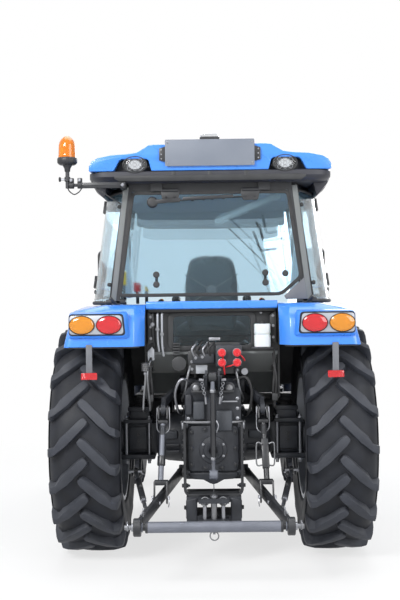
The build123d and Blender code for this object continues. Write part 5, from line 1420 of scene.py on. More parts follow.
class TRACTOR_OT_seat(bpy.types.Operator):
    """Driver's seat: its base, padded cushion and back with piping, and armrests"""

    bl_idname = "tractor.seat"
    bl_label = "Driver's seat"

    def execute(self, context):
        swell = context.scene.tractor.cushion_swell
        base = Solid()
        for i in range(5):
            low, inset = 1.150 + i * 0.030, 0.006 * (i % 2)
            base.prism([(a, AXLE_Y + b) for a, b in rounded((-0.190 + inset, -0.065 + inset),
                (0.190 - inset, 0.118 - inset), 0.03)], low, low + 0.030, "seal rubber", "z", 0.006)
        base.prism([(a, AXLE_Y + b) for a, b in rounded((-0.230, -0.160), (0.230, 0.330), 0.03)], 1.300,
            1.330, "black plastic", "z", 0.006)
        base.piece("seat_base", "chassis", "seat_base", slot="trim_black")
        seat = []
        for z, grow in ((1.345, 0.0), (1.360, 0.012), (1.400, 0.016), (1.425, 0.010), (1.436, -0.008)):
            outline = rounded((-0.225 - grow, -0.125 - grow), (0.225 + grow, 0.310 + grow), 0.06, 5)
            seat.append([at(a, b, z - 0.018 * math.exp(-(a / 0.1) ** 2) * (z > 1.42)) for a, b in outline])
        low_pad = cushion("seat_cushion_low", seat, swell)
        back = []
        for depth, grow in ((-0.250, -0.016), (-0.238, 0.0), (-0.205, 0.006), (-0.182, 0.0),
                (-0.172, -0.016)):
            shape = [(0.150, 1.400), (0.178, 1.560), (0.172, 1.740), (0.135, 1.868), (0.0, 1.888)]
            full = shape + [(-a, b) for a, b in reversed(shape[:-1])]
            outline = [tuple(p) for p in softened(full, 0.05, 4)]
            back.append([at(a * (1 + grow / 0.19), depth - (b - 1.6) * 0.02,
                1.64 + (b - 1.64) * (1 + grow / 0.25)) for a, b in outline])
        high_pad = cushion("seat_cushion_back", back, swell * 0.7)
        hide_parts("seat_cushions")
        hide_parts("seat_cushions")
        trim = Solid()
        ring = [at(a, b, 1.372) for a, b in rounded((-0.246, -0.146), (0.246, 0.331), 0.065, 6)]
        trim.pipe([*ring, ring[0]], 0.005, "black plastic", 8, 1)
        rear = -0.260
        for start, end in (((-0.165, 1.560), (0.165, 1.760)), ((-0.165, 1.760), (0.165, 1.560))):
            path = [at(mix(start[0], end[0], t), rear - 0.007, mix(start[1], end[1], t)) for t in (0, 0.25,
                0.5, 0.75, 1)]
            trim.pipe(path, 0.0035, "trim grey", 6, 2)
        trim.lathe([(0, 0), (0, 0.034), (0.010, 0.034), (0.016, 0.026), (0.017, 0)],
            at(0, rear - 0.004, 1.66), REARWARDS, "trim grey", 24, 0.002)
        for side in SIDES.values():
            trim.block(at(side * 0.205, -0.20, 1.585), at(side * 0.250, 0.12, 1.625), "black plastic", 0.014)
            trim.bar(at(side * 0.222, -0.20, 1.60), at(side * 0.210, -0.18, 1.50), 0.02, 0.03,
                "black plastic")
        trim.piece("seat_trim", "chassis", slot="seat_fabric")
        return {"FINISHED"}


class TRACTOR_OT_controls(bpy.types.Operator):
    """Side consoles with levers, dashboard, steering wheel and small cab fittings"""

    bl_idname = "tractor.controls"
    bl_label = "Controls"

    def execute(self, context):
        part = Solid()
        copy_of(part, "consoles", "trim grey", 0.004)
        for side in SIDES.values():
            for i, distance in enumerate((0.05, 0.12, 0.19, 0.27, 0.36)):
                top = mix(1.500, 1.420, (distance + 0.07) / 0.59)
                part.block(at(side * 0.300, distance - 0.020, top - 0.003),
                    at(side * 0.366, distance + 0.020, top + 0.004), "black plastic", 0.002)
                foot = at(side * 0.333, distance, top)
                tip = foot + Vector((0, -0.02, 0.085 + 0.012 * (i % 3)))
                part.rod(foot, tip, 0.005, "zinc", steps=10)
                knob = ("black plastic", "red plastic", "yellow plastic")[i % 3]
                part.lathe([(0, 0), (0, 0.008), (0.012, 0.016), (0.026, 0.017), (0.036, 0.010), (0.038, 0)],
                    tip, (0, -0.1, 1), knob, 16)
        part.block(at(-0.560, -0.22, 1.700), at(-0.535, -0.20, 1.790), "yellow plastic", 0.004)
        part.bar(at(-0.5475, -0.21, 1.60), at(-0.5475, -0.21, 1.71), 0.012, 0.012, "black plastic")
        part.block(at(-0.500, -0.06, 1.655), at(-0.455, -0.03, 1.715), "red plastic", 0.006)
        part.block(at(-0.430, -0.02, 1.650), at(-0.410, 0.0, 1.690), "yellow plastic", 0.004)
        for x in (-0.478, -0.42):
            part.bar(at(x, -0.03, 1.58), at(x, -0.03, 1.66), 0.02, 0.02, "black plastic")
        part.plate(rounded((-0.165, 1.395), (0.165, 1.495), 0.03, 5), 1.030, 1.060, "black plastic", 0.006)
        for x in (-0.085, 0.085):
            part.lathe([(0, 0.030), (0, 0.038), (0.006, 0.038), (0.006, 0.030)], at(x, 1.030, 1.447),
                REARWARDS, "zinc", 32, closed=True)
            part.lathe([(0, 0), (0, 0.030), (0.002, 0.030), (0.002, 0)], at(x, 1.030, 1.447), REARWARDS,
                "lamp glass", 32)
        for x in (-0.14, 0.10, 0.16):
            part.bar(at(x, 1.05, 1.10), at(x, 0.93, 1.065), 0.05, 0.010, "seal rubber")
            part.bar(at(x, 1.04, 1.10), at(x, 1.08, 1.22), 0.014, 0.014, "black paint")
        part.piece("consoles", "chassis", "consoles", slot="trim_black")
        wheel = Solid()
        centre, axis = at(0, 0.830, 1.655), Vector((0, -0.8, 0.6))
        middle = centre - axis * 0.012
        rim = [(math.cos(math.tau * i / 12) * 0.011, 0.180 + math.sin(math.tau * i / 12) * 0.013)
            for i in range(12)]
        wheel.lathe(rim, middle, axis, "black plastic", 64, closed=True)
        wheel.lathe([(-0.020, 0), (-0.020, 0.034), (-0.004, 0.044), (0.010, 0.038), (0.013, 0)], middle,
            axis, "black plastic", 32, 0.002)
        up = Vector((0, 0.6, 0.8))
        for turn in (90, 210, 330):
            ray = Vector((1, 0, 0)) * math.cos(math.radians(turn)) + up * math.sin(math.radians(turn))
            wheel.bar(middle + ray * 0.03, middle + ray * 0.172, 0.026, 0.010, "black plastic",
                ray.cross(axis), 0.004)
        wheel.rod(at(0, 0.850, 1.640), at(0, 1.090, 1.540), 0.022, "black plastic")
        wheel.lathe([(0, 0), (0, 0.045), (0.03, 0.038), (0.045, 0.028), (0.046, 0)], at(0, 1.090, 1.500),
            UPWARDS, "seal rubber", 28)
        wheel.bar(at(0.01, 0.98, 1.588), at(0.12, 0.95, 1.620), 0.010, 0.014, "black plastic", FORWARDS)
        wheel.piece("steering_wheel", "chassis", "steering_wheel", slot="trim_black")
        return {"FINISHED"}


# ------------------------------------------------------------------ driveline and hitch

LINK_PIVOT, LINK_EYE = (0.200, -0.180, 0.520), (0.420, -1.050, 0.363)
ROD_TOP = (0.300, -0.450, 0.940)
STUB_HEIGHT, LIFT_SHAFT_HEIGHT = 0.690, 1.065


def on_link(side, share, across=0.0, lift=0.0):
    """A point along a lower link, from its pivot to its eye."""
    x, distance, z = (mix(a, b, share) for a, b in zip(LINK_PIVOT, LINK_EYE))
    return at(side * (x + across), distance, z + lift)


def ring_of(part, centre, normal, radius, thickness, finish, share=1.0):
    """A bent wire ring, or part of one."""
    normal = Vector(normal).normalized()
    across = normal.orthogonal().normalized()
    other = normal.cross(across)
    turns = [math.tau * share * i / 20 for i in range(21)]
    part.pipe([Vector(centre) + (across * math.cos(t) + other * math.sin(t)) * radius for t in turns],
              thickness, finish, 8, 1)


class TRACTOR_OT_driveline(bpy.types.Operator):
    """Gearbox with its rear cover, lift housing and pipes, the rear axle and the power take-off"""

    bl_idname = "tractor.driveline"
    bl_label = "Driveline"

    def execute(self, context):
        part = Solid()
        copy_of(part, "transmission", "casting", 0.004)
        rear = -0.420
        part.plate(rounded((-0.155, 0.560), (0.155, 0.836), 0.03), rear - 0.017, rear - 0.0005, "casting",
            0.005, 3)
        for x, z in ((-0.135, 0.60), (-0.135, 0.70), (-0.135, 0.80), (0.135, 0.60), (0.135, 0.70),
                (0.135, 0.80), (-0.05, 0.815), (0.05, 0.815), (-0.05, 0.582), (0.05, 0.582)):
            part.lathe([(0, 0), (0, 0.018), (0.006, 0.016), (0.006, 0)], at(x, rear - 0.016, z), REARWARDS,
                "casting", 20)
            part.bolt(at(x, rear - 0.022, z), REARWARDS, 0.015, "black paint")
        part.lathe([(0, 0.026), (0, 0.085), (0.010, 0.082), (0.012, 0.060), (0.020, 0.056), (0.020, 0.026)],
            at(0, rear - 0.016, STUB_HEIGHT), REARWARDS, "casting", 40, 0.001, closed=True)
        for turn in range(6):
            a = math.tau * turn / 6
            part.bolt(at(0.070 * math.sin(a), rear - 0.027, STUB_HEIGHT + 0.070 * math.cos(a)), REARWARDS,
                0.012, "zinc")
        part.block(at(-0.195, rear - 0.030, 0.852), at(0.195, rear + 0.03, 0.866), "worn steel", 0.003)
        part.block(at(0.020, rear - 0.034, 0.806), at(0.117, rear - 0.014, 0.930), "engine grey", 0.008)
        part.block(at(-0.120, rear - 0.034, 0.875), at(-0.050, rear - 0.010, 0.985), "engine grey", 0.010)
        part.block(at(-0.170, rear - 0.026, 0.90), at(-0.125, rear, 1.03), "casting", 0.012)
        part.plate([(-0.150, 0.535), (-0.125, 0.512), (-0.062, 0.508), (-0.022, 0.486), (0.0, 0.480),
            (0.022, 0.486), (0.062, 0.508), (0.125, 0.512), (0.150, 0.535), (0.150, 0.552),
            (-0.150, 0.552)], rear - 0.010, rear + 0.13, "casting", 0.006, 3)
        part.pipe([at(0.0, rear - 0.004, 0.482), at(0.001, rear - 0.006, 0.455),
            at(0.0, rear - 0.004, 0.438)], 0.003, "zinc", 8)
        for side in SIDES.values():
            part.rod(at(side * 0.140, -0.150, LIFT_SHAFT_HEIGHT),
                at(side * 0.1742, -0.150, LIFT_SHAFT_HEIGHT), 0.064, "casting")
            part.rod(at(side * 0.100, rear + 0.004, 1.065), at(side * 0.100, rear - 0.020, 1.065), 0.036,
                "casting", steps=32)
            part.rod(at(side * 0.100, rear - 0.019, 1.065), at(side * 0.100, rear - 0.030, 1.065), 0.022,
                "worn steel")
            for z in (0.88, 0.94, 1.00):
                part.bolt(at(side * 0.150, rear, z), REARWARDS, 0.016, "zinc")
            for distance in (-0.30, -0.05, 0.30, 0.62, 0.95):
                part.lathe([(0, 0), (0, 0.020), (0.008, 0.018), (0.008, 0)], at(side * 0.169, distance,
                    0.930), (side, 0, 0), "casting", 20)
                part.bolt(at(side * 0.176, distance, 0.930), (side, 0, 0), 0.016, "black paint")
            for distance in (0.25, 0.70, 1.15):
                part.bar(at(side * 0.172, distance, 0.49), at(side * 0.172, distance, 0.90), 0.022, 0.018,
                    "casting", FORWARDS, 0.005)
            part.block(at(side * 0.165, 0.44, 0.50), at(side * 0.180, 0.98, 0.62), "casting", 0.006)
            # pins that hang by chains beside the top link
            top = at(side * 0.052, -0.505, 1.118)
            part.rod(top, top + Vector((side * 0.030, 0, 0.004)), 0.009, "zinc")
            for i in range(6):
                facing = (1, 0.3, 0) if i % 2 else (0.2, 1, 0)
                ring_of(part, at(side * (0.062 - 0.003 * i), -0.512, 1.098 - 0.014 * i), facing, 0.0085,
                    0.0022, "zinc")
            part.rod(at(side * 0.044, -0.512, 1.020), at(side * 0.040, -0.512, 0.975), 0.008, "zinc")
            part.pipe([at(side * 0.135, -0.405, 1.20), at(side * 0.150, -0.430, 1.14),
                at(side * 0.165, -0.420, 1.06), at(side * 0.185, -0.36, 1.00),
                at(side * 0.190, -0.20, 0.965)], 0.008, "worn steel", 10)
        part.bar(at(0.045, rear - 0.034, 0.985), at(0.15, rear - 0.034, 0.985), 0.016, 0.010, "zinc",
            FORWARDS)
        part.bar(at(0.045, rear - 0.030, 0.970), at(0.060, rear - 0.030, 1.02), 0.012, 0.010, "zinc",
            FORWARDS)
        part.bar(at(-0.13, rear - 0.025, 1.045), at(0.13, rear - 0.025, 1.045), 0.022, 0.014, "black paint",
            FORWARDS)
        # hoses from the lift housing to the couplers and the cab
        for i in range(4):
            x = -0.085 + i * 0.055
            part.pipe([at(x, -0.380, 1.155), at(x - 0.01, -0.398, 1.180), at(x - 0.02, -0.385, 1.130),
                at(x, -0.33, 1.118)], 0.009, "seal rubber", 10)
        part.pipe([at(-0.13, -0.41, 1.10), at(-0.19, -0.46, 1.12), at(-0.228, -0.45, 1.04),
            at(-0.215, -0.38, 0.93), at(-0.20, -0.30, 0.90)], 0.009, "zinc", 10)
        part.pipe([at(0.13, -0.41, 1.11), at(0.20, -0.46, 1.13), at(0.236, -0.46, 1.05),
            at(0.222, -0.40, 0.92), at(0.20, -0.30, 0.88)], 0.008, "seal rubber", 10)
        part.piece("transmission", "chassis", "transmission", slot="casting_dark")
        axle = Solid()
        for side in SIDES.values():
            start = at(side * 0.169, 0, REAR["radius"])
            axle.lathe([(0, 0), (0, 0.172), (0.020, 0.172), (0.024, 0.161), (0.060, 0.158), (0.120, 0.152),
                (0.165, 0.140), (0.190, 0.120), (0.191, 0)], start, (side, 0, 0), "casting", 56, 0.003)
            for i in range(12):
                a = math.tau * i / 12
                axle.bolt(start + Vector((side * 0.020, 0.1665 * math.sin(a), 0.1665 * math.cos(a))),
                    (side, 0, 0), 0.012, "zinc", washer=False)
            axle.block(at(side * 0.345, -0.065, 0.615), at(side * 0.592, 0.065, 0.815), "casting", 0.014)
            axle.rod(at(side * 0.576, 0, REAR["radius"]), at(side * 0.599, 0, REAR["radius"]), 0.100,
                "casting", steps=40)
            axle.block(at(side * 0.225, -0.172, 0.722), at(side * 0.305, -0.110, 0.775), "engine grey",
                0.010)
            for z in (0.640, 0.680):
                axle.rod(at(side * 0.215, -0.155, z), at(side * 0.300, -0.150, z), 0.010, "casting")
        axle.piece("axle_housings", "chassis", "axle_housings", slot="casting_dark")
        shaft = Solid()
        rings = []
        for y, scale in ((-0.400, 0.88), (-0.436, 0.88), (-0.440, 1.0), (-0.484, 1.0), (-0.489, 0.90)):
            ring = []
            for i in range(48):
                radius = 0.0175 if i % 8 in (0, 1, 2, 3) else 0.0150
                turn = math.tau * i / 48
                across, up = radius * scale * math.sin(turn), radius * scale * math.cos(turn)
                ring.append(at(across, y, STUB_HEIGHT + up))
            rings.append(ring)
        shaft.loft(rings, "worn steel")
        shaft.piece("pto_shaft", "pto_shaft", "pto_shaft", slot="steel")
        return {"FINISHED"}


class TRACTOR_OT_axle_seats(bpy.types.Operator):
    """Seats clamped over the rear axle with long studs, and the brackets under them"""

    bl_idname = "tractor.axle_seats"
    bl_label = "Axle seats"

    def execute(self, context):
        part = Solid()
        for side in SIDES.values():
            part.block(at(side * 0.390, -0.112, 0.815), at(side * 0.574, 0.112, 0.840), "casting", 0.005)
            part.block(at(side * 0.405, -0.092, 0.838), at(side * 0.535, 0.092, 0.895), "casting", 0.008)
            part.block(at(side * 0.398, -0.100, 0.890), at(side * 0.545, 0.100, 0.920), "casting", 0.006)
            part.block(at(side * 0.372, -0.112, 0.585), at(side * 0.588, 0.112, 0.615), "casting", 0.006)
            part.block(at(side * 0.425, -0.078, 0.640), at(side * 0.540, -0.064, 0.790), "casting", 0.006)
            for x in (0.410, 0.555):
                for y in (-0.090, 0.090):
                    part.rod(at(side * x, y, 0.557), at(side * x, y, 0.863), 0.010, "zinc", steps=20)
                    part.bolt(at(side * x, y, 0.840), UPWARDS, 0.024, "zinc")
                    part.bolt(at(side * x, y, 0.585), (0, 0, -1), 0.024, "zinc")
            for x in (0.460, 0.506):
                shape = [(-0.210, 0.497), (-0.196, 0.490), (-0.164, 0.490), (-0.150, 0.500),
                    (-0.070, 0.590), (-0.112, 0.590)]
                low, high = sorted((side * x, side * (x + 0.014)))
                part.prism([(AXLE_Y + d, z) for d, z in shape], low, high, "black paint", "x", 0.003)
            part.rod(at(side * 0.452, -0.180, 0.520), at(side * 0.530, -0.180, 0.520), 0.012, "zinc")
            part.bolt(at(side * 0.528, -0.180, 0.520), (side, 0, 0), 0.022, "zinc")
            ring_of(part, at(side * 0.448, -0.180, 0.506), (0.2, 0, 1), 0.014, 0.0022, "zinc")
            for z in (0.74, 0.70):
                part.bolt(at(side * 0.48, -0.080, z), REARWARDS, 0.016, "black paint")
        part.piece("axle_seats", "chassis", "axle_seats", slot="casting_dark")
        return {"FINISHED"}


class TRACTOR_OT_hitch_frame(bpy.types.Operator):
    """Upright hitch plates with their bolts, and the drawbar with its pins"""

    bl_idname = "tractor.hitch_frame"
    bl_label = "Hitch frame"

    def execute(self, context):
        part = Solid()
        outer = rounded((-0.180, 0.420), (0.180, 0.900), 0.045, 6)
        sections = []
        for a, b in outer:
            pull = 0.015
            inner = (a - math.copysign(pull, a), max(b, 0.420 + 0.0165) if b < 0.44 else b)
            sections.append(((a, min(b, 0.856)), (inner[0], min(inner[1], 0.856))))
        bottom = [pair for pair in sections if pair[0][1] < 0.8559]
        left = sorted([pair for pair in bottom if pair[0][0] < 0], key=lambda pair: (-pair[0][1],
            pair[0][0]))
        right = sorted([pair for pair in bottom if pair[0][0] > 0], key=lambda pair: (pair[0][1],
            pair[0][0]))
        path = [((-0.180, 0.856), (-0.165, 0.856))] + left + right + [((0.180, 0.856), (0.165, 0.856))]
        rings = [[at(o[0], -0.500, o[1]), at(i[0], -0.500, i[1]), at(i[0], -0.4205, i[1]),
            at(o[0], -0.4205, o[1])] for o, i in path]
        part.loft(rings, "black paint", 0.002)
        for side in SIDES.values():
            for z in (0.480, 0.560, 0.640, 0.720, 0.800):
                part.bolt(at(side * 0.180, -0.462, z), (side, 0, 0), 0.022, "black paint")
                if z < 0.6:
                    part.bolt(at(side * 0.165, -0.462, z), (-side, 0, 0), 0.024, "casting", nut=0.010)
            part.block(at(side * 0.150, -0.470, 0.828), at(side * 0.196, -0.425, 0.856), "casting", 0.005)
            part.lathe([(0, 0), (0, 0.026), (0.008, 0.026), (0.012, 0.020), (0.012, 0)],
                at(side * 0.180, -0.462, 0.842), (side, 0, 0), "zinc", 24)
        part.piece("hitch_frame", "chassis", "hitch_frame", slot="frame_black")
        bar = Solid()
        copy_of(bar, "drawbar", "casting", 0.003)
        for side in SIDES.values():
            bar.plate([(side * 0.100, 0.272), (side * 0.168, 0.285), (side * 0.168, 0.400),
                (side * 0.100, 0.415)], -0.506, -0.480, "casting", 0.008, 3)
            bar.rod(at(side * 0.055, -0.548, 0.268), at(side * 0.055, -0.548, 0.428), 0.0125, "zinc")
            ring_of(bar, at(side * 0.055, -0.566, 0.404), (0.15 * side, 1, 0.1), 0.025, 0.004, "worn steel")
            bar.bolt(at(side * 0.168, -0.450, 0.345), (side, 0, 0), 0.024, "black paint")
        bar.rod(at(0, -0.548, 0.240), at(0, -0.548, 0.430), 0.0185, "worn steel", steps=32)
        bar.lathe([(0, 0), (0, 0.024), (0.012, 0.024), (0.020, 0.012), (0.021, 0)], at(0, -0.548, 0.424),
            UPWARDS, "zinc", 24)
        bar.piece("drawbar", "chassis", "drawbar", slot="frame_black")
        return {"FINISHED"}


class TRACTOR_OT_lower_links(bpy.types.Operator):
    """Lower links with their ball ends, the tube between them and the check rods"""

    bl_idname = "tractor.lower_links"
    bl_label = "Lower links"

    def execute(self, context):
        part, tube, checks = Solid(), Solid(), Solid()
        for side in SIDES.values():
            part.bar(on_link(side, 0.02), on_link(side, 0.98), 0.022, 0.070, "black paint", rounding=0.005)
            for share, radius, half, finish in ((0.0, 0.041, 0.018, "black paint"),
                    (1.0, 0.050, 0.021, "black paint")):
                middle = on_link(side, share)
                hole = 0.030 if share else 0.026
                part.lathe([(-half, hole), (-half, radius - 0.004), (-half + 0.004, radius),
                    (half - 0.004, radius), (half, radius - 0.004), (half, hole)], middle, (1, 0, 0),
                    finish, 40, closed=True)
                ball = [(-half - 0.001, 0.0165), (-half - 0.001, 0.022), (-half * 0.5, hole),
                    (half * 0.5, hole), (half + 0.001, 0.022), (half + 0.001, 0.0165)]
                part.lathe(ball, middle, (1, 0, 0), "zinc", 32, closed=True)
            part.bar(on_link(side, 0.40), on_link(side, 0.64), 0.032, 0.045, "black paint", rounding=0.005)
            for share in (0.455, 0.605):
                for face in (-1, 1):
                    part.bolt(on_link(side, share, face * 0.016), (side * face, 0, 0), 0.016, "zinc",
                        washer=False)
            part.pipe([on_link(side, 0.93, -0.012, 0.035), on_link(side, 0.95, -0.02, 0.07),
                on_link(side, 0.99, -0.015, 0.062)], 0.004, "zinc", 8)
            end = on_link(side, 1.0)
            tube.rod(end - Vector((side * 0.026, 0, 0)), end + Vector((side * 0.070, 0, 0)), 0.0138,
                "worn steel", steps=28)
            tube.lathe([(0, 0), (0, 0.022), (0.010, 0.022), (0.012, 0.015), (0.012, 0)],
                end + Vector((side * 0.022, 0, 0)), (side, 0, 0), "zinc", 24)
            ring_of(tube, end + Vector((side * 0.054, 0, 0.006)), (1, 0.2, 0), 0.021, 0.0028, "zinc")
            tube.rod(end + Vector((side * 0.054, 0, -0.020)), end + Vector((side * 0.054, 0, 0.032)),
                0.0045, "zinc", steps=12)
            tube.rod(end - Vector((side * 0.050, 0, 0)), end - Vector((side * 0.022, 0, 0)), 0.019,
                "black paint", steps=28)
            tube.lathe([(0, 0), (0, 0.026), (0.006, 0.026), (0.008, 0.019), (0.008, 0)],
                end - Vector((side * 0.030, 0, 0)), (side, 0, 0), "tube grey", 28)
            start, stop = at(side * 0.490, -0.180, 0.520), on_link(side, 0.72, 0.030)
            checks.rod(mix(start, stop, 0.04), mix(start, stop, 0.96), 0.0115, "zinc", steps=20)
            checks.rod(mix(start, stop, 0.26), mix(start, stop, 0.74), 0.0185, "black paint", steps=24)
            for share in (0.24, 0.76):
                a, b = mix(start, stop, share - 0.02), mix(start, stop, share + 0.02)
                checks.lathe([(0, 0), (0, 0.019), ((b - a).length, 0.019), ((b - a).length, 0)], a, b - a,
                    "zinc", 6, 0.001)
            checks.rod(start - Vector((side * 0.012, 0, 0)), start + Vector((side * 0.012, 0, 0)), 0.024,
                "black paint", hole=0.0125, steps=28)
            checks.rod(stop - Vector((side * 0.013, 0, 0)), stop + Vector((side * 0.010, 0, 0)), 0.020,
                "black paint", steps=28)
            checks.bolt(stop + Vector((side * 0.008, 0, 0)), (side, 0, 0), 0.020, "zinc")
            checks.block(mix(start, stop, 0.50) + Vector((-0.008, -0.020, 0.012)), mix(start, stop, 0.50)
                + Vector((0.008, 0.020, 0.034)), "black plastic", 0.004)
        eye = on_link(1, 1.0)
        tube.rod((-0.375, eye.y, eye.z), (0.375, eye.y, eye.z), 0.0305, "tube grey", steps=40,
            rounding=0.003)
        for side in SIDES.values():
            tube.lathe([(0, 0), (0, 0.032), (0.012, 0.032), (0.014, 0.030), (0.014, 0)],
                Vector((side * 0.362, eye.y, eye.z)), (side, 0, 0), "black paint", 32)
        ring_of(tube, (0, eye.y, eye.z - 0.050), (0.2, 1, 0), 0.024, 0.0035, "worn steel")
        tube.lathe([(0, 0), (0, 0.007), (0.012, 0.007), (0.013, 0)], (0, eye.y, eye.z - 0.028), (0, 0, -1),
            "worn steel", 12)
        part.piece("lower_links", "lower_links", "lower_links", slot="frame_black")
        tube.piece("hitch_tube", "lower_links", "hitch_tube", slot="steel")
        checks.piece("stabilizers", "lower_links", "stabilizers", slot="frame_black")
        return {"FINISHED"}


class TRACTOR_OT_lift(bpy.types.Operator):
    """Lift arms, lift rods with their adjusters, and the top link"""

    bl_idname = "tractor.lift"
    bl_label = "Lift arms and rods"

    def execute(self, context):
        arms, rods, link = Solid(), Solid(), Solid()
        shaft = at(0, -0.150, LIFT_SHAFT_HEIGHT)
        arms.rod(shaft - Vector((0.205, 0, 0)), shaft + Vector((0.205, 0, 0)), 0.0395, "casting", steps=32)
        foot = tuple(mix(a, b, 0.53) for a, b in zip(LINK_PIVOT, LINK_EYE))
        for side in SIDES.values():
            root = shaft + Vector((side * 0.190, 0, 0))
            tip = at(side * ROD_TOP[0], ROD_TOP[1], ROD_TOP[2])
            bend = Vector((tip.x, mix(root.y, tip.y, 0.72), mix(root.z, tip.z, 0.72)))
            arms.rod(root - Vector((0.015, 0, 0)), root + Vector((0.015, 0, 0)), 0.060, "casting", steps=40,
                rounding=0.004)
            arms.bar(mix(root, bend, 0.06), bend, 0.028, 0.062, "casting", rounding=0.008)
            arms.rod(bend - Vector((0.0148, 0, 0)), bend + Vector((0.0148, 0, 0)), 0.034, "casting",
                steps=36, rounding=0.004)
            arms.bar(bend, mix(bend, tip, 0.94), 0.028, 0.062, "casting", rounding=0.008)
            arms.bar(mix(root, bend, 0.22), mix(root, bend, 0.92), 0.032, 0.038, "casting", rounding=0.006)
            arms.rod(tip - Vector((0.015, 0, 0)), tip + Vector((0.015, 0, 0)), 0.036, "casting",
                hole=0.0125, steps=36, rounding=0.003)
            arms.lathe([(0, 0), (0, 0.036), (0.005, 0.034), (0.006, 0.012), (0.006, 0)],
                root + Vector((side * 0.0145, 0, 0)), (side, 0, 0), "black paint", 32)
            low = at(side * foot[0], foot[1], foot[2])
            neck, crotch = mix(tip, low, 0.12), mix(tip, low, 0.80)
            for offset in (-0.026, 0.026):
                shift = Vector((offset, 0, 0))
                rods.bar(tip + shift, neck + shift, 0.010, 0.048, "black paint", rounding=0.003)
                rods.rod(tip + shift - Vector((0.005, 0, 0)), tip + shift + Vector((0.005, 0, 0)), 0.0245,
                    "black paint", steps=28)
            rods.block(neck - Vector((0.031, 0.024, 0.020)), neck + Vector((0.031, 0.024, 0.0)),
                "black paint", 0.006)
            rods.rod(tip - Vector((0.042, 0, 0)), tip + Vector((0.042, 0, 0)), 0.0118, "zinc", steps=24)
            for face in (-1, 1):
                rods.lathe([(0, 0), (0, 0.018), (0.004, 0.018), (0.005, 0)],
                    tip + Vector((face * 0.033, 0, 0)), (face, 0, 0), "zinc", 20)
                wire = ((0.036, -0.02, 0.01), (0.038, -0.026, -0.05), (0.036, -0.026, -0.115),
                    (0.010, -0.026, -0.140), (0, -0.026, -0.142))
                rods.pipe([tip + Vector((face * a, b, c)) for a, b, c in wire], 0.0035, "zinc", 8, 6)
            rods.rod(neck - Vector((0, 0, 0.01)), crotch, 0.0165, "tube grey" if side < 0
                else "black paint", steps=28)
            step = 0.0
            while step < 0.16:
                a = mix(neck, crotch, 0.10 + step)
                rods.lathe([(0, 0.016), (0.002, 0.0185), (0.004, 0.016)], a, crotch - neck, "worn steel",
                    20, closed=False)
                step += 0.016
            if side > 0:
                low_end, high_end = mix(neck, crotch, 0.82), mix(neck, crotch, 0.34)
                rods.bar(low_end, high_end, 0.042, 0.046, "black paint", rounding=0.006)
                for face in (-1, 1):
                    middle = mix(low_end, high_end, 0.5)
                    handle = ((0.020, -0.012, 0.062), (0.050, -0.014, 0.066), (0.054, -0.014, 0.0),
                        (0.050, -0.014, -0.064), (0.020, -0.012, -0.066))
                    rods.pipe([middle + Vector((face * a, b, c)) for a, b, c in handle], 0.0045,
                        "worn steel", 8, 6)
            else:
                rods.lathe([(0, 0), (0, 0.024), (0.055, 0.024), (0.060, 0.018), (0.060, 0)],
                    mix(neck, crotch, 0.60), crotch - neck, "black paint", 32, 0.001)
            inner, outer = -0.046 * side, 0.038 * side
            rods.block(crotch + Vector((inner, -0.023, -0.026)), crotch + Vector((outer, 0.023, 0.002)),
                "black paint", 0.006)
            for offset in (-0.041 * side, 0.033 * side):
                top = Vector((low.x + offset, crotch.y, crotch.z - 0.006))
                rods.bar(top, Vector((low.x + offset, low.y, low.z - 0.030)), 0.0095, 0.046, "black paint",
                    rounding=0.004)
                face = math.copysign(1, offset)
                rods.bolt(Vector((low.x + offset + face * 0.005, low.y, low.z + 0.006)), (face, 0, 0),
                    0.022, "zinc")
                clip = ((0.012, -0.01, 0.010), (0.014, -0.024, -0.02), (0.010, -0.022, -0.045))
                rods.pipe([Vector((low.x + offset + face * a, low.y + b, low.z + c)) for a, b, c in clip],
                    0.003, "zinc", 8)
        pin, eye = at(0, -0.530, 1.140), at(0, -0.530, 0.556)
        link.rod(pin + Vector((0, 0, -0.02)), eye + Vector((0, 0, 0.02)), 0.0130, "tube grey", steps=28)
        link.rod(mix(pin, eye, 0.16), mix(pin, eye, 0.82), 0.0165, "black paint", steps=32, rounding=0.003)
        for end in (pin, eye):
            link.lathe([(-0.0255, 0.0128), (-0.0255, 0.025), (-0.021, 0.029), (0.021, 0.029),
                (0.0255, 0.025), (0.0255, 0.0128)], end, (1, 0, 0), "black paint" if end is pin
                else "tube grey", 36, closed=True)
        for share in (0.145, 0.835):
            link.lathe([(0, 0), (0, 0.020), (0.018, 0.020), (0.018, 0)], mix(pin, eye, share - 0.015),
                (0, 0, -1), "zinc", 6, 0.001)
        for i in range(9):
            link.lathe([(0, 0.0125), (0.002, 0.015), (0.004, 0.0125)], mix(pin, eye, 0.855 + i * 0.010),
                (0, 0, -1), "worn steel", 20)
        link.pipe([mix(pin, eye, 0.5) + Vector((0.02, 0, 0.03)),
            mix(pin, eye, 0.5) + Vector((0.032, -0.004, 0.0)),
            mix(pin, eye, 0.5) + Vector((0.02, 0, -0.04))], 0.004, "zinc", 8)
        arms.piece("lift_arms", "lift_arms", "lift_arms", slot="casting_dark")
        rods.piece("lift_rods", "lift_rods", "lift_rods", slot="frame_black")
        link.piece("top_link", "top_link", "top_link", slot="frame_black")
        return {"FINISHED"}


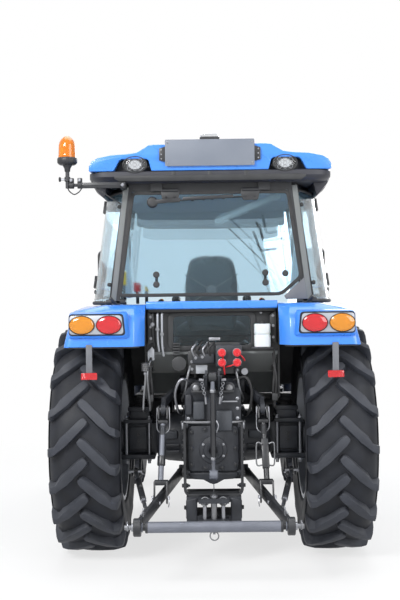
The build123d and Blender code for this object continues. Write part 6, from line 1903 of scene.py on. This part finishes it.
class TRACTOR_OT_rear_services(bpy.types.Operator):
    """Couplers with their red caps, the washer tank, the hand lever, pipes and cables"""

    bl_idname = "tractor.rear_services"
    bl_label = "Couplers and tank"

    def execute(self, context):
        part = Solid()
        plate = [(-0.148, 1.150), (0.172, 1.150), (0.172, 1.320), (0.160, 1.342), (-0.02, 1.342),
            (-0.035, 1.300), (-0.148, 1.290)]
        part.plate(plate, -0.412, -0.404, "black paint", 0.002)
        part.block(at(0.020, -0.480, 1.196), at(0.180, -0.411, 1.326), "casting", 0.006)
        part.block(at(-0.120, -0.455, 1.215), at(0.015, -0.411, 1.275), "casting", 0.008)
        for x in (0.058, 0.149):
            for z in (1.222, 1.282):
                part.lathe([(0, 0), (0, 0.026), (0.008, 0.026), (0.009, 0.022), (0.009, 0)],
                    at(x, -0.478, z), REARWARDS, "zinc", 28)
                part.lathe([(0, 0), (0, 0.024), (0.022, 0.024), (0.026, 0.021), (0.028, 0.014),
                    (0.026, 0.010), (0.026, 0)], at(x, -0.485, z), REARWARDS, "red plastic", 32, 0.001)
                part.lathe([(0, 0), (0, 0.008), (0.004, 0.007), (0.005, 0)], at(x, -0.509, z), REARWARDS,
                    "red plastic", 16)
        straps = (((0.058, 1.282), (0.063, 1.262), (0.066, 1.240), (0.072, 1.190), (0.074, 1.160)),
                  ((0.058, 1.222), (0.066, 1.198), (0.072, 1.170), (0.075, 1.150)),
                  ((0.149, 1.222), (0.125, 1.208), (0.100, 1.200), (0.084, 1.196)),
                  ((0.149, 1.282), (0.168, 1.268), (0.186, 1.250), (0.196, 1.232)))
        for strap in straps:
            points = [at(x, -0.507 + 0.010 * i, z) for i, (x, z) in enumerate(strap)]
            part.pipe(points, 0.0042, "red plastic", 8, 6)
        part.plate(rounded((-0.100, 1.152), (-0.031, 1.205), 0.003), -0.4145, -0.4115, "rim silver", 0.001)
        for x, z in ((-0.125, 1.225), (-0.125, 1.180), (0.045, 1.175), (0.150, 1.172), (-0.10, 1.25),
                (-0.06, 1.255)):
            part.bolt(at(x, -0.412 if z < 1.23 else -0.455, z), REARWARDS, 0.014, "zinc")
        for i, x in enumerate((-0.110, -0.080, -0.045, -0.010)):
            part.pipe([at(x, -0.45, 1.262), at(x - 0.012, -0.462, 1.300), at(x + 0.01, -0.44, 1.33),
                at(x + 0.02, -0.405, 1.345)], 0.007, "seal rubber" if i % 2 else "zinc", 10)
        part.block(at(-0.020, -0.425, 1.352), at(0.050, -0.405, 1.372), "zinc", 0.004)
        part.lathe([(0, 0), (0, 0.020), (0.010, 0.022), (0.024, 0.020), (0.026, 0)],
            at(0.195, -0.430, 1.165), REARWARDS, "zinc", 24)
        part.piece("coupler_block", "chassis", "coupler_block", slot="casting_dark")
        tank = Solid()
        for z0, z1, grow in ((1.312, 1.386, 0.0), (1.386, 1.392, -0.003), (1.392, 1.452, 0.0)):
            tank.prism(rounded((0.256 - grow, AXLE_Y - 0.478 - grow), (0.354 + grow, AXLE_Y - 0.396 + grow),
                0.016, 5), z0, z1, "white plastic", "z", 0.006, 3)
        tank.lathe([(0, 0), (0, 0.020), (0.012, 0.020), (0.016, 0.015), (0.017, 0)],
            at(0.305, -0.440, 1.450), UPWARDS, "black plastic", 24)
        tank.plate([(0.240, 1.300), (0.368, 1.300), (0.368, 1.312), (0.240, 1.312)], -0.470, -0.392,
            "black paint", 0.003)
        tank.pipe([at(0.352, -0.45, 1.325), at(0.372, -0.45, 1.30), at(0.376, -0.435, 1.24),
            at(0.378, -0.430, 1.16), at(0.376, -0.42, 1.08)], 0.005, "seal rubber", 8, 6)
        tank.piece("washer_tank", "chassis", "washer_tank", slot="white_plastic")
        extra = Solid()
        for i, x in enumerate((-0.360, -0.330, -0.303)):
            foot = 1.400 - 0.03 * i
            extra.pipe([at(x, -0.405, 1.540), at(x, -0.425, 1.50), at(x, -0.428, foot),
                at(x + 0.008, -0.410, foot - 0.08)], 0.007, "rim silver" if i else "black plastic", 10)
            extra.bolt(at(x, -0.436, foot + 0.055), REARWARDS, 0.018, "zinc")
        extra.plate([(-0.393, 1.235), (-0.352, 1.235), (-0.352, 1.300), (-0.366, 1.320), (-0.393, 1.290)],
            -0.418, -0.400, "rim silver", 0.004)
        for row in range(5):
            extra.block(at(-0.238, -0.430, 1.266 + row * 0.016), at(-0.196, -0.402, 1.277 + row * 0.016),
                "black plastic", 0.003)
        extra.pipe([at(-0.412, -0.585, 0.955), at(-0.406, -0.585, 1.05), at(-0.398, -0.585, 1.120),
            at(-0.397, -0.585, 1.180)], 0.006, "worn steel", 10)
        knob = [(0, 0)]
        for i in range(5):
            knob += [(0.004 + i * 0.010, 0.021), (0.009 + i * 0.010, 0.025), (0.0115 + i * 0.010, 0.021)]
        extra.lathe(knob + [(0.056, 0)], at(-0.397, -0.585, 1.178), UPWARDS, "worn steel", 32)
        extra.bolt(at(-0.397, -0.585, 1.165), UPWARDS, 0.020, "zinc")
        extra.bar(at(-0.412, -0.585, 0.960), at(-0.412, -0.40, 0.93), 0.008, 0.030, "black paint")
        for side in SIDES.values():
            lines = (((0.360, -0.400, 1.17), (0.366, -0.425, 1.20), (0.378, -0.445, 1.18),
                (0.386, -0.450, 1.10), (0.376, -0.41, 0.95)),
                ((0.362, -0.398, 1.21), (0.370, -0.430, 1.235), (0.384, -0.455, 1.21),
                (0.393, -0.470, 1.13), (0.380, -0.42, 0.93)))
            for k, line in enumerate(lines):
                if side < 0 or k == 0:
                    extra.pipe([at(side * x, d, z) for x, d, z in line], 0.0065, "worn steel" if k
                        else "seal rubber", 8, 6)
            extra.pipe([at(side * 0.372, -0.402, 1.27), at(side * 0.378, -0.44, 1.18),
                at(side * 0.368, -0.43, 1.05), at(side * 0.38, -0.36, 0.94)], 0.009, "seal rubber", 10, 6)
            extra.block(at(side * 0.360, -0.440, 0.985), at(side * 0.395, -0.400, 1.030), "black plastic",
                0.005)
        extra.lathe([(0, 0), (0, 0.036), (0.030, 0.038), (0.034, 0.044), (0.040, 0.044), (0.042, 0)],
            at(-0.203, -0.402, 1.215), REARWARDS, "black plastic", 32, 0.002)
        extra.piece("rear_pipes", "chassis", slot="steel")
        return {"FINISHED"}


# ------------------------------------------------------------------ bonnet and front

BONNET_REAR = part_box("bonnet")[0].y - AXLE_Y
BONNET_STATIONS = ((BONNET_REAR, 0.360, 1.550), (2.500, 0.335, 1.480), (2.930, 0.310, 1.400))


def bonnet_at(distance):
    """The bonnet's half width and top at a distance ahead of the rear axle."""
    (a, wide, high), (b, middle, centre), (c, narrow, low) = BONNET_STATIONS
    if distance < b:
        share = (distance - a) / (b - a)
        return mix(wide, middle, share), mix(high, centre, share)
    share = (distance - b) / (c - b)
    return mix(middle, narrow, share), mix(centre, low, share)


def bonnet_arch(distance, inset=0.0):
    """The bonnet's cross-section as points over its top, from its lower right edge to its left."""
    half, top = bonnet_at(distance)
    half, top = half - inset, top - inset
    right = [(half, 1.020), (half, 1.20), (half, top - 0.110), (half - 0.022, top - 0.055),
        (half - 0.070, top - 0.017), (half - 0.150, top - 0.002), (half * 0.28, top), (0.0, top)]
    return [at(a, distance, b) for a, b in right + [(-a, b) for a, b in reversed(right[:-1])]]


class TRACTOR_OT_bonnet(bpy.types.Operator):
    """Bonnet with its side vents, grille and head lamps"""

    bl_idname = "tractor.bonnet"
    bl_label = "Bonnet"

    def execute(self, context):
        part = Solid()
        stations = [BONNET_REAR, BONNET_REAR + 0.02, 1.7, 2.1, 2.5, 2.7, 2.85, 2.905]
        part.sheet([bonnet_arch(d) for d in stations], 0.010, "blue paint", 0.002)
        front = bonnet_arch(2.903)
        part.loft([front, [Vector((p.x * 0.985, AXLE_Y + 2.922, mix(p.z, 1.2, 0.015))) for p in front],
            [Vector((p.x * 0.955, AXLE_Y + 2.9295, mix(p.z, 1.2, 0.045))) for p in front]], "blue paint",
            0.004)
        for side in SIDES.values():
            for row in range(9):
                z = 1.080 + row * 0.026
                start, end = 1.62 + row * 0.012, 2.56 - row * 0.020
                a, b = bonnet_at(start)[0], bonnet_at(end)[0]
                part.bar(at(side * (a + 0.0005), start, z), at(side * (b + 0.0005), end, z), 0.006, 0.014,
                    "black plastic", rounding=0.002)
            part.bar(at(side * (bonnet_at(1.50)[0] + 0.001), 1.50, 1.350),
                at(side * (bonnet_at(2.84)[0] + 0.001), 2.84, 1.262), 0.006, 0.012, "rim silver")
            for row in range(4):
                z = 1.10 + row * 0.055
                a, b = bonnet_at(2.64)[0], bonnet_at(2.86)[0]
                part.bar(at(side * (a + 0.0005), 2.64, z), at(side * (b + 0.0005), 2.86, z + 0.012), 0.005,
                    0.030, "black plastic", rounding=0.002)
            part.rod(at(side * 0.160, BONNET_REAR + 0.025, 1.480), at(side * 0.185, BONNET_REAR + 0.025,
                1.480), 0.018, "black paint")
            part.block(at(side * 0.160, BONNET_REAR + 0.011, 1.480), at(side * 0.185, BONNET_REAR + 0.039,
                1.525), "black paint")
        part.pipe(bonnet_arch(BONNET_REAR + 0.002, 0.002), 0.006, "seal rubber", 8, 2)
        part.pipe([at(-0.05, 2.86, 1.415), at(-0.04, 2.88, 1.424), at(0.04, 2.88, 1.424),
            at(0.05, 2.86, 1.415)], 0.006, "black plastic", 8, 4)
        part.piece("bonnet", "bonnet", "bonnet", slot="body_blue")
        grille = Solid()
        y = AXLE_Y + 2.930
        outer = [Vector((a, y, b)) for a, b in rounded((-0.190, 1.040), (0.190, 1.340), 0.035, 6)]
        inner = [Vector((a, y, b)) for a, b in rounded((-0.172, 1.058), (0.172, 1.322), 0.025, 6)]
        band(grille, outer, inner, Vector((0, 0.016, 0)), "black plastic", 0.003)
        grille.block((-0.180, y, 1.050), (0.180, y + 0.003, 1.330), "seal rubber", 0.001)
        for row in range(11):
            z = 1.072 + row * 0.0235
            grille.block((-0.174, y + 0.002, z), (0.174, y + 0.012, z + 0.009), "black plastic", 0.002)
        for column in range(-3, 4):
            grille.block((column * 0.050 - 0.003, y + 0.002, 1.055), (column * 0.050 + 0.003, y + 0.010,
                1.325), "black plastic", 0.001)
        grille.block((-0.174, y + 0.010, 1.262), (0.174, y + 0.016, 1.272), "chrome", 0.002)
        grille.piece("grille", "bonnet", "grille", slot="trim_black")
        lamps = Solid()
        for side in SIDES.values():
            low, high = sorted((side * 0.200, side * 0.298))
            shape = [(low, 1.192), (high, 1.204), (high, 1.278), (low, 1.266)] if side > 0 else [(low,
                1.204), (high, 1.192), (high, 1.266), (low, 1.278)]
            outline = [tuple(p) for p in softened(shape, 0.020, 5)]
            lamps.prism(outline, y, y + 0.010, "black plastic", "y", 0.002)
            lamps.prism([(mix(a, side * 0.249, 0.08), mix(b, 1.235, 0.10)) for a, b in outline], y + 0.008,
                y + 0.016, "lamp glass", "y", 0.003)
            for x in (0.227, 0.269):
                lamps.lathe([(0, 0), (0, 0.017), (0.003, 0.017), (0.0015, 0.008), (0.001, 0)],
                    Vector((side * x, y + 0.0095, 1.235)), FORWARDS, "chrome", 24)
        lamps.piece("head_lamps", "bonnet", "head_lamps", slot="lens_clear")
        return {"FINISHED"}


class TRACTOR_OT_engine(bpy.types.Operator):
    """Engine, radiator, frame rails and silencer"""

    bl_idname = "tractor.engine"
    bl_label = "Engine"

    def execute(self, context):
        part = Solid()
        copy_of(part, "engine", "engine grey", 0.006)
        for side in SIDES.values():
            for i in range(9):
                d = 1.34 + i * 0.085
                part.bar(at(side * 0.170, d, 0.60), at(side * 0.170, d, 0.98), 0.012, 0.022, "engine grey",
                    FORWARDS, 0.004)
            part.block(at(side * 0.165, 1.32, 0.985), at(side * 0.182, 2.06, 1.010), "engine grey", 0.004)
            part.block(at(side * 0.160, 1.32, 0.640), at(side * 0.180, 2.06, 0.660), "engine grey", 0.004)
            for i in range(8):
                part.bolt(at(side * 0.180, 1.36 + i * 0.095, 0.650), (side, 0, 0), 0.013, "zinc")
            for i in range(4):
                part.pipe([at(side * 0.165, 1.45 + i * 0.16, 1.20), at(side * 0.215, 1.46 + i * 0.16, 1.19),
                    at(side * 0.235, 1.50 + i * 0.14, 1.12), at(side * 0.235, 1.60 + i * 0.09, 1.06)], 0.018
                    if side > 0 else 0.006, "engine grey" if side > 0 else "worn steel", 12, 6)
        part.rod(at(-0.168, 1.62, 0.78), at(-0.255, 1.62, 0.78), 0.055, "black paint", steps=32,
            rounding=0.008)
        part.rod(at(-0.205, 1.85, 0.83), at(-0.205, 1.85, 0.98), 0.045, "white plastic", steps=32,
            rounding=0.008)
        part.rod(at(0.215, 1.42, 0.72), at(0.215, 1.64, 0.72), 0.042, "engine grey", steps=28,
            rounding=0.006)
        part.rod(at(0.0, 2.098, 1.02), at(0.0, 2.150, 1.02), 0.085, "black paint", steps=40, rounding=0.004)
        part.rod(at(0.0, 2.15, 1.10), at(0.0, 2.19, 1.10), 0.050, "engine grey", steps=28)
        for i in range(7):
            a = math.tau * i / 7
            ray = Vector((math.sin(a), 0, math.cos(a)))
            part.bar(at(0, 2.200, 1.10) + ray * 0.04, at(0, 2.215, 1.10) + ray * 0.215, 0.060, 0.005,
                "black plastic", ray.cross(Vector((0, 1, 0.4))), 0.001)
        part.piece("engine", "chassis", "engine", slot="casting_dark")
        core = Solid()
        low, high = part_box("radiator")
        core.block(low + Vector((0.03, 0.012, 0.02)), high - Vector((0.03, 0.012, 0.02)), "seal rubber",
            0.002)
        for x0, x1 in ((low.x, low.x + 0.032), (high.x - 0.032, high.x)):
            core.block((x0, low.y, low.z), (x1, high.y, high.z), "black paint", 0.005)
        for z0, z1 in ((low.z, low.z + 0.030), (high.z - 0.045, high.z)):
            core.block((low.x, low.y, z0), (high.x, high.y, z1), "black paint", 0.005)
        for i in range(38):
            x = mix(low.x + 0.036, high.x - 0.036, i / 37)
            core.block((x - 0.002, low.y + 0.008, low.z + 0.025), (x + 0.002, high.y - 0.008,
                high.z - 0.04), "worn steel", 0.0005)
        core.piece("radiator", "chassis", "radiator", slot="frame_black")
        rails = Solid()
        copy_of(rails, "front_frame", "black paint", 0.004)
        for side in SIDES.values():
            for d in (1.34, 1.46, 1.58, 2.00, 2.12, 2.42, 2.54, 2.80):
                rails.bolt(at(side * 0.220, d, 0.775), (side, 0, 0), 0.024, "zinc")
            for d in (2.36, 2.86):
                rails.bolt(at(side * 0.190, d, 0.865), UPWARDS, 0.020, "zinc")
        rails.rod(at(0, 2.970, 0.655), at(0, 2.970, 0.690), 0.014, "zinc")
        rails.piece("front_frame", "chassis", "front_frame", slot="frame_black")
        pipe = Solid()
        start = at(0.169, 1.420, 0.940)
        pipe.lathe([(0, 0.032), (0.010, 0.034), (0.020, 0.050), (0.036, 0.060), (0.205, 0.060),
            (0.222, 0.048), (0.231, 0.032), (0.231, 0.026), (0.0, 0.026)], start, (1, 0, 0), "engine grey",
            40, closed=True)
        for share in (0.060, 0.185):
            pipe.rod(start + Vector((share, 0, 0)), start + Vector((share + 0.018, 0, 0)), 0.062,
                "worn steel", hole=0.058, steps=40)
        pipe.rod(at(0.395, 1.420, 0.940), at(0.540, 1.360, 0.880), 0.030, "worn steel", hole=0.026, steps=32)
        pipe.piece("exhaust", "chassis", "exhaust", slot="casting_dark")
        return {"FINISHED"}


class TRACTOR_OT_front_axle(bpy.types.Operator):
    """Front axle beam, steered knuckles and the steering rod"""

    bl_idname = "tractor.front_axle"
    bl_label = "Front axle"

    def execute(self, context):
        part = Solid()
        copy_of(part, "front_axle", "casting", 0.005)
        centre = Vector((0, FRONT_AXLE.y, FRONT_AXLE.z))
        part.lathe([(0, 0), (0, 0.085), (0.018, 0.105), (0.05, 0.112), (0.09, 0.112), (0.12, 0.095),
            (0.135, 0.06), (0.136, 0)], centre + Vector((0, -0.135, -0.030)), FORWARDS, "casting", 40)
        for i in range(8):
            a = math.tau * i / 8
            part.bolt(centre + Vector((0.095 * math.sin(a), 0.108, 0.075 * math.cos(a))), FORWARDS, 0.014,
                "zinc")
        for side in SIDES.values():
            for x in (0.30, 0.42):
                part.bar(centre + Vector((side * x, -0.068, 0)), centre + Vector((side * x, 0.068, 0)),
                    0.020, 0.150, "casting", rounding=0.006)
            part.pipe([at(side * 0.21, 2.42, 0.545), at(side * 0.20, 2.44, 0.60),
                at(side * 0.12, 2.40, 0.66), at(side * 0.10, 2.38, 0.72)], 0.007, "seal rubber", 8, 6)
            part.rod(at(side * 0.218, 2.420, 0.520), at(side * 0.233, 2.420, 0.520), 0.038, "worn steel",
                hole=0.0148, steps=32)
        part.piece("front_axle", "chassis", "front_axle", slot="casting_dark")
        for name, side in SIDES.items():
            knuckle = Solid()
            copy_of(knuckle, f"knuckle_{name}", "casting", 0.005)
            for lift, way in ((0.1215, 1), (-0.1215, -1)):
                place = Vector((side * 0.600, FRONT_AXLE.y, FRONT_AXLE.z + lift))
                knuckle.lathe([(0, 0), (0, 0.044), (0.008, 0.042), (0.012, 0.030), (0.012, 0)], place,
                    (0, 0, way), "casting", 32)
                for i in range(4):
                    a = math.tau * (i + 0.5) / 4
                    knuckle.bolt(place + Vector((0.034 * math.sin(a), 0.034 * math.cos(a), way * 0.004)),
                        (0, 0, way), 0.011, "zinc")
            knuckle.piece(f"knuckle_{name}", f"knuckle_{name}", f"knuckle_{name}", slot="casting_dark")
        rod = Solid()
        copy_of(rod, "steering_rod", "worn steel", 0.002)
        for side in SIDES.values():
            rod.lathe([(0, 0.0145), (0, 0.024), (0.030, 0.024), (0.036, 0.0145)],
                at(side * 0.535, 2.420, 0.520), (side, 0, 0), "black paint", 24, closed=True)
        rod.piece("steering_rod", "steering_rod", "steering_rod", slot="steel")
        return {"FINISHED"}


class TRACTOR_OT_side_gear(bpy.types.Operator):
    """Fuel tank, battery box and the steps below the doors"""

    bl_idname = "tractor.side_gear"
    bl_label = "Tank, battery and steps"

    def execute(self, context):
        tank = Solid()
        low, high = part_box("fuel_tank")
        tank.prism(rounded((low.x, low.z), (high.x, high.z), 0.055, 6), low.y, high.y, "black plastic", "y",
            0.018, 3)
        for d in (low.y + 0.16, high.y - 0.16):
            strap = [Vector((a, d, b)) for a, b in rounded((low.x - 0.003, low.z - 0.003),
                (high.x + 0.003, high.z + 0.003), 0.057, 6)]
            inner = [Vector((a, d, b)) for a, b in rounded((low.x + 0.002, low.z + 0.002),
                (high.x - 0.002, high.z - 0.002), 0.052, 6)]
            band(tank, strap, inner, Vector((0, 0.030, 0)), "zinc", 0.001)
        tank.lathe([(0, 0), (0, 0.045), (0.006, 0.050), (0.022, 0.050), (0.026, 0.044), (0.027, 0)],
            (low.x + 0.10, high.y - 0.07, high.z - 0.004), UPWARDS, "seal rubber", 32)
        tank.piece("fuel_tank", "chassis", "fuel_tank", slot="trim_black")
        box = Solid()
        low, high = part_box("battery_box")
        box.prism(rounded((low.x, low.y), (high.x, high.y), 0.025, 5), low.z, high.z - 0.045,
            "black plastic", "z", 0.006)
        box.prism(rounded((low.x - 0.004, low.y - 0.004), (high.x + 0.004, high.y + 0.004), 0.028, 5),
            high.z - 0.045, high.z, "black plastic", "z", 0.010, 3)
        for d in (0.14, 0.40):
            box.bar((high.x + 0.004, low.y + d, high.z - 0.09), (high.x + 0.004, low.y + d, high.z - 0.02),
                0.030, 0.008, "zinc", FORWARDS)
        for i in range(6):
            box.bar((high.x, low.y + 0.06 + i * 0.085, low.z + 0.03), (high.x, low.y + 0.06 + i * 0.085,
                high.z - 0.08), 0.012, 0.010, "black plastic", FORWARDS)
        box.piece("battery_box", "chassis", "battery_box", slot="trim_black")
        steps = Solid()
        for side in SIDES.values():
            for d in (0.780, 1.190):
                shape = [(0.625, 0.430), (0.790, 0.430), (0.790, 0.475), (0.745, 0.700), (0.745, 0.960),
                    (0.625, 0.960)]
                outline = [(side * a, b) for a, b in shape]
                steps.plate(outline, d, d + 0.010, "black paint", 0.003)
            for z in (0.430, 0.700):
                low, high = sorted((side * 0.628, side * 0.790))
                steps.block((low, AXLE_Y + 0.785, z), (high, AXLE_Y + 1.195, z + 0.016), "black paint",
                    0.003)
                for i in range(5):
                    for k in range(12):
                        place = at(mix(low, high, (i + 0.5) / 5), 0.815 + k * 0.032, z + 0.014)
                        steps.lathe([(0, 0.006), (0, 0.0105), (0.008, 0.008), (0.008, 0.006)], place,
                            UPWARDS, "worn steel", 10, closed=True)
            for d in (0.83, 1.14):
                steps.bolt(at(side * 0.700, d, 0.9995), UPWARDS, 0.002, "zinc", washer=False)
            steps.pipe([at(side * 0.760, 0.774, 0.72), at(side * 0.775, 0.765, 0.78),
                at(side * 0.775, 0.765, 0.90), at(side * 0.755, 0.774, 0.955)], 0.011, "black paint", 10, 6)
        steps.piece("steps", "chassis", "steps", slot="frame_black")
        return {"FINISHED"}


# ------------------------------------------------------------------ studio


def white_for_camera(tree, plain, share):
    """Mix a plain shader with white for what the camera, gloss and glass see."""
    path = tree.nodes.new("ShaderNodeLightPath")
    seen = path.outputs["Is Camera Ray"]
    for name in ("Is Glossy Ray", "Is Transmission Ray"):
        add = tree.nodes.new("ShaderNodeMath")
        add.operation = "MAXIMUM"
        tree.links.new(seen, add.inputs[0])
        tree.links.new(path.outputs[name], add.inputs[1])
        seen = add.outputs[0]
    scale = tree.nodes.new("ShaderNodeMath")
    scale.operation = "MULTIPLY"
    if hasattr(share, "name"):
        tree.links.new(share, scale.inputs[1])
    else:
        scale.inputs[1].default_value = share
    tree.links.new(seen, scale.inputs[0])
    white = tree.nodes.new("ShaderNodeBackground" if plain.type == "BACKGROUND" else "ShaderNodeEmission")
    white.inputs["Color"].default_value = (1, 1, 1, 1)
    blend = tree.nodes.new("ShaderNodeMixShader")
    tree.links.new(scale.outputs[0], blend.inputs[0])
    tree.links.new(plain.outputs[0], blend.inputs[1])
    tree.links.new(white.outputs[0], blend.inputs[2])
    return blend.outputs[0]


CAMERA_BEHIND, CAMERA_HEIGHT = 6.5, 1.6
LIGHTS = (  # name, place, aim, size in metres, power in watts
    ("key", (-3.6, -6.5, 5.2), (0, -0.8, 1.1), 2.2, 440),
    ("fill", (4.4, -6.0, 3.4), (0, -0.8, 1.0), 3.5, 190),
    ("top", (0.0, 0.0, 6.5), (0, 0, 1), 5.0, 250),
    ("front", (2.5, 6.5, 3.5), (0, 0.8, 1.0), 3.5, 220))


def soft_light(name, place, aim, size, power):
    """A square soft light aimed at a point."""
    data = bpy.data.lights.new(name, "AREA")
    data.size = size
    data.energy = power
    made = bpy.data.objects.new(name, data)
    made.location = place
    made.rotation_euler = (Vector(aim) - Vector(place)).to_track_quat("-Z", "Y").to_euler()
    bpy.context.scene.collection.objects.link(made)


class TRACTOR_OT_studio(bpy.types.Operator):
    """Pale floor, soft lights and the camera behind the tractor"""

    bl_idname = "tractor.studio"
    bl_label = "Studio"

    def execute(self, context):
        scene = context.scene
        scene.view_settings.view_transform = "Standard"
        world = bpy.data.worlds.new("studio")
        scene.world = world
        world.use_nodes = True
        plain = world.node_tree.nodes["Background"]
        plain.inputs["Color"].default_value = (0.86, 0.93, 1.0, 1)
        plain.inputs["Strength"].default_value = 0.36
        world.node_tree.links.new(white_for_camera(world.node_tree, plain, 1.0),
                                  world.node_tree.nodes["World Output"].inputs["Surface"])
        part = bmesh.new()
        corners = [part.verts.new(point) for point in ((-14, -9, 0), (14, -9, 0), (14, 16, 0), (-14, 16, 0))]
        part.faces.new(corners)
        data = bpy.data.meshes.new("floor")
        part.to_mesh(data)
        part.free()
        floor = bpy.data.objects.new("floor", data)
        scene.collection.objects.link(floor)
        pale = bpy.data.materials.new("studio_floor")
        pale.use_nodes = True
        shader = pale.node_tree.nodes["Principled BSDF"]
        shader.inputs["Base Color"].default_value = (0.86, 0.86, 0.86, 1)
        shader.inputs["Roughness"].default_value = 0.9
        tree = pale.node_tree
        place = tree.nodes.new("ShaderNodeTexCoord")
        reach = tree.nodes.new("ShaderNodeVectorMath")
        reach.operation = "LENGTH"
        tree.links.new(place.outputs["Object"], reach.inputs[0])
        fade = tree.nodes.new("ShaderNodeMapRange")
        fade.inputs["From Min"].default_value = 1.6
        fade.inputs["From Max"].default_value = 4.5
        fade.inputs["To Min"].default_value = 0.70
        fade.inputs["To Max"].default_value = 1.0
        tree.links.new(reach.outputs["Value"], fade.inputs["Value"])
        pale.node_tree.links.new(white_for_camera(tree, shader, fade.outputs["Result"]),
                                 pale.node_tree.nodes["Material Output"].inputs["Surface"])
        data.materials.append(pale)
        for light in LIGHTS:
            soft_light(*light)
        data = bpy.data.cameras.new("camera")
        data.lens = scene.tractor.lens_length
        data.sensor_fit = "VERTICAL"
        data.sensor_width = 36.0
        data.sensor_height = 36.0
        camera = bpy.data.objects.new("camera", data)
        scene.collection.objects.link(camera)
        turn = (Matrix.Rotation(math.radians(0.66), 4, "Z") @ Matrix.Rotation(math.radians(90.0), 4, "X")
                @ Matrix.Rotation(math.radians(-0.7), 4, "Z"))
        camera.matrix_world = Matrix.Translation(at(0, -CAMERA_BEHIND, CAMERA_HEIGHT)) @ turn
        scene.camera = camera
        return {"FINISHED"}


# ------------------------------------------------------------------ the add-on

OPERATORS = (
    TRACTOR_OT_studio, TRACTOR_OT_wheels, TRACTOR_OT_fenders, TRACTOR_OT_rear_lights, TRACTOR_OT_roof,
    TRACTOR_OT_roof_fittings, TRACTOR_OT_mirrors, TRACTOR_OT_cab_frame, TRACTOR_OT_glazing,
    TRACTOR_OT_rear_window, TRACTOR_OT_doors, TRACTOR_OT_bulkhead, TRACTOR_OT_cab_floor, TRACTOR_OT_seat,
    TRACTOR_OT_controls, TRACTOR_OT_driveline, TRACTOR_OT_axle_seats, TRACTOR_OT_hitch_frame,
    TRACTOR_OT_lower_links, TRACTOR_OT_lift, TRACTOR_OT_rear_services, TRACTOR_OT_bonnet,
    TRACTOR_OT_engine, TRACTOR_OT_front_axle, TRACTOR_OT_side_gear,
)


class TRACTOR_PT_panel(bpy.types.Panel):
    """Sizes and pieces of the tractor"""

    bl_idname = "TRACTOR_PT_panel"
    bl_label = "Tractor"
    bl_space_type = "VIEW_3D"
    bl_region_type = "UI"
    bl_category = "Tractor"

    def draw(self, context):
        for name in TractorSettings.__annotations__:
            self.layout.prop(context.scene.tractor, name)
        for operator in OPERATORS:
            self.layout.operator(operator.bl_idname)


CLASSES = (TractorSettings, *OPERATORS, TRACTOR_PT_panel)


def register():
    """Make the settings, operators and panel known."""
    for each in CLASSES:
        bpy.utils.register_class(each)
    bpy.types.Scene.tractor = PointerProperty(type=TractorSettings)


def unregister():
    """Take them away again."""
    del bpy.types.Scene.tractor
    for each in reversed(CLASSES):
        bpy.utils.unregister_class(each)


def main():
    """Build every piece."""
    register()
    for operator in OPERATORS:
        group, name = operator.bl_idname.split(".")
        getattr(getattr(bpy.ops, group), name)()


if __name__ == "__main__":
    main()
